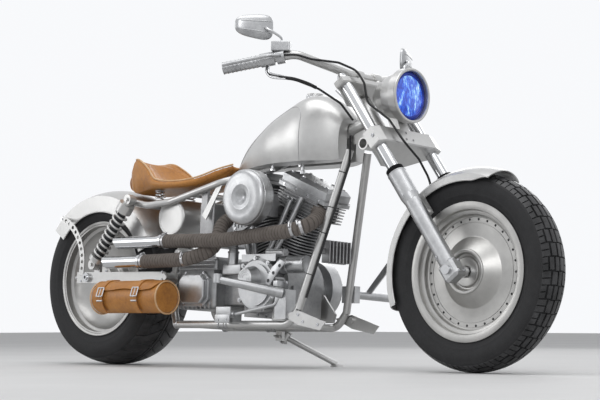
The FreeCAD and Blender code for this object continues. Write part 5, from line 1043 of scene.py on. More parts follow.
def tube_tree() -> Tree:
    """Return a tree that sweeps a round section along its host, wound with bands, with UVs.

    Returns:
        The tree.
    """
    tree = Tree("swept_tube", Radius="Float", Sides="Int", Step="Float", Band="Float",
                Band_Depth="Float", Finish="Material")
    line = tree.add("GeometryNodeMeshToCurve", {"Mesh": "Geometry"})
    even = tree.add("GeometryNodeResampleCurve", {"Curve": line.outputs[0], "Length": "Step"}, mode="LENGTH")
    share = tree.add("GeometryNodeSplineParameter").outputs
    ring = tree.add("GeometryNodeCurvePrimitiveCircle", {"Resolution": "Sides", "Radius": "Radius"})
    solid = tree.add("GeometryNodeCurveToMesh",
                     {"Curve": tree.store(even.outputs[0], "along", share["Length"]),
                      "Profile Curve": tree.store(ring.outputs[0], "round", share["Factor"]),
                      "Fill Caps": True})
    along, about = tree.read("along"), tree.read("round")
    turns = tree.maths("ADD", tree.maths("DIVIDE", along, "Band"), about)
    rise = tree.maths("MULTIPLY", tree.maths("POWER", tree.maths("FRACT", turns), 0.6), "Band Depth")
    normal = tree.add("GeometryNodeInputNormal")
    push = tree.add("ShaderNodeVectorMath", {0: normal.outputs[0], "Scale": rise}, operation="SCALE")
    lifted = tree.add("GeometryNodeSetPosition", {"Geometry": solid.outputs[0], "Offset": push.outputs[0]})
    places = tree.add("ShaderNodeCombineXYZ", {"X": about, "Y": tree.maths("MULTIPLY", along, M_PER_MM)})
    tree.close(tree.store(lifted.outputs[0], "UVMap", places.outputs[0], "FLOAT2", "CORNER"))
    return tree


class Workshop:
    """Makes pieces: places their meshes, gives them a finish and hangs them on a body."""

    def __init__(self, finishes: Finishes) -> None:
        """Keep the finishes and build the node trees.

        Args:
            finishes: The shared finishes.
        """
        self.finishes = finishes
        self.rings = ring_tree()
        self.spots = spot_tree()
        self.coils = coil_tree()
        self.tubes = tube_tree()
        self.count = 0

    def piece(self, name: str, mesh: Mesh | Sequence[Mesh], finish: str, body: Body = Body.CHASSIS,
              place: Optional[Matrix] = None, replaces: Sequence[str] = (),
              sharp_deg: float = 35.0) -> Object:
        """Keep a mesh in millimetres as a piece of the bike.

        Args:
            name: The piece's name.
            mesh: Its mesh, or the meshes that it joins.
            finish: The name of its finish.
            body: The body it rides on.
            place: The matrix from the mesh to the upright bike, or None.
            replaces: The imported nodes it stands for.
            sharp_deg: The angle from which an edge stays sharp.

        Returns:
            The object.
        """
        if not isinstance(mesh, Mesh):
            mesh = Shapes.join(mesh)
        Shapes.moved(mesh, STANCE.place() @ (place or Matrix.Identity(4)))
        mesh.name = name
        mesh.shade_smooth()
        mesh.set_sharp_from_angle(angle=math.radians(sharp_deg))
        obj = linked(name, mesh)
        self.finishes.put(obj, finish)
        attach(obj, body.value)
        if replaces:
            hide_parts(*replaces)
        self.count += 1
        return obj

    def host(self, mesh: Mesh) -> Object:
        """Return a short-lived object for a node tree to work on."""
        return linked("host", mesh)

    def ring(self, part: Mesh, count: int, finish: str, start: float = 0.0) -> Mesh:
        """Return a part repeated round Z.

        Args:
            part: The part, in its first place.
            count: How many there are.
            finish: The finish's name.
            start: The first one's turn, in radians.

        Returns:
            The mesh.
        """
        piece = self.host(part)
        mesh = self.rings.grow(self.host(bpy.data.meshes.new("empty")), Piece=piece, Count=count,
                               Start=start, Finish=self.finishes.made[finish])
        bpy.data.objects.remove(piece)
        return mesh

    def spots_on(self, part: Mesh, places: Sequence[Hit], finish: str) -> Mesh:
        """Return a part repeated at places, each facing its own way.

        Args:
            part: The part, built up along Z.
            places: The place and the facing of each.
            finish: The finish's name.

        Returns:
            The mesh.
        """
        mesh = bpy.data.meshes.new("points")
        mesh.from_pydata([tuple(place) for place, _ in places], [], [])
        facing = mesh.attributes.new("facing", "FLOAT_VECTOR", "POINT")
        for i, (_, way) in enumerate(places):
            facing.data[i].vector = way
        piece = self.host(part)
        grown = self.spots.grow(self.host(mesh), Piece=piece, Finish=self.finishes.made[finish])
        bpy.data.objects.remove(piece)
        return grown

    def coil(self, turns: float, radius: float, height: float, wire: float, finish: str) -> Mesh:
        """Return a wound wire about Z."""
        return self.coils.grow(self.host(bpy.data.meshes.new("empty")), Turns=turns, Radius=radius,
                               Height=height, Wire=wire, Finish=self.finishes.made[finish])

    def tube(self, points: Sequence[Vector], radius: float, finish: str, sides: int = 16,
             step: float = 6.0, band: float = 1000.0, band_depth: float = 0.0) -> Mesh:
        """Return a round tube along a line of points.

        Args:
            points: The line.
            radius: The tube's radius.
            finish: The finish's name.
            sides: Steps round it.
            step: The length of its rings.
            band: The pitch of the wound bands.
            band_depth: How far a band's edge stands out.

        Returns:
            The mesh.
        """
        mesh = bpy.data.meshes.new("line")
        mesh.from_pydata([tuple(p) for p in points], [(i, i + 1) for i in range(len(points) - 1)], [])
        return self.tubes.grow(self.host(mesh), Radius=radius, Sides=sides, Step=step, Band=band,
                               Band_Depth=band_depth, Finish=self.finishes.made[finish])

    def bolts(self, places: Sequence[Hit], radius: float, finish: str = "chrome",
              height: float = 0.6) -> Mesh:
        """Return hexagon bolt heads on washers.

        Args:
            places: The place and facing of each.
            radius: The head's radius.
            finish: The finish's name.
            height: The head's height as a share of its radius.

        Returns:
            The mesh.
        """
        tall = radius * height
        wide, thin = radius * 1.35, tall * 0.25
        washer = Shapes.lathe([(0, 0), (wide, 0), (wide, thin), (0, thin)], 20)
        head = Shapes.lathe([(0, thin), (radius, thin), (radius, tall * 0.95),
                             (radius * 0.86, tall * 1.1), (radius * 0.45, tall * 1.1),
                             (radius * 0.4, tall * 0.7), (0, tall * 0.7)], 6)
        return self.spots_on(Shapes.join([washer, head]), places, finish)


# Wheels

@dataclass
class Tyre:
    """A tyre with a carved tread on a round crown."""

    name: str
    centre_x: float
    body: Body
    width: float
    rim_radius: float
    rim_width: float
    pitches: int
    depth: float = 5.5
    radius: float = 327.5
    layers: tuple[Pair, ...] = ((0.0, -0.03), (0.7, 0.0), (7.0, 0.05))

    def crown(self) -> Pair:
        """Return the crown's half width and its radius of curvature.

        Returns:
            The two measures.
        """
        half = self.width * 0.44
        sag = (self.radius - self.rim_radius) * 0.2
        return half, (half * half + sag * sag) / (2 * sag)

    def on_crown(self, across: float, sink: float = 0.0) -> Pair:
        """Return the (radius, side) of a point on the crown.

        Args:
            across: The distance over the crown from its middle.
            sink: How far below the surface it lies.

        Returns:
            The two measures.
        """
        _, bend = self.crown()
        angle = across / bend
        return (self.radius - bend + (bend - sink) * math.cos(angle), (bend - sink) * math.sin(angle))

    def outline(self) -> list[Pair]:
        """Return the carcass's outline of (radius, side) points.

        Returns:
            The points, in order.
        """
        half, bend = self.crown()
        edge = bend * math.asin(half / bend)
        points = [self.on_crown(edge * i / 14, self.depth) for i in range(-13, 14)]
        side: list[Pair] = []
        wall = self.radius - self.rim_radius
        shoulder = (self.radius - wall * 0.2, half)
        belly = (self.rim_radius + wall * 0.45, self.width / 2)
        bead = (self.rim_radius + 3, self.rim_width / 2 - 5)
        pull = [2 * belly[k] - (shoulder[k] + bead[k]) / 2 for k in (0, 1)]
        for i in range(17):
            t = i / 16
            shares = (1 - t) ** 2, 2 * t * (1 - t), t * t
            r, y = (shares[0] * shoulder[k] + shares[1] * pull[k] + shares[2] * bead[k] for k in (0, 1))
            if i in (2, 12):
                side += [(r, y + 0.9), (r - 1.6, y + 0.9)]
            else:
                side.append((r, y))
        side.append((self.rim_radius - 8, self.rim_width / 2 - 6))
        return [(r, -y) for r, y in reversed(side)] + points + side

    def spot(self, corners: Sequence[Pair], share: Pair, sink: float, grow: float) -> Point:
        """Return a place on a tread block.

        Args:
            corners: The block's four (along, across) corners, in order.
            share: The shares of the way along and across.
            sink: How far below the crown it lies.
            grow: How much wider the block is there, as a share.

        Returns:
            The place.
        """
        u, v = share
        pulls = ((1 - u) * (1 - v), u * (1 - v), u * v, (1 - u) * v)
        place = [sum(pull * corner[k] for pull, corner in zip(pulls, corners)) for k in (0, 1)]
        middle = [sum(corner[k] for corner in corners) / 4 for k in (0, 1)]
        along, across = (place[k] + (place[k] - middle[k]) * grow for k in (0, 1))
        r, y = self.on_crown(across, sink)
        angle = along / self.radius
        return (r * math.cos(angle), r * math.sin(angle), y)

    def patch(self, corners: Sequence[Pair], steps: tuple[int, int] = (2, 3)) -> Mesh:
        """Return one tread block on the crown.

        Args:
            corners: Four (along, across) corners, in order.
            steps: Divisions along and across.

        Returns:
            The mesh.
        """
        nu, nv = steps
        grids = [[[self.spot(corners, (i / nu, j / nv), sink, grow) for j in range(nv + 1)]
                  for i in range(nu + 1)] for sink, grow in self.layers]
        return Shapes.quilt(grids, False, "block")

    def blocks(self) -> list[Mesh]:
        """Return the blocks of one pitch of the tread."""
        raise NotImplementedError

    def build(self, shop: Workshop, replaces: str) -> None:
        """Make the tyre.

        Args:
            shop: The workshop.
            replaces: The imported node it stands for.
        """
        carcass = Shapes.lathe(self.outline(), 180)
        tread = shop.ring(Shapes.join(self.blocks()), self.pitches, "tread_black")
        place = STANCE.wheel(self.centre_x)
        shop.piece(self.name + "_carcass", carcass, "tyre_black", self.body, place, (replaces,), 50)
        shop.piece(self.name + "_tread", tread, "tread_black", self.body, place)


@dataclass
class FrontTyre(Tyre):
    """The block tread of the front: a zigzag rib, offset blocks and sliced shoulders."""

    zigzag: float = 8.0
    rib_half: float = 8.0
    middle_block: Pair = (15.5, 35.0)
    shoulder_block: Pair = (42.0, 67.0)
    rib_gap: float = 1.0
    block_gap: float = 2.8

    def blocks(self) -> list[Mesh]:
        """Return the blocks of one pitch.

        Returns:
            The meshes.
        """
        half = math.pi * self.radius / self.pitches
        made = []
        for start, shift in ((0.0, self.zigzag), (half, -self.zigzag)):
            end, middle = start + half, start + half / 2
            low, high = start + self.rib_gap, end - self.rib_gap
            near, far = shift - self.rib_half, shift + self.rib_half
            made.append(self.patch([(low, near), (high, near), (high, far), (low, far)]))
            low, high = start + self.block_gap, end - self.block_gap
            for side in (-1, 1):
                near, far = (side * place for place in self.middle_block)
                made.append(self.patch([(low, shift + near), (high, shift + near), (high, shift * 0.7 + far),
                                        (low, shift * 0.7 + far)]))
                near, far = (side * place for place in self.shoulder_block)
                near += shift * 0.7
                for back, ahead in ((start, middle), (middle, end)):
                    made.append(self.patch([(back + 1.8, near), (ahead - 1.8, near), (ahead + 2.6, far),
                                            (back + 6.2, far)], (2, 5)))
        return made


@dataclass
class RearTyre(Tyre):
    """The long slanting grooves of the rear."""

    rib_half: float = 5.0
    gap: float = 2.2
    joined: float = 4.6
    rows: tuple[Pair, ...] = ((8.5, 0.0), (30.0, 14.0), (62.0, 40.0), (101.0, 52.0))

    def blocks(self) -> list[Mesh]:
        """Return the blocks of one pitch, which lean back by the second number of each row.

        Returns:
            The meshes.
        """
        pitch, gap, rib = TAU * self.radius / self.pitches, self.gap, self.rib_half
        made = [self.patch([(0, -rib), (pitch + 0.01, -rib), (pitch + 0.01, rib), (0, rib)], (4, 2))]
        for side in (-1, 1):
            for (near, lean), (far, more) in zip(self.rows, self.rows[1:]):
                for start, end in ((gap, pitch / 2 - gap), (pitch / 2 + gap, pitch - gap)):
                    low = start - (self.joined if far == self.rows[-1][0] and start > gap else 0.0)
                    made.append(self.patch([(low + lean, side * near), (end + lean, side * near),
                                            (end + more, side * far), (low + more, side * far)], (3, 5)))
        return made


@dataclass
class DiscWheel:
    """A turned wheel with a stepped lip, modelled about Z with its shown side at -Z."""

    name: str
    centre_x: float
    body: Body
    finish: str
    half: float
    rim_radius: float

    def lip(self) -> list[Pair]:
        """Return the shown side's (radius, depth) points, from the lip in."""
        raise NotImplementedError

    def back(self) -> list[Pair]:
        """Return the far side's (radius, depth) points, from the hub out.

        Returns:
            The points, in order.
        """
        full = self.half * 2
        rim = self.rim_radius
        return [(24, full + 4), (50, full + 4), (50, full - 34), (60, full - 44), (178, full - 62),
                (196, full - 60), (202, full - 36), (204, full - 10), (214, full - 4), (rim - 4, full - 3),
                (rim, full - 0.8), (rim, full - 4), (rim - 16, full - 5), (rim - 17, full * 0.62),
                (rim - 24, full * 0.55), (rim - 24, full * 0.36), (rim - 17, full * 0.3), (rim - 16, 5),
                (rim, 4)]

    def build(self, shop: Workshop, replaces: str) -> None:
        """Make the wheel.

        Args:
            shop: The workshop.
            replaces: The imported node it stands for.
        """
        outline = [(r, d - self.half) for r, d in self.lip() + self.back()]
        disc = Shapes.lathe(outline, 200, closed=True)
        shop.piece(self.name, disc, self.finish, self.body, STANCE.wheel(self.centre_x), (replaces,), 24)


@dataclass
class FrontWheel(DiscWheel):
    """The front wheel: a flat dished face with a ring of dark rivets and a raised cone."""

    rivets: int = 30
    rivet_ring: float = 175.6
    face_depth: float = 36.0

    def lip(self) -> list[Pair]:
        """Return the shown side's points.

        Returns:
            The points, in order.
        """
        face = self.face_depth
        return [(231, 0.8), (229, 0), (209, 0.4), (206, 1.5), (204.5, 4), (204, 14), (202.5, 16.5),
                (194, 17.2), (191, 18.6), (190, 21), (189.4, 31), (187.5, 34), (184, 35.2),
                (182.6, face), (182.2, face + 1.8), (181.2, face + 1.8), (180.8, face),
                (166.2, face), (165.8, face + 1.8), (164.8, face + 1.8), (164.4, face),
                (121, face), (118.5, face - 0.8), (116, face - 3), (75, -4), (73.5, -7.5), (71, -9),
                (66, -9), (63.5, -7.5), (62, -4), (60.5, 6), (57, 9), (53, 9.5), (50.5, 8), (49, 2),
                (46.5, -1), (24, -2), (20, -1), (17.6, 1), (17.6, 12), (12.4, 13), (12.4, 130)]

    def build(self, shop: Workshop, replaces: str) -> None:
        """Make the wheel and its rivets.

        Args:
            shop: The workshop.
            replaces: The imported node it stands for.
        """
        super().build(shop, replaces)
        place = STANCE.wheel(self.centre_x)
        low = self.face_depth - self.half
        rivet = Shapes.lathe([(0, -1.6), (2.4, -1.4), (3.8, -0.7), (4.5, 0.3), (4.5, 1.4), (0, 1.4)], 14)
        rivet.transform(Matrix.Translation((self.rivet_ring, 0, low)))
        shop.piece("front_wheel_rivets", shop.ring(rivet, self.rivets, "hose_black"), "hose_black",
                   self.body, place)


@dataclass
class RearWheel(DiscWheel):
    """The rear wheel: a bright lip and a deep bowl."""

    def lip(self) -> list[Pair]:
        """Return the shown side's points.

        Returns:
            The points, in order.
        """
        return [(222, 0.8), (220, 0), (214, 0.6), (212, 2.5), (211, 6), (209.5, 24), (208, 29), (204, 32),
                (198, 33.5), (194, 36), (190, 44), (176, 62), (150, 78), (120, 88), (92, 94), (74, 96),
                (71, 95), (69.5, 92), (68, 70), (66, 67), (52, 66), (49, 63.5), (48, 20), (46, 17),
                (20, 16.5), (17.6, 18), (17.6, 30), (12.4, 31), (12.4, 216)]

    def build(self, shop: Workshop, replaces: str) -> None:
        """Make the wheel and the bolts of its hub.

        Args:
            shop: The workshop.
            replaces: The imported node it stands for.
        """
        super().build(shop, replaces)
        places = [(Vector((34 * math.cos(a), 34 * math.sin(a), 16.8 - self.half)), Vector((0, 0, -1)))
                  for a in (TAU * i / 6 for i in range(6))]
        shop.piece("rear_hub_bolts", shop.bolts(places, 5.5), "chrome", self.body,
                   STANCE.wheel(self.centre_x))


def build_wheels(shop: Workshop) -> None:
    """Make both wheels and tyres.

    Args:
        shop: The workshop.
    """
    front_x = STANCE.wheelbase
    FrontTyre("front_tyre_rubber", front_x, Body.FRONT_WHEEL, 140, 231, 120, 22).build(shop, "front_tyre")
    RearTyre("rear_tyre_rubber", 0, Body.REAR_WHEEL, 226, 222, 208, 20).build(shop, "rear_tyre")
    FrontWheel("front_disc_wheel", front_x, Body.FRONT_WHEEL, "turned_front", 60, 231).build(
        shop, "front_wheel_disc")
    RearWheel("rear_disc_wheel", 0, Body.REAR_WHEEL, "turned_rear", 104, 222).build(shop, "rear_wheel_disc")
    LOG.info("wheels built")


# Soft goods

@dataclass(frozen=True)
class Filling:
    """How a soft piece is filled: by pressure inside a cloth, held at its seams."""

    voxel_mm: float = 5.0
    pressure: float = 4.0
    reach_mm: float = 8.0
    frames: int = 20
    cloth: tuple[tuple[str, object], ...] = (
        ("quality", 5), ("mass", 0.25), ("tension_stiffness", 12), ("compression_stiffness", 12),
        ("bending_stiffness", 1.2), ("use_pressure", True))

    def baked(self, obj: Object) -> Mesh:
        """Return an object's mesh with its modifiers applied."""
        return bpy.data.meshes.new_from_object(obj.evaluated_get(bpy.context.evaluated_depsgraph_get()))

    def even(self, mesh: Mesh) -> Object:
        """Return a new object with the mesh rebuilt in even steps, in metres.

        Args:
            mesh: The closed form, in millimetres.

        Returns:
            The object.
        """
        mesh.transform(Matrix.Scale(M_PER_MM, 4))
        rough = linked("rough_form", mesh)
        grid = rough.modifiers.new("even", "REMESH")
        grid.mode = "VOXEL"
        grid.voxel_size = self.voxel_mm * M_PER_MM
        form = linked("even_form", self.baked(rough))
        bpy.data.objects.remove(rough)
        return form

    def simulate(self, form: Object, held: Callable[[Vector], float]) -> None:
        """Fill the form, and let no point move further than the reach.

        Args:
            form: The even form.
            held: How firmly a place in millimetres is held, from 0 to 1.
        """
        scene = bpy.context.scene
        start = [vertex.co.copy() for vertex in form.data.vertices]
        group = form.vertex_groups.new(name="held")
        for i, place in enumerate(start):
            group.add([i], held(place / M_PER_MM), "REPLACE")
        cloth = form.modifiers.new("fill", "CLOTH")
        for key, value in self.cloth:
            setattr(cloth.settings, key, value)
        cloth.settings.uniform_pressure_force = self.pressure
        cloth.settings.effector_weights.gravity = 0
        cloth.settings.vertex_group_mass = group.name
        cloth.point_cache.frame_start = 1
        cloth.point_cache.frame_end = self.frames
        for moment in range(1, self.frames + 1):
            scene.frame_set(moment)
        filled = self.baked(form)
        limit = self.reach_mm * M_PER_MM
        for vertex, old, new in zip(form.data.vertices, start, filled.vertices):
            step = new.co - old
            vertex.co = old + step * min(1.0, limit / max(step.length, 1e-9))
        form.modifiers.remove(cloth)
        form.vertex_groups.clear()
        bpy.data.meshes.remove(filled)
        scene.frame_set(1)

    def fill(self, mesh: Mesh, held: Callable[[Vector], float]) -> Mesh:
        """Return the filled form, in millimetres.

        Args:
            mesh: The closed form, a little smaller than the finished one.
            held: How firmly a place is held, from 0 to 1.

        Returns:
            The mesh.
        """
        form = self.even(mesh)
        self.simulate(form, held)
        smooth = form.modifiers.new("smooth", "SUBSURF")
        smooth.levels = 1
        smooth.render_levels = 1
        done = self.baked(form)
        bpy.data.objects.remove(form)
        done.transform(Matrix.Scale(1 / M_PER_MM, 4))
        return done


def strip(line: Sequence[Vector], across: Vector, width: float, thick: float) -> Mesh:
    """Return a flat strap with broken edges, laid along a line.

    Args:
        line: The middle of the strap's inner face.
        across: The way its width runs.
        width: Its width.
        thick: Its thickness.

    Returns:
        The mesh.
    """
    rings = []
    edge = min(0.8, thick * 0.35)
    for i, place in enumerate(line):
        ahead = line[min(i + 1, len(line) - 1)] - line[max(i - 1, 0)]
        out = across.cross(ahead).normalized()
        half = width / 2
        corners = [(-half, edge), (-half + edge, 0), (half - edge, 0), (half, edge), (half, thick - edge),
                   (half - edge, thick), (-half + edge, thick), (-half, thick - edge)]
        rings.append([place + across * side + out * rise for side, rise in corners])
    return Shapes.loft(rings)


@dataclass
class Seat:
    """The solo seat: a dished leather shell with a light welt, a rolled tail and coil springs. The welt's
    lighter tan is partly its own colour and partly painted highlight.
    """

    welt_radius: float = 3.2
    inset: float = 2.5
    least_wall: float = 10.0
    pan_z: float = 664.0
    seam_reach: float = 9.0
    stitch_off: float = 7.5
    stitch_end_x: float = 470.0
    stations: tuple[tuple[float, ...], ...] = (
        (108, 45, 690, 722, 716), (120, 72, 668, 745, 740), (150, 92, 653, 775, 770),
        (163, 95, 650, 785, 780), (190, 104, 650, 783, 771), (230, 112, 655, 760, 726),
        (262, 120, 658, 738, 700), (310, 129, 660, 698, 676), (415, 130, 658, 686, 668),
        (511, 108, 668, 697, 684), (590, 70, 695, 728, 720), (644, 42, 720, 746, 742))
    rim: tuple[Point, ...] = (
        (644, 38, 745), (590, 64, 728.5), (511, 98, 698), (415, 118, 687), (310, 117, 699),
        (262, 109, 738), (230, 102, 760), (190, 95, 781), (163, 86, 784), (154, 66, 778), (151, 34, 774))
    tail: tuple[Pair, ...] = ((136, 742), (112, 722), (104, 700), (112, 676), (138, 662), (176, 650))
    spring_foot: Point = (300.0, 82.0, 600.0)
    spring_height: float = 58.5
    spring_radius: float = 15.2
    spring_wire: float = 2.7
    spring_turns: float = 4.5

    def rows(self) -> list[Vector]:
        """Return (x, half, low, rim, dish) rows, smoothed from tail to nose.

        Returns:
            The points, in order.
        """
        return Shapes.curve_points([Vector(station) for station in self.stations], 7.0)

    def ring(self, row: Vector) -> list[Vector]:
        """Return one section, from the pan over the rim and the dish to the pan.

        Args:
            row: The (x, half, low, rim, dish) row.

        Returns:
            The points, in order.
        """
        x, half, low, rim, dish = row
        half, low, rim = half - self.inset, low + self.inset, rim - self.inset
        dish = max(dish - self.inset * 1.6, low + self.least_wall)
        tall = rim - low
        side = [(0.45, low), (0.84, low + 0.02 * tall), (0.95, low + 0.14 * tall), (1.0, low + 0.42 * tall),
                (0.995, low + 0.78 * tall), (0.965, rim - 1.2), (0.91, rim), (0.85, rim - 1.5),
                (0.74, rim + 0.4 * (dish - rim)), (0.52, rim + 0.78 * (dish - rim)),
                (0.26, rim + 0.96 * (dish - rim))]
        right = [Vector((x, -half * share, z)) for share, z in side]
        left = [Vector((x, half * share, z)) for share, z in reversed(side)]
        return right + [Vector((x, 0, dish))] + left

    def rim_line(self) -> list[Vector]:
        """Return the line of the rim, round the cantle and forward to the nose on both sides.

        Returns:
            The points, in order.
        """
        right = [Vector((x, -y, z)) for x, y, z in self.rim]
        left = [Vector((x, y, z)) for x, y, z in reversed(self.rim)]
        return Shapes.curve_points(right + [Vector((150.5, 0, 773))] + left, 5.0)

    def held(self, welt: Sequence[Vector], place: Vector) -> float:
        """Return how firmly a place is held: fully on the pan and along the welt, else not at all."""
        near = min((place - point).length for point in welt)
        return 1.0 if place.z < self.pan_z or near < self.seam_reach else 0.0

    def build(self, shop: Workshop) -> None:
        """Make the seat.

        Args:
            shop: The workshop.
        """
        rim = self.rim_line()
        form = Shapes.loft([self.ring(row) for row in self.rows()])
        soft = Filling(pressure=5.0, reach_mm=7).fill(form, partial(self.held, rim[::3]))
        cushion = shop.piece("seat_cushion", soft, "saddle_tan", replaces=("seat",), sharp_deg=60)
        shop.piece("seat_welt", shop.tube(rim, self.welt_radius, "welt_tan_and_painted_highlight", 10, 5.0), "welt_tan_and_painted_highlight")
        shop.piece("seat_stitches", self.stitches(shop, rim), "welt_tan_and_painted_highlight")
        tail = [Vector((x, 0, z)) for x, z in self.tail]
        flap = strip(list(reversed(Shapes.curve_points(tail, 5.0))), LEFT, 124, 3.5)
        shop.piece("seat_tail_flap", flap, "saddle_tan")
        self.springs(shop)

    def stitches(self, shop: Workshop, rim: Sequence[Vector]) -> Mesh:
        """Return the stitches that run beside the welt.

        Args:
            shop: The workshop.
            rim: The welt's line.

        Returns:
            The mesh.
        """
        places = []
        middle = Vector((300, 0, 0))
        for a, b in zip(rim[::2], rim[2::2]):
            if a.x > self.stitch_end_x:
                continue
            inward = Vector((middle.x - a.x, -a.y, 0)) if a.x < 200 else Vector((0, -a.y, 0))
            spot = a + inward.normalized() * self.stitch_off
            places.append((spot - UP * 1.2, b - a))
        thread = Shapes.lathe([(0, -2.0), (0.45, -1.5), (0.6, 0), (0.45, 1.5), (0, 2.0)], 6)
        return shop.spots_on(thread, places, "welt_tan_and_painted_highlight")

    def springs(self, shop: Workshop) -> None:
        """Make the two coil springs with their cups.

        Args:
            shop: The workshop.
        """
        x, y, z = self.spring_foot
        coils, cups = [], []
        for side in (-1, 1):
            coil = shop.coil(self.spring_turns, self.spring_radius, self.spring_height - 7,
                             self.spring_wire, "chrome")
            coils.append(Shapes.moved(coil, Matrix.Translation((x, side * y, z + 3.5))))
            for low, high in ((0, 4), (self.spring_height - 4, self.spring_height)):
                cup = Shapes.lathe([(0, low), (16.5, low), (17.5, low + 1), (17.5, high - 1), (16.5, high),
                                    (0, high)], 32)
                cups.append(Shapes.moved(cup, Matrix.Translation((x, side * y, z))))
        shop.piece("seat_spring_coils", coils, "chrome", replaces=("seat_springs",))
        shop.piece("seat_spring_cups", cups, "dull_cast")


@dataclass
class ToolBag:
    """The leather tool roll, with a flap, two buckled straps and welted ends."""

    centre_y: float = -218.0
    centre_z: float = 243.0
    radius: float = 62.0
    back_x: float = 150.0
    front_x: float = 515.0
    straps: Pair = (214.0, 404.0)
    strap_width: float = 25.0
    flap_back_deg: float = 158.0
    flap_front_deg: float = 27.0
    flap_rise_deg: float = 34.0
    welt_radius: float = 2.9
    seam_reach: float = 7.0
    sides: int = 48

    def ends(self) -> Pair:
        """Return the places of both ends along the bike."""
        return (self.back_x + 4, self.front_x - 4)

    def around(self, x: float, radius: float, degrees: float) -> Vector:
        """Return a place round the roll, from its outer side (0) up over its top (90)."""
        turn = math.radians(degrees)
        return Vector((x, self.centre_y - radius * math.cos(turn), self.centre_z + radius * math.sin(turn)))

    def roll(self) -> Mesh:
        """Return the closed roll, sagging a little between its ends.

        Returns:
            The mesh.
        """
        rings = []
        length = self.front_x - self.back_x
        count = 40
        for i in range(count + 1):
            share = i / count
            x = self.back_x + 3 + (length - 6) * share
            sag = math.sin(math.pi * share)
            end = min(share, 1 - share) * length
            radius = self.radius - 4.2 - 1.4 * sag - (2.0 if end < 4 else 0.0)
            sink = [1.2 * sag * max(0.0, math.sin(TAU * k / self.sides)) for k in range(self.sides)]
            rings.append([self.around(x, radius - sink[k], 360 * k / self.sides) for k in range(self.sides)])
        return Shapes.loft(rings)

    def flap(self) -> Mesh:
        """Return the flap over the top, its free edge rounded up at both ends.

        Returns:
            The mesh.
        """
        rows = []
        columns, steps = 48, 24
        for i in range(columns + 1):
            share = i / columns
            x = self.back_x + 7 + (self.front_x - self.back_x - 14) * share
            from_end = min(share, 1 - share) * 2
            edge = (self.flap_front_deg + 3.5 * math.cos(TAU * share * 2)
                    + self.flap_rise_deg * max(0.0, 1 - from_end * 5) ** 2)
            rows.append([(x, edge + (self.flap_back_deg - edge) * k / steps) for k in range(steps + 1)])
        rises = [1.2] + [1.9] * steps
        outer = [[self.around(x, self.radius + rise, turn) for (x, turn), rise in zip(row, rises)]
                 for row in rows]
        inner = [[self.around(x, self.radius - 1.0, turn) for x, turn in row] for row in rows]
        return Shapes.quilt([outer, inner], True, "flap")

    def strap(self, x: float) -> Mesh:
        """Return one strap, from behind over the top to its pointed tip.

        Args:
            x: The place along the roll.

        Returns:
            The mesh.
        """
        line = [self.around(x + 26, self.radius + 5, 132), self.around(x + 12, self.radius + 3.2, 100)]
        line += [self.around(x, self.radius + 2.6, turn) for turn in range(76, -68, -8)]
        return strip(list(reversed(Shapes.curve_points(line, 5.0))), AHEAD, self.strap_width, 3.2)

    def buckle(self, x: float) -> list[Mesh]:
        """Return one buckle: a frame, a bar and a prong, with the keeper below it.

        Args:
            x: The place along the roll.

        Returns:
            The meshes.
        """
        half = self.strap_width / 2 + 3.5
        out = self.radius + 7.5
        top, low = 30, 2
        corners = [self.around(x - half, out, top), self.around(x + half, out, top),
                   self.around(x + half, out + 1, low), self.around(x - half, out + 1, low)]
        parts = [Shapes.rod(a, b, 2.3, segments=12) for a, b in zip(corners, corners[1:] + corners[:1])]
        prong = self.around(x, out, top), self.around(x, out + 2.5, low - 3)
        keeper = [self.around(x + off, out - 1.0, -12) for off in (1 - half, half - 1)]
        return parts + [Shapes.rod(*prong, 1.6, segments=10), Shapes.rod(*keeper, 3.4, segments=12)]

    def held(self, place: Vector) -> float:
        """Return how firmly a place is held: fully near both ends, else not at all."""
        return 1.0 if min(abs(place.x - end) for end in self.ends()) < self.seam_reach else 0.0

    def build(self, shop: Workshop) -> None:
        """Make the tool roll.

        Args:
            shop: The workshop.
        """
        soft = Filling(pressure=4.0, reach_mm=5).fill(self.roll(), self.held)
        roll = shop.piece("tool_roll", soft, "saddle_tan", replaces=("tool_bag",), sharp_deg=50)
        shop.piece("tool_roll_flap", self.flap(), "saddle_tan", sharp_deg=50)
        welts = []
        for end in self.ends():
            ring = [self.around(end, self.radius - 2.5, 360 * k / 60) for k in range(61)]
            welts.append(shop.tube(ring, self.welt_radius, "welt_tan_and_painted_highlight", 10, 5.0))
        # The welts' lighter tan is partly painted highlight.
        shop.piece("tool_roll_welts", welts, "welt_tan_and_painted_highlight")
        shop.piece("tool_roll_straps", Shapes.join([self.strap(x) for x in self.straps]), "saddle_tan")
        metal = [part for x in self.straps for part in self.buckle(x)]
        shop.piece("tool_roll_buckles", metal, "brushed_steel")
        tips = []
        for x in self.straps:
            low, seat, high = (self.around(x + 25, self.radius + rise, 128) for rise in (0, 9.5, 20))
            tips.append((seat, high - low))
        shop.piece("tool_roll_rivets", shop.bolts(tips, 4.0, "chrome", 0.5), "chrome")


# Exhausts, shocks, tank and fenders

def rounded(points: Sequence[Vector], radius: float, step_deg: float = 6.0) -> list[Vector]:
    """Return a line of straight runs joined by bends.

    Args:
        points: The corners and ends.
        radius: The radius of the bends.
        step_deg: The turn of each step in a bend.

    Returns:
        The points, in order.
    """
    line = [points[0].copy()]
    for before, corner, after in zip(points, points[1:], points[2:]):
        back, on = (before - corner).normalized(), (after - corner).normalized()
        turn = math.pi - back.angle(on)
        reach = min(radius * math.tan(turn / 2), (before - corner).length * 0.48,
                    (after - corner).length * 0.48)
        bend = reach / math.tan(turn / 2)
        inward = (back + on).normalized()
        centre = corner + inward * math.hypot(bend, reach)
        start, end = corner + back * reach - centre, corner + on * reach - centre
        count = max(2, int(math.degrees(turn) / step_deg))
        for i in range(count + 1):
            early, late = math.sin((1 - i / count) * turn), math.sin(i / count * turn)
            line.append(centre + (start * early + end * late) / math.sin(turn))
    return line + [points[-1].copy()]


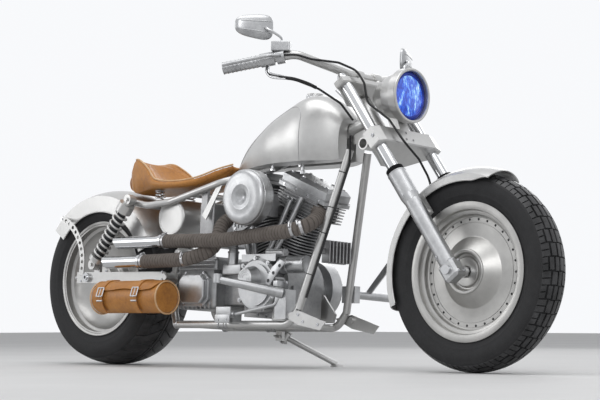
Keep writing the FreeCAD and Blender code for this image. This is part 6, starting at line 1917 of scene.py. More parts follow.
@dataclass
class Exhausts:
    """Two pipes wound with heat wrap, held by band clamps, with polished tips."""

    radius: float = 24.2
    bend: float = 62.0
    band: float = 14.0
    band_depth: float = 2.0
    clamp_gap: float = 0.6
    clamp_wall: float = 2.6
    clamp_half: float = 5.5
    screw_span: Point = (-9.0, 7.0, 12.0)
    screw_radii: Pair = (4.2, 4.8)
    runs: tuple[tuple[Point, ...], ...] = (
        ((1078, -40, 560), (1122, -78, 532), (1156, -169, 488), (1074, -192, 470), (760, -192, 448),
         (457, -192, 452)),
        ((673, -30, 564), (656, -96, 516), (684, -156, 420), (600, -206, 382), (357, -206, 378)),
    )
    marks: tuple[tuple[float, ...], ...] = ((1100, 1128), (585,))
    outer_y: float = -150.0
    close: float = 6.0

    def passing(self, line: Sequence[Vector], mark: float) -> Hit:
        """Return the place and way of a pipe's outer run where it passes a mark.

        Args:
            line: The pipe's line.
            mark: The place along the bike.

        Returns:
            The place and the way.
        """
        outer = [i for i, point in enumerate(line) if point.y < self.outer_y]
        near = min(outer, key=lambda i: abs(line[i].x - mark))
        off, last = line[near].x - mark, len(line) - 1
        if near == last or abs(off) <= self.close:
            return line[near], line[min(near + 1, last)] - line[near - 1]
        ahead = line[near + 1] if off * (line[near + 1].x - mark) < 0 else line[near - 1]
        share = -off / ((ahead.x - line[near].x) or 1)
        return line[near].lerp(ahead, max(0.0, min(1.0, share))), ahead - line[near]

    def clamp(self, place: Vector, along: Vector, screw: Vector) -> list[Mesh]:
        """Return a band clamp round a pipe.

        Args:
            place: Its middle.
            along: The pipe's way.
            screw: The way its screw stands off.

        Returns:
            The meshes.
        """
        inner = self.radius + self.clamp_gap
        outer = inner + self.clamp_wall
        edge = self.clamp_half
        half = [(inner, -edge), (outer - 0.4, -edge), (outer, 0.5 - edge), (outer, -3.6), (outer - 0.8, -3.4)]
        ring = Shapes.lathe(half + [(r, -d) for r, d in reversed(half)], 48, closed=True)
        ring.transform(Shapes.aim(place, along))
        side = along.cross(screw).normalized()
        seat = place + screw.normalized() * (outer + 2.5)
        tail, neck, head = (seat + side * off for off in self.screw_span)
        barrel = Shapes.rod(tail, neck, self.screw_radii[0], segments=14)
        return [ring, barrel, Shapes.rod(neck, head, self.screw_radii[1], segments=6)]

    def build(self, shop: Workshop) -> None:
        """Make the wraps and their clamps.

        Args:
            shop: The workshop.
        """
        wraps, metal = [], []
        for run, marks in zip(self.runs, self.marks):
            line = rounded([Vector(point) for point in run], self.bend)
            wraps.append(shop.tube(line, self.radius, "heat_wrap", 36, 2.5, self.band, self.band_depth))
            metal += self.clamp(line[-1] + AHEAD * 7, -AHEAD, Vector((0, -0.4, 1)))
            for mark in marks:
                metal += self.clamp(*self.passing(line, mark), Vector((0.1, -1, 0.5)))
        shop.piece("exhaust_wrap_windings", wraps, "heat_wrap", replaces=("exhaust_wraps",),
                   sharp_deg=60)
        shop.piece("exhaust_clamps", metal, "brushed_steel")


@dataclass
class Shocks:
    """Twin shocks: a light coil round a dark damper."""

    top: Point = (240.0, 180.0, 617.0)
    foot: Point = (52.0, 180.0, 374.0)
    spring_radius: float = 24.6
    wire: float = 4.3
    turns: float = 9.0
    start: float = 56.0
    tail: float = 40.0

    def build(self, shop: Workshop) -> None:
        """Make the springs and dampers of both sides.

        Args:
            shop: The workshop.
        """
        coils, cores = [], []
        for side in (-1, 1):
            mirror = Vector((1, side, 1))
            top, foot = Vector(self.top) * mirror, Vector(self.foot) * mirror
            axis = top - foot
            height = axis.length - self.start - self.tail
            coil = shop.coil(self.turns, self.spring_radius, height - 2 * self.wire, self.wire,
                             "satin_silver")
            base = foot + axis.normalized() * (self.tail + self.wire)
            coils.append(Shapes.moved(coil, Shapes.aim(base, axis)))
            core = Shapes.lathe([(0, -5), (17, -5), (17.5, 0), (17.5, height * 0.5), (17, height + 5),
                                 (0, height + 5)], 32)
            cores.append(Shapes.moved(core, Shapes.aim(base, axis)))
        shop.piece("shock_coils", coils, "satin_silver", replaces=("shock_springs",),
                   sharp_deg=60)
        shop.piece("shock_dampers", cores, "black_case")


@dataclass
class Drape:
    """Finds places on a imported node's skin, in the upright bike's millimetres."""

    node: str

    def onto(self, start: Vector, way: Vector) -> Optional[Hit]:
        """Return the place and normal that a ray meets, or None.

        Args:
            start: Where the ray starts.
            way: Where it goes.

        Returns:
            The place and the normal, or None where the ray meets nothing.
        """
        obj = frame["nodes"][self.node]
        place = STANCE.place()
        begin = place @ start
        towards = (place.to_3x3() @ way).normalized()
        hit, spot, normal, _ = obj.ray_cast(begin, towards)
        if not hit:
            return None
        back = place.inverted()
        facing = (back.to_3x3() @ normal).normalized()
        return back @ spot, facing if facing.dot(way) < 0 else -facing


@dataclass
class TankDress:
    """The tank's raised panel line, darkened as painted shade of its groove, its cap and the fittings under
    it.
    """

    line: tuple[Pair, ...] = (
        (1050, 728), (1052, 790), (1054, 850), (1053, 888), (1040, 912), (1016, 922), (983, 921), (930, 905),
        (870, 876), (810, 838), (760, 800), (715, 764), (690, 744))
    line_radius: float = 1.3
    cap: Point = (1010.0, 0.0, 967.0)
    cap_outline: tuple[Pair, ...] = (
        (0, -6), (33, -6), (33.5, 2), (32.5, 4), (30, 5), (29, 9), (27, 12), (22, 13.5), (21, 12.5),
        (8, 12.5), (6, 14), (0, 14.5))
    knurl: tuple[Point, Point] = ((25.0, -2.0, 3.0), (32.2, 2.0, 10.5))
    knurls: int = 24
    breather: tuple[Point, ...] = ((1150, 0, 958), (1122, -14, 986), (1170, 10, 984))
    fittings: tuple[tuple[object, ...], ...] = (
        ((1010, -52, 732), (1010, -52, 700), 7, None, 18),
        ((1010, -52, 716), (1010, -70, 716), 4.5, None, 14),
        ((1010, -52, 700), (1010, -52, 688), 9.5, None, 18),
        ((880, -70, 732), (880, -70, 712), 6, None, 18),
        ((880, -70, 712), (880, -70, 704), 9, None, 6))

    def build(self, shop: Workshop) -> None:
        """Make the tank's details.

        Args:
            shop: The workshop.
        """
        skin = Drape("tank")
        seams = []
        for side in (-1, 1):
            flat = Shapes.curve_points([Vector((x, 0, z)) for x, z in self.line], 6.0)
            met = [skin.onto(p + LEFT * (side * RAY_REACH), LEFT * -side) for p in flat]
            # Painted shade: the panel line is a thin bead in a darker finish, standing for the shade in the
            # tank's groove.
            seams.append(shop.tube([hit[0] for hit in met if hit], self.line_radius, "dull_cast",
                                   8, 5.0))
        shop.piece("tank_panel_lines", seams, "dull_cast")
        grip = Shapes.box(*self.knurl, 1.2)
        cap = Shapes.join([Shapes.lathe(self.cap_outline, 64), shop.ring(grip, self.knurls, "chrome")])
        shop.piece("tank_cap", cap, "chrome", place=Matrix.Translation(self.cap))
        foot, *tips = self.breather
        shop.piece("tank_breather", Shapes.rods(*((foot, tip, 5.5, 4.0) for tip in tips)), "chrome")
        shop.piece("tank_fittings", Shapes.rods(*self.fittings), "chrome")


def on_wheel(centre_x: float, radius: float, turn: float, side: float) -> Vector:
    """Return a place round a wheel's axle."""
    return Vector((centre_x + radius * math.cos(turn), side, STANCE.wheel_radius + radius * math.sin(turn)))


@dataclass
class FenderBead:
    """The rolled lower edges of one fender."""

    name: str
    body: Body
    centre_x: float
    side: float
    edge_radius: float
    start_deg: float
    end_deg: float
    bead: float = 3.0

    def build(self, shop: Workshop) -> None:
        """Make the beads on both sides.

        Args:
            shop: The workshop.
        """
        parts = []
        count = int((self.end_deg - self.start_deg) / 2)
        for side in (-1, 1):
            line = []
            for i in range(count + 1):
                turn = math.radians(self.start_deg + (self.end_deg - self.start_deg) * i / count)
                line.append(on_wheel(self.centre_x, self.edge_radius, turn, side * self.side))
            parts.append(shop.tube(line, self.bead, "satin_silver", 12, 6.0))
        shop.piece(self.name, parts, "satin_silver", self.body)


@dataclass
class FenderLip:
    """The flare where the front fender's skirt runs up to its front lip."""

    side: float = 83.0
    start_deg: float = 72.6
    end_deg: float = 85.5
    top_radius: float = 320.0
    low_radius: float = 298.4
    front_radius: float = 318.4
    half_wall: float = 1.7
    bead: float = 2.8
    steps: int = 30

    def edge(self, share: float) -> float:
        """Return the lower edge's radius at a share of the way back."""
        smooth = share * share * (3 - 2 * share)
        return self.front_radius + (self.low_radius - self.front_radius) * smooth

    def build(self, shop: Workshop) -> None:
        """Make the lip on both sides.

        Args:
            shop: The workshop.
        """
        parts = []
        for side in (-1, 1):
            rings, line = [], []
            for i in range(self.steps + 1):
                share = i / self.steps
                turn = math.radians(self.start_deg + (self.end_deg - self.start_deg) * share)
                low = self.edge(share)
                ring = [on_wheel(STANCE.wheelbase, radius, turn, side * (self.side + out * self.half_wall))
                        for radius, out in ((self.top_radius, -1), (low, -1), (low, 1), (self.top_radius, 1))]
                rings.append(ring)
                line.append((ring[1] + ring[2]) / 2)
            parts += [Shapes.loft(rings), shop.tube(line, self.bead, "satin_silver", 12, 3.0)]
        shop.piece("front_fender_lips", parts, "satin_silver", Body.FRONT_END)


def build_soft_and_sheet(shop: Workshop) -> None:
    """Make the seat, tool roll, exhausts, shocks, tank details and fender edges.

    Args:
        shop: The workshop.
    """
    Seat().build(shop)
    ToolBag().build(shop)
    Exhausts().build(shop)
    Shocks().build(shop)
    TankDress().build(shop)
    FenderBead("front_fender_edges", Body.FRONT_END, STANCE.wheelbase, 83.0, 298.4, 85.3, 200).build(shop)
    FenderLip().build(shop)
    FenderBead("rear_fender_edges", Body.CHASSIS, 0.0, 122.4, 258.5, 23, 142).build(shop)
    LOG.info("soft goods, exhausts, shocks, tank and fenders dressed")


# Front end, engine and frame details

def screwed(shop: Workshop, name: str, node: str, starts: Sequence[Vector], way: Vector, radius: float,
            body: Body = Body.CHASSIS, finish: str = "chrome") -> None:
    """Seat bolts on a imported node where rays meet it.

    Args:
        shop: The workshop.
        name: The piece's name.
        node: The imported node.
        starts: Where the rays start.
        way: Where they go.
        radius: The bolt head's radius.
        body: The body that the bolts ride on.
        finish: The finish's name.
    """
    skin = Drape(node)
    places = [hit for hit in (skin.onto(start, way) for start in starts) if hit]
    if places:
        shop.piece(name, shop.bolts(places, radius, finish), finish, body)
    LOG.info("%s: %d of %d seated", name, len(places), len(starts))


def circle(centre: Point, radius: float, count: int, start: float) -> list[Vector]:
    """Return places evenly round an upright circle that faces sideways."""
    turns = [start + TAU * i / count for i in range(count)]
    return [Vector(centre) + AHEAD * (radius * math.cos(a)) + UP * (radius * math.sin(a)) for a in turns]


@dataclass
class Headlamp:
    """The headlamp's lens, with the bright reflector behind it painted into the lens as reflection and glow,
    its dark rim and its rolled ring.
    """

    centre: Point = (1446.0, 0.0, 941.0)
    lens_radius: float = 83.0
    bulge: float = 11.0
    screw: Point = (1440.0, 93.5, 941.0)
    dome_shares: tuple[float, ...] = (0, 0.15, 0.3, 0.45, 0.6, 0.75, 0.88, 0.96)
    rim: tuple[Pair, ...] = ((70, 3.4), (73, 6.4), (79, 6.4), (84, 3.5), (84, -1), (70, -1))
    ring: tuple[Pair, ...] = ((84.8, 14), (86, 18.4), (90, 19.6), (94, 18.4), (95, 14.5), (93.4, 11),
                              (86, 11))

    def build(self, shop: Workshop) -> None:
        """Make the lamp's details.

        Args:
            shop: The workshop.
        """
        place = Shapes.aim(Vector(self.centre), AHEAD)
        reach = self.lens_radius
        dome = [(reach * share, self.bulge * (1 - share * share)) for share in self.dome_shares]
        lens = Shapes.lathe(dome + [(reach, -0.5), (reach, -7), (0, -7)], 96)
        # The lens carries the reflector behind it as painted reflection and glow.
        shop.piece("headlamp_lit_lens", lens, "painted_glow_lens", Body.FRONT_END, place, ("headlamp_lens",), 50)
        for name, outline, finish in (("headlamp_lens_rim", self.rim, "blue_rim"),
                                      ("headlamp_rolled_ring", self.ring, "satin_silver")):
            shop.piece(name, Shapes.lathe(outline, 96, closed=True), finish, Body.FRONT_END, place)
        knob = [(Vector(self.screw), LEFT)]
        shop.piece("headlamp_screw", shop.bolts(knob, 5.0, "chrome", 1.2), "chrome", Body.FRONT_END)


@dataclass
class Mirrors:
    """Two mirrors: smooth tapered shells with two ridges on the back, on bent stems."""

    centre: Point = (1083.0, 400.0, 1155.0)
    half_width: float = 69.0
    half_height: float = 49.0
    yaw_deg: float = 26.0
    roundness: float = 0.6
    root: Point = (1147.3, 326.2, 1104.0)
    boss: tuple[Point, Point] = ((16.0, -38.0, -6.0), (28.0, -38.0, -6.0))
    joint: Point = (24.0, -38.0, -6.0)
    stem_radius: float = 4.6
    ridge_up: float = 0.42
    ridge_steps: int = 24
    edges: tuple[Pair, ...] = ((0.955, 0.4), (0.99, 1.2), (1.0, 3.0), (1.0, 6.0))
    shares: tuple[float, ...] = (0.985, 0.96, 0.92, 0.85, 0.75, 0.6, 0.42, 0.22, 0.05)

    def eased(self, value: float) -> float:
        """Return a sine or cosine drawn towards a rounded rectangle."""
        return math.copysign(abs(value) ** self.roundness, value)

    def taper(self, across: float) -> float:
        """Return the height share at a place across, from -1 inboard to 1 outboard."""
        return 1.0 - 0.17 * (across + 1)

    def depth(self, share: float) -> float:
        """Return the shell's depth at a share of the way out to its edge."""
        return 6.0 + 15.5 * math.sqrt(max(0.0, 1 - share ** 3.2))

    def point(self, turn: float, share: float, deep: float) -> Vector:
        """Return a place on the shell in its own coordinates."""
        across, up = self.eased(math.cos(turn)) * share, self.eased(math.sin(turn)) * share
        return Vector((deep, across * self.half_width, up * self.half_height * self.taper(across)))

    def ridge(self, up: float) -> list[Vector]:
        """Return the line of a ridge over the shell's back.

        Args:
            up: Its share of the half height.

        Returns:
            The points, in order.
        """
        power = 2 / self.roundness
        line = []
        for i in range(self.ridge_steps + 1):
            across = -0.84 + 1.6 * i / self.ridge_steps
            share = (abs(across) ** power + abs(up) ** power) ** (1 / power)
            line.append(Vector((self.depth(share) - 0.3, across * self.half_width,
                                up * self.half_height * self.taper(across))))
        return line

    def build(self, shop: Workshop) -> None:
        """Make both mirrors.

        Args:
            shop: The workshop.
        """
        turns = [TAU * i / 72 for i in range(72)]
        rows = list(self.edges) + [(share, self.depth(share)) for share in self.shares]
        turn = Matrix.Translation(self.centre) @ Matrix.Rotation(math.radians(self.yaw_deg), 4, "Z")
        root, joint = Vector(self.root), turn @ Vector(self.joint)
        stem = Shapes.curve_points([root, root + Vector((0, 2, 16)),
                                    root.lerp(joint, 0.6) + Vector((4, 0, 6)),
                                    joint + Vector((6, -6, -5)), joint], 4.0)
        shells, glasses, stems = [], [], []
        for side in (1, -1):
            flip = Matrix.Scale(side, 4, LEFT)
            shell = Shapes.loft([[self.point(a, share, deep) for a in turns] for share, deep in rows])
            ridges = [shop.tube(self.ridge(up), 1.9, "cast_silver", 10, 4.0)
                      for up in (-self.ridge_up, self.ridge_up)]
            boss = Shapes.rods((*self.boss, 7.5, 6.0))
            shells.append(Shapes.moved(Shapes.moved(Shapes.join([shell, *ridges, boss]), turn), flip))
            glass = Shapes.loft([[self.point(a, 0.93, deep) for a in turns] for deep in (-0.3, 1.5)])
            glasses.append(Shapes.moved(Shapes.moved(glass, turn), flip))
            stems.append(Shapes.moved(shop.tube(stem, self.stem_radius, "chrome", 14, 4.0), flip))
        shop.piece("mirror_shells", shells, "cast_silver", Body.FRONT_END, None,
                   ("mirrors",), 40)
        shop.piece("mirror_glasses", glasses, "mirror_glass", Body.FRONT_END)
        shop.piece("mirror_stems", stems, "chrome", Body.FRONT_END)


@dataclass
class ForkDress:
    """Screws, seal ribs, pinch bolts and cable ends of the front end."""

    half: float = 133.0
    ribs: tuple[float, ...] = (413.5, 418.0, 422.5, 427.0)
    lips: tuple[Pair, ...] = ((408.0, 33.0), (316.0, 30.5))
    reservoir: Point = (1147.3, 326.2, 1300.0)
    lid_screws: tuple[Pair, ...] = ((-8, -22), (10, -20), (-10, 18), (8, 22))
    sleeve: tuple[Point, ...] = ((1148, -303, 986), (1168, -278, 983), (1181, -230, 975), (1188, -190, 965))

    def leg_rings(self, shop: Workshop, fork: Matrix) -> None:
        """Make the ribs of the seals and the lips of the legs.

        Args:
            shop: The workshop.
            fork: The matrix from fork coordinates to the bike.
        """
        ribs, lips = [], []
        for side in (-1, 1):
            place = Matrix.Translation((0, side * self.half, 0))
            for s in self.ribs:
                rib = [(27, s - 1), (30.6, s - 0.8), (31.2, s), (30.6, s + 0.8), (27, s + 1)]
                ribs.append(Shapes.moved(Shapes.lathe(rib, 40, closed=True), place))
            for s, r in self.lips:
                lip = [(27, s - 2), (r - 0.6, s - 2), (r, s - 1.2), (r, s + 1.2), (r - 0.6, s + 2),
                       (27, s + 2)]
                lips.append(Shapes.moved(Shapes.lathe(lip, 48, closed=True), place))
        shop.piece("seal_ribs", ribs, "hose_black", Body.FRONT_END, fork)
        shop.piece("leg_lips", lips, "cast_silver", Body.FRONT_END, fork)

    def screws(self, shop: Workshop, fork: Matrix) -> None:
        """Seat the screws of the legs, clamps and reservoirs.

        Args:
            shop: The workshop.
            fork: The matrix from fork coordinates to the bike.
        """
        turn = fork.to_3x3()
        ahead, up = turn @ AHEAD, turn @ UP
        pinch = [(200, side * (self.half + off), s) for side in (-1, 1) for off in (-14, 14)
                 for s in (-24, 20)]
        faces = [(200, y, s) for y, s in ((-18, 552), (18, 552), (0, 582))]
        tops = [(a, y, 1000) for y in (-78, 78) for a in (-16, 16)]
        drains = [[(-12, side * RAY_REACH, 60)] for side in (-1, 1)]
        clamps = [[(a, side * RAY_REACH, 565) for a in (-60, 12)] for side in (-1, 1)]
        for name, node, starts, way, radius, finish in (
            ("axle_pinch_bolts", "fork_legs", pinch, -ahead, 4.5, "chrome"),
            ("drain_screw_right", "fork_legs", drains[0], LEFT, 5.0, "chrome"),
            ("drain_screw_left", "fork_legs", drains[1], -LEFT, 5.0, "chrome"),
            ("lower_clamp_screws", "lower_clamp", faces, -ahead, 3.6, "dull_cast"),
            ("lower_clamp_pinch_right", "lower_clamp", clamps[0], LEFT, 6.0, "chrome"),
            ("lower_clamp_pinch_left", "lower_clamp", clamps[1], -LEFT, 6.0, "chrome"),
            ("riser_screws", "upper_clamp", tops, -up, 5.0, "chrome"),
        ):
            screwed(shop, name, node, [fork @ Vector(start) for start in starts], way, radius,
                    Body.FRONT_END, finish)
        x, y, z = self.reservoir
        lids = [Vector((x + dx, side * (y + dy), z)) for side in (-1, 1) for dx, dy in self.lid_screws]
        screwed(shop, "reservoir_screws", "hand_controls", lids, -UP, 2.6, Body.FRONT_END)

    def build(self, shop: Workshop) -> None:
        """Make the details.

        Args:
            shop: The workshop.
        """
        fork = STANCE.fork()
        self.leg_rings(shop, fork)
        self.screws(shop, fork)
        line = Shapes.curve_points([Vector(point) for point in self.sleeve], 4.0)
        sleeve = shop.tube(line, 6.2, "hose_black", 14, 4.0)
        shop.piece("throttle_sleeve", sleeve, "hose_black", Body.FRONT_END)
        elbows = []
        for shift in (-5.5, 5.5):
            bend = [Vector((1107 + shift, -349, 1020)), Vector((1109 + shift, -351, 1002)),
                    Vector((1122 + shift * 0.6, -338, 990 + shift)), Vector((1152, -300, 986 + shift * 0.6))]
            elbows.append(shop.tube(Shapes.curve_points(bend, 3.0), 3.4, "chrome", 12, 3.0))
        shop.piece("throttle_elbows", elbows, "chrome", Body.FRONT_END)


@dataclass
class EngineDress:
    """The engine's covers, bolts and fittings on its right side, and the bolts of the left covers."""

    crank: Point = (885.0, 0.0, 290.0)
    lean: Pair = (0.3827, 0.9239)
    cover_middle: Pair = (549.0, 280.0)
    lug_y: float = -143.5
    filter_bands: Point = (980.0, 1010.0, 1086.0)
    bracket_y: Pair = (-153.0, -147.0)
    bracket: tuple[Pair, ...] = ((1036, 366), (1012, 378), (975, 352), (938, 306), (940, 268), (958, 262),
                                 (972, 296), (1004, 334))
    bracket_holes: tuple[Pair, ...] = ((1010, 355), (981, 330), (957, 303))
    nose_rings: Point = (12.0, 20.0, 28.0)
    cleaner: tuple[Pair, ...] = (
        (0, 0), (88, 0), (91, 1), (92, 4), (92, 9), (98, 11), (100, 14), (100, 50), (99.6, 52),
        (98.6, 53), (98.6, 58), (97.6, 63), (95, 67.6), (91, 71.4), (86, 74), (79, 75.6), (70, 76),
        (50, 76), (47, 76.8), (43, 76.8), (40, 75.6), (32, 75), (25, 73), (17, 68), (10, 64),
        (5, 62.6), (0, 62.2))
    cleaner_plate: tuple[Pair, ...] = (
        (806, 496), (810, 484), (838, 472), (850, 474), (905, 503), (962, 546), (940, 600), (860, 600),
        (838, 540))
    filler: Point = (735.0, -108.0, 408.0)
    filler_outline: tuple[Pair, ...] = (
        (0, 0), (21, 0), (21, 6), (17, 8), (17, 16), (21, 18), (21, 22), (17, 24), (17, 34), (20, 36),
        (24, 38), (24, 50), (21, 53), (9, 54), (0, 54))

    def cylinder(self, way: int) -> Matrix:
        """Return the matrix from a cylinder's own upright coordinates to the bike."""
        turn = Matrix.Rotation(way * math.atan2(*self.lean), 4, "Y")
        return Matrix.Translation(self.crank) @ turn

    def heads(self, shop: Workshop) -> None:
        """Make the rocker boxes' split lines and bolts, and the spark plugs.

        Args:
            shop: The workshop.
        """
        lines, plugs = [], []
        for way, name in ((1, "front"), (-1, "rear")):
            place = self.cylinder(way)
            line = Shapes.box((-119.4, -66.6, 366), (119.4, 66.6, 368.4), 0.5)
            lines.append(Shapes.moved(line, place))
            starts = [place @ Vector((u, v, 700)) for u in (-88, -30, 30, 88) for v in (-46, 46)]
            screwed(shop, name + "_rocker_bolts", "rocker_boxes", starts, place.to_3x3() @ -UP, 6.0)
            sides = [place @ Vector((u, -RAY_REACH, 358)) for u in (-92, -30, 32, 92)]
            screwed(shop, name + "_rocker_side_bolts", "rocker_boxes", sides, LEFT, 4.5)
            plug = Shapes.rods(((-22, -74, 318), (-22, -84, 322), 9, None, 6),
                               ((-22, -84, 322), (-22, -104, 330), 5.5, 4.5))
            plugs.append(Shapes.moved(plug, place))
        shop.piece("rocker_split_lines", lines, "dull_cast")
        shop.piece("spark_plugs", plugs, "brushed_steel")

    def air_cleaner(self, shop: Workshop) -> None:
        """Make the round air cleaner: a spun cover with a dimple on a ribbed backing plate.

        Args:
            shop: The workshop.
        """
        cover = Shapes.lathe(self.cleaner, 128)
        cover.transform(Shapes.aim(Vector((900, -174, 593)), -LEFT))
        plate = Shapes.plate(self.cleaner_plate, -192, -175, 2.5)
        ribs = []
        for i in range(6):
            x, z = 818 + i * 17, 500 + i * 2 - (0 if i else 10)
            ribs.append(Shapes.box((x, -196, z - 14), (x + 4, -190, z + 26), 1.2))
        shop.piece("air_cleaner_spun_cover", [cover, plate, *ribs], "cast_silver",
                   replaces=("air_cleaner",), sharp_deg=30)
        spots = [(Vector((822, -192.5, 487)), -LEFT)]
        shop.piece("air_cleaner_bolt", shop.bolts(spots, 5.0), "chrome")

    def cam_cover(self, shop: Workshop) -> None:
        """Make the cam cover's lugs and bolts, the nose rings and the drilled plate, its holes drawn as dark
        discs of painted shade.

        Args:
            shop: The workshop.
        """
        lugs = [p + LEFT * self.lug_y for p in circle(self.crank, 95, 9, 0.25)]
        bosses = [Shapes.rod(p - LEFT * (self.lug_y + 100), p, 9.0) for p in lugs]
        shop.piece("cam_cover_lugs", bosses, "cast_silver")
        shop.piece("cam_cover_bolts", shop.bolts([(p, -LEFT) for p in lugs], 4.6), "chrome")
        nose = Shapes.aim(Vector((875, -187.8, 312)), -LEFT)
        rings = [Shapes.lathe([(r - 2.2, 0), (r - 0.8, 1.6), (r + 0.8, 1.6), (r + 2.2, 0), (r, -1)], 64,
                              closed=True) for r in self.nose_rings]
        shop.piece("cam_nose_rings", rings, "cast_silver", place=nose)
        shop.piece("drilled_bracket", Shapes.plate(self.bracket, *self.bracket_y, 2.0), "cast_silver")
        # Painted shade: dark discs stand for the shade seen through the bracket's holes.
        holes = []
        for x, z in self.bracket_holes:
            hole = Shapes.lathe([(0, 0.3), (6.4, 0.3), (6.6, 0), (6.6, -2), (0, -2)], 24)
            holes.append(Shapes.moved(hole, Shapes.aim(Vector((x, self.bracket_y[0] - 0.1, z)), -LEFT)))
        shop.piece("drilled_bracket_holes", holes, "black_case")
        pipe = Shapes.rods(((918, -120, 408), (1000, -120, 404), 12.5),
                           ((1000, -120, 404), (1008, -120, 404), 15.0, None, 6))
        shop.piece("breather_pipe", pipe, "cast_silver")

    def octagon(self, half_x: float, half_z: float, cut: float) -> list[Pair]:
        """Return the outline of an eight-sided cover about the gearbox's middle.

        Args:
            half_x: Half its length.
            half_z: Half its height.
            cut: How much each corner is cut off.

        Returns:
            The points, in order.
        """
        x, z = self.cover_middle
        corners = [(-half_x, -half_z + cut), (-half_x + cut, -half_z), (half_x - cut, -half_z),
                   (half_x, -half_z + cut), (half_x, half_z - cut), (half_x - cut, half_z),
                   (-half_x + cut, half_z), (-half_x, half_z - cut)]
        return [(x + dx, z + dz) for dx, dz in corners]

    def gearbox(self, shop: Workshop) -> None:
        """Make the gearbox's side cover, ribs, filler and bolts.

        Args:
            shop: The workshop.
        """
        flange = Shapes.plate(self.octagon(76, 64, 26), -121, -110, 2.0)
        panel = Shapes.plate(self.octagon(66, 54, 22), -138, -120, 6.0, 4)
        ribs = [Shapes.box((x, -117, 208), (x + 5, -110, 232), 1.5) for x in range(470, 640, 22)]
        ribs += [Shapes.box((456, -116, z), (648, -110, z + 4), 1.5) for z in (352, 366, 380)]
        shop.piece("gearbox_side_cover", [flange, panel, *ribs], "cast_silver")
        bolts = [(Vector((x, -121, z)), -LEFT) for x, z in self.octagon(70.5, 58.5, 24)]
        shop.piece("gearbox_cover_bolts", shop.bolts(bolts, 3.8), "chrome")
        stack = Shapes.lathe(self.filler_outline, 40)
        shop.piece("oil_filler_stack", stack, "dull_cast", place=Matrix.Translation(self.filler))
        base = Vector(self.filler)
        foot = Shapes.rod(base - UP * 48, base + UP * 2, 19)
        arm = Shapes.box((700, -128, 330), (790, -84, 366), 6.0, 3)
        shop.piece("oil_filler_foot", [foot, arm], "cast_silver")

    def covers(self, shop: Workshop) -> None:
        """Make the bolts of the crankcase, primary cover and clutch cover, and the filter's bands.

        Args:
            shop: The workshop.
        """
        x, _, z = self.crank
        rim = circle((x, RAY_REACH, z), 99, 12, 0.2) + circle((566, RAY_REACH, 302), 78, 10, 0.3)
        screwed(shop, "primary_cover_bolts", "primary_cover", rim, -LEFT, 4.4)
        rim = circle((x, -RAY_REACH, z), 108, 16, 0.1)
        screwed(shop, "crankcase_bolts", "crankcase", rim, LEFT, 4.4)
        bands = []
        for x in self.filter_bands:
            band = Shapes.lathe([(28, -2.5), (31, -2.5), (31.6, -1.8), (31.6, 1.8), (31, 2.5), (28, 2.5)],
                                48, closed=True)
            bands.append(Shapes.moved(band, Shapes.aim(Vector((x, -100, 362)), AHEAD)))
        shop.piece("filter_bands", bands, "cast_silver")

    def build(self, shop: Workshop) -> None:
        """Make all the engine's details.

        Args:
            shop: The workshop.
        """
        self.heads(shop)
        self.air_cleaner(shop)
        self.cam_cover(shop)
        self.gearbox(shop)
        self.covers(shop)


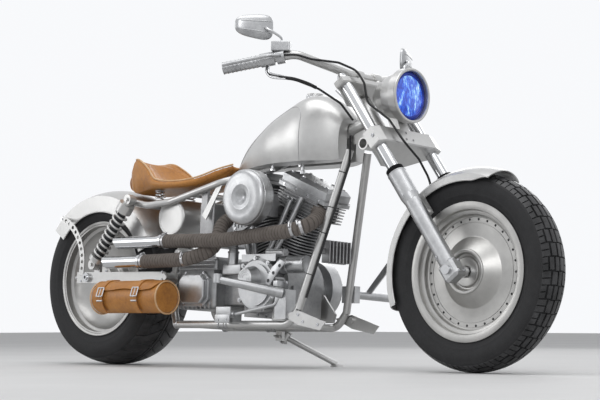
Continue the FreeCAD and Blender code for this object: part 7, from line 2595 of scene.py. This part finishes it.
@dataclass
class FrameDress:
    """Collars, ties, brackets and bolts of the frame, swingarm and foot controls."""

    rail_y: float = 125.0
    rail_z: float = 150.0
    collars: tuple[Point, ...] = ((466, 480, 16.5), (696, 704, 17.0), (712, 728, 16.2), (734, 742, 17.0))
    wire_ends: tuple[Point, Point] = ((1228, -47, 762), (1083, -125, 203))
    pedal: Pair = (883.0, -329.0)
    tank_end: Point = (386.0, 99.3, 552.0)
    tie_shares: tuple[float, ...] = (0.14, 0.36, 0.52, 0.78)
    bolts: tuple[tuple[str, str, float, float, tuple[Pair, ...]], ...] = (
        ("swingarm_bolts_", "swingarm", 4.4, 400, ((-40, 340), (-40, 314), (420, 340), (420, 314))),
        ("strut_bolts_", "fender_struts", 5.5, 400, ((-38, 337.5), (-166, 559))),
        ("front_plate_bolts_", "frame_plates", 5.0, 400,
         ((1030, 180), (1096, 184), (1190, 150), (1120, 160))),
        ("neck_bolts_", "frame_neck", 4.2, 300, ((1240, 780), (1250, 750), (1266, 766))),
    )

    def build(self, shop: Workshop) -> None:
        """Make the frame's details.

        Args:
            shop: The workshop.
        """
        collars = [((start, side * self.rail_y, self.rail_z), (end, side * self.rail_y, self.rail_z), radius)
                   for side in (-1, 1) for start, end, radius in self.collars]
        shop.piece("rail_collars", Shapes.rods(*collars), "cast_silver")
        ties = []
        head, foot = (Vector(end) for end in self.wire_ends)
        for share in self.tie_shares:
            tie = Shapes.lathe([(13.6, -1.6), (15, -1.6), (15.3, 0), (15, 1.6), (13.6, 1.6)], 32, closed=True)
            ties.append(Shapes.moved(tie, Shapes.aim(head.lerp(foot, share), foot - head)))
        shop.piece("wiring_ties", ties, "hose_black")
        plate = [Shapes.box((738, -194, 152), (812, -189, 182), 2.0),
                 Shapes.box((738, -190, 178), (812, -184, 210), 2.0)]
        shop.piece("brake_cylinder_bracket", plate, "cast_silver")
        spots = [(Vector((x, -194, 164)), -LEFT) for x in (754, 796)]
        shop.piece("brake_bracket_bolts", shop.bolts(spots, 4.2), "chrome")
        for name, low, high, radius, finish in (("brake_pedal_cup", 284, 316, 15.0, "cast_silver"),
                                                ("brake_pedal_cap", 316, 330, 13.5, "hose_black")):
            shop.piece(name, Shapes.rods(((*self.pedal, low), (*self.pedal, high), radius)), finish)
        for side, name in ((-1, "right"), (1, "left")):
            for title, node, radius, reach, spots in self.bolts:
                starts = [Vector((x, side * reach, z)) for x, z in spots]
                screwed(shop, title + name, node, starts, -LEFT * side, radius)
        adjusters = [((-66, side * 158, 327), (-76, side * 158, 327), 6.5, None, 6) for side in (-1, 1)]
        shop.piece("axle_adjusters", Shapes.rods(*adjusters), "chrome")
        rings = []
        x, y, z = self.tank_end
        for side in (-1, 1):
            ring = Shapes.lathe([(58, 0), (61, 1.4), (65, 1.4), (68, 0), (66, -2), (60, -2)], 72, closed=True)
            rings.append(Shapes.moved(ring, Shapes.aim(Vector((x, side * y, z)), LEFT * side)))
        shop.piece("oil_tank_end_rings", rings, "satin_silver")


def build_details(shop: Workshop) -> None:
    """Make the details of the front end, engine and frame.

    Args:
        shop: The workshop.
    """
    Headlamp().build(shop)
    Mirrors().build(shop)
    ForkDress().build(shop)
    EngineDress().build(shop)
    FrameDress().build(shop)
    LOG.info("front end, engine and frame dressed")


# Studio

@dataclass(frozen=True)
class Lamp:
    """One soft lamp."""

    name: str
    place: Point
    aim: Point
    width: float
    height: float
    power: float

    def build(self) -> None:
        """Put the lamp in place."""
        data = bpy.data.lights.new(self.name, "AREA")
        data.shape = "RECTANGLE"
        data.size = self.width
        data.size_y = self.height
        data.energy = self.power
        obj = linked(self.name, data)
        obj.location = self.place
        obj.rotation_euler = (Vector(self.aim) - Vector(self.place)).to_track_quat("-Z", "Y").to_euler()


@dataclass(frozen=True)
class Studio:
    """Camera, lamps, floor and background."""

    camera_place: Point = (4.7206, -4.9937, 0.1791)
    yaw_deg: float = 46.92
    pitch_deg: float = 3.56
    lens_mm: float = 114.0
    floor_half: float = 14.0
    floor_grey: float = 0.74
    fill: float = 0.38
    sky: tuple[float, float, float, float] = (0.94, 0.95, 0.97, 1.0)
    lamps: tuple[Lamp, ...] = (
        Lamp("overhead_softbox", (0.3, -0.6, 3.6), (0.0, 0.0, 0.4), 4.2, 2.2, 58.0),
        Lamp("key_softbox", (3.4, -3.4, 2.6), (0.0, 0.0, 0.5), 2.2, 2.0, 44.0),
        Lamp("side_softbox", (-3.6, -3.2, 1.8), (0.0, 0.0, 0.5), 1.8, 1.8, 24.0),
        Lamp("back_softbox", (-1.5, 4.0, 2.4), (0.0, 0.0, 0.6), 3.0, 1.6, 28.0),
    )

    def build(self) -> None:
        """Make the whole studio."""
        self.camera()
        self.floor()
        self.world()
        for lamp in self.lamps:
            lamp.build()

    def camera(self) -> None:
        """Put the camera where the photo was taken from."""
        data = bpy.data.cameras.new("camera")
        data.lens = self.lens_mm
        data.sensor_width = 36.0
        obj = linked("camera", data)
        yaw, pitch = math.radians(self.yaw_deg), math.radians(self.pitch_deg)
        look = Vector((-math.cos(yaw) * math.cos(pitch), math.sin(yaw) * math.cos(pitch), math.sin(pitch)))
        obj.location = self.camera_place
        obj.rotation_euler = look.to_track_quat("-Z", "Y").to_euler()
        bpy.context.scene.camera = obj

    def floor(self) -> None:
        """Lay the pale floor."""
        mesh = bpy.data.meshes.new("studio_floor")
        half = self.floor_half
        mesh.from_pydata([(-half, -half, 0), (half, -half, 0), (half, half, 0), (-half, half, 0)], [],
                         [(0, 1, 2, 3)])
        obj = linked("studio_floor", mesh)
        look = Shader("pale_floor")
        grey = self.floor_grey
        tone = look.ramp(look.noise(1.5, 4.0), [(0.3, (grey - 0.03,) * 3), (0.7, (grey + 0.02,) * 3)])
        look.feed(look.surface, Base_Color=tone, Roughness=0.7)
        mesh.materials.append(look.material)

    def world(self) -> None:
        """Make a white background that metal and glass show too, and a softer fill."""
        world = bpy.data.worlds.new("studio")
        bpy.context.scene.world = world
        world.use_nodes = True
        look = Nodes(world.node_tree)
        ray = look.node("ShaderNodeLightPath").outputs
        either = look.maths("MAXIMUM", ray["Is Glossy Ray"], ray["Is Transmission Ray"])
        seen = look.maths("MAXIMUM", ray["Is Camera Ray"], either)
        back = look.node("ShaderNodeBackground")
        look.feed(back, Color=self.sky, Strength=look.span(seen, self.fill, 1.0))
        look.feed(look.node("ShaderNodeOutputWorld"), Surface=back.outputs[0])


def dress_nodes(finishes: Finishes) -> None:
    """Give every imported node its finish.

    Args:
        finishes: The shared finishes.
    """
    for name, obj in frame["nodes"].items():
        finishes.put(obj, NODE_FINISH.get(name, PLAIN_FINISH))
        for polygon in obj.data.polygons:
            polygon.use_smooth = True
    LOG.info("dressed %d packed nodes", len(frame["nodes"]))


def main() -> None:
    """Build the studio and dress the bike."""
    logging.basicConfig(level=logging.INFO, format="%(name)s: %(message)s")
    scene = bpy.context.scene
    scene.view_settings.view_transform = "Standard"
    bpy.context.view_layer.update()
    finishes = Finishes()
    Studio().build()
    dress_nodes(finishes)
    shop = Workshop(finishes)
    build_wheels(shop)
    build_soft_and_sheet(shop)
    build_details(shop)
    LOG.info("%d pieces made", shop.count)


if __name__ == "__main__":
    main()
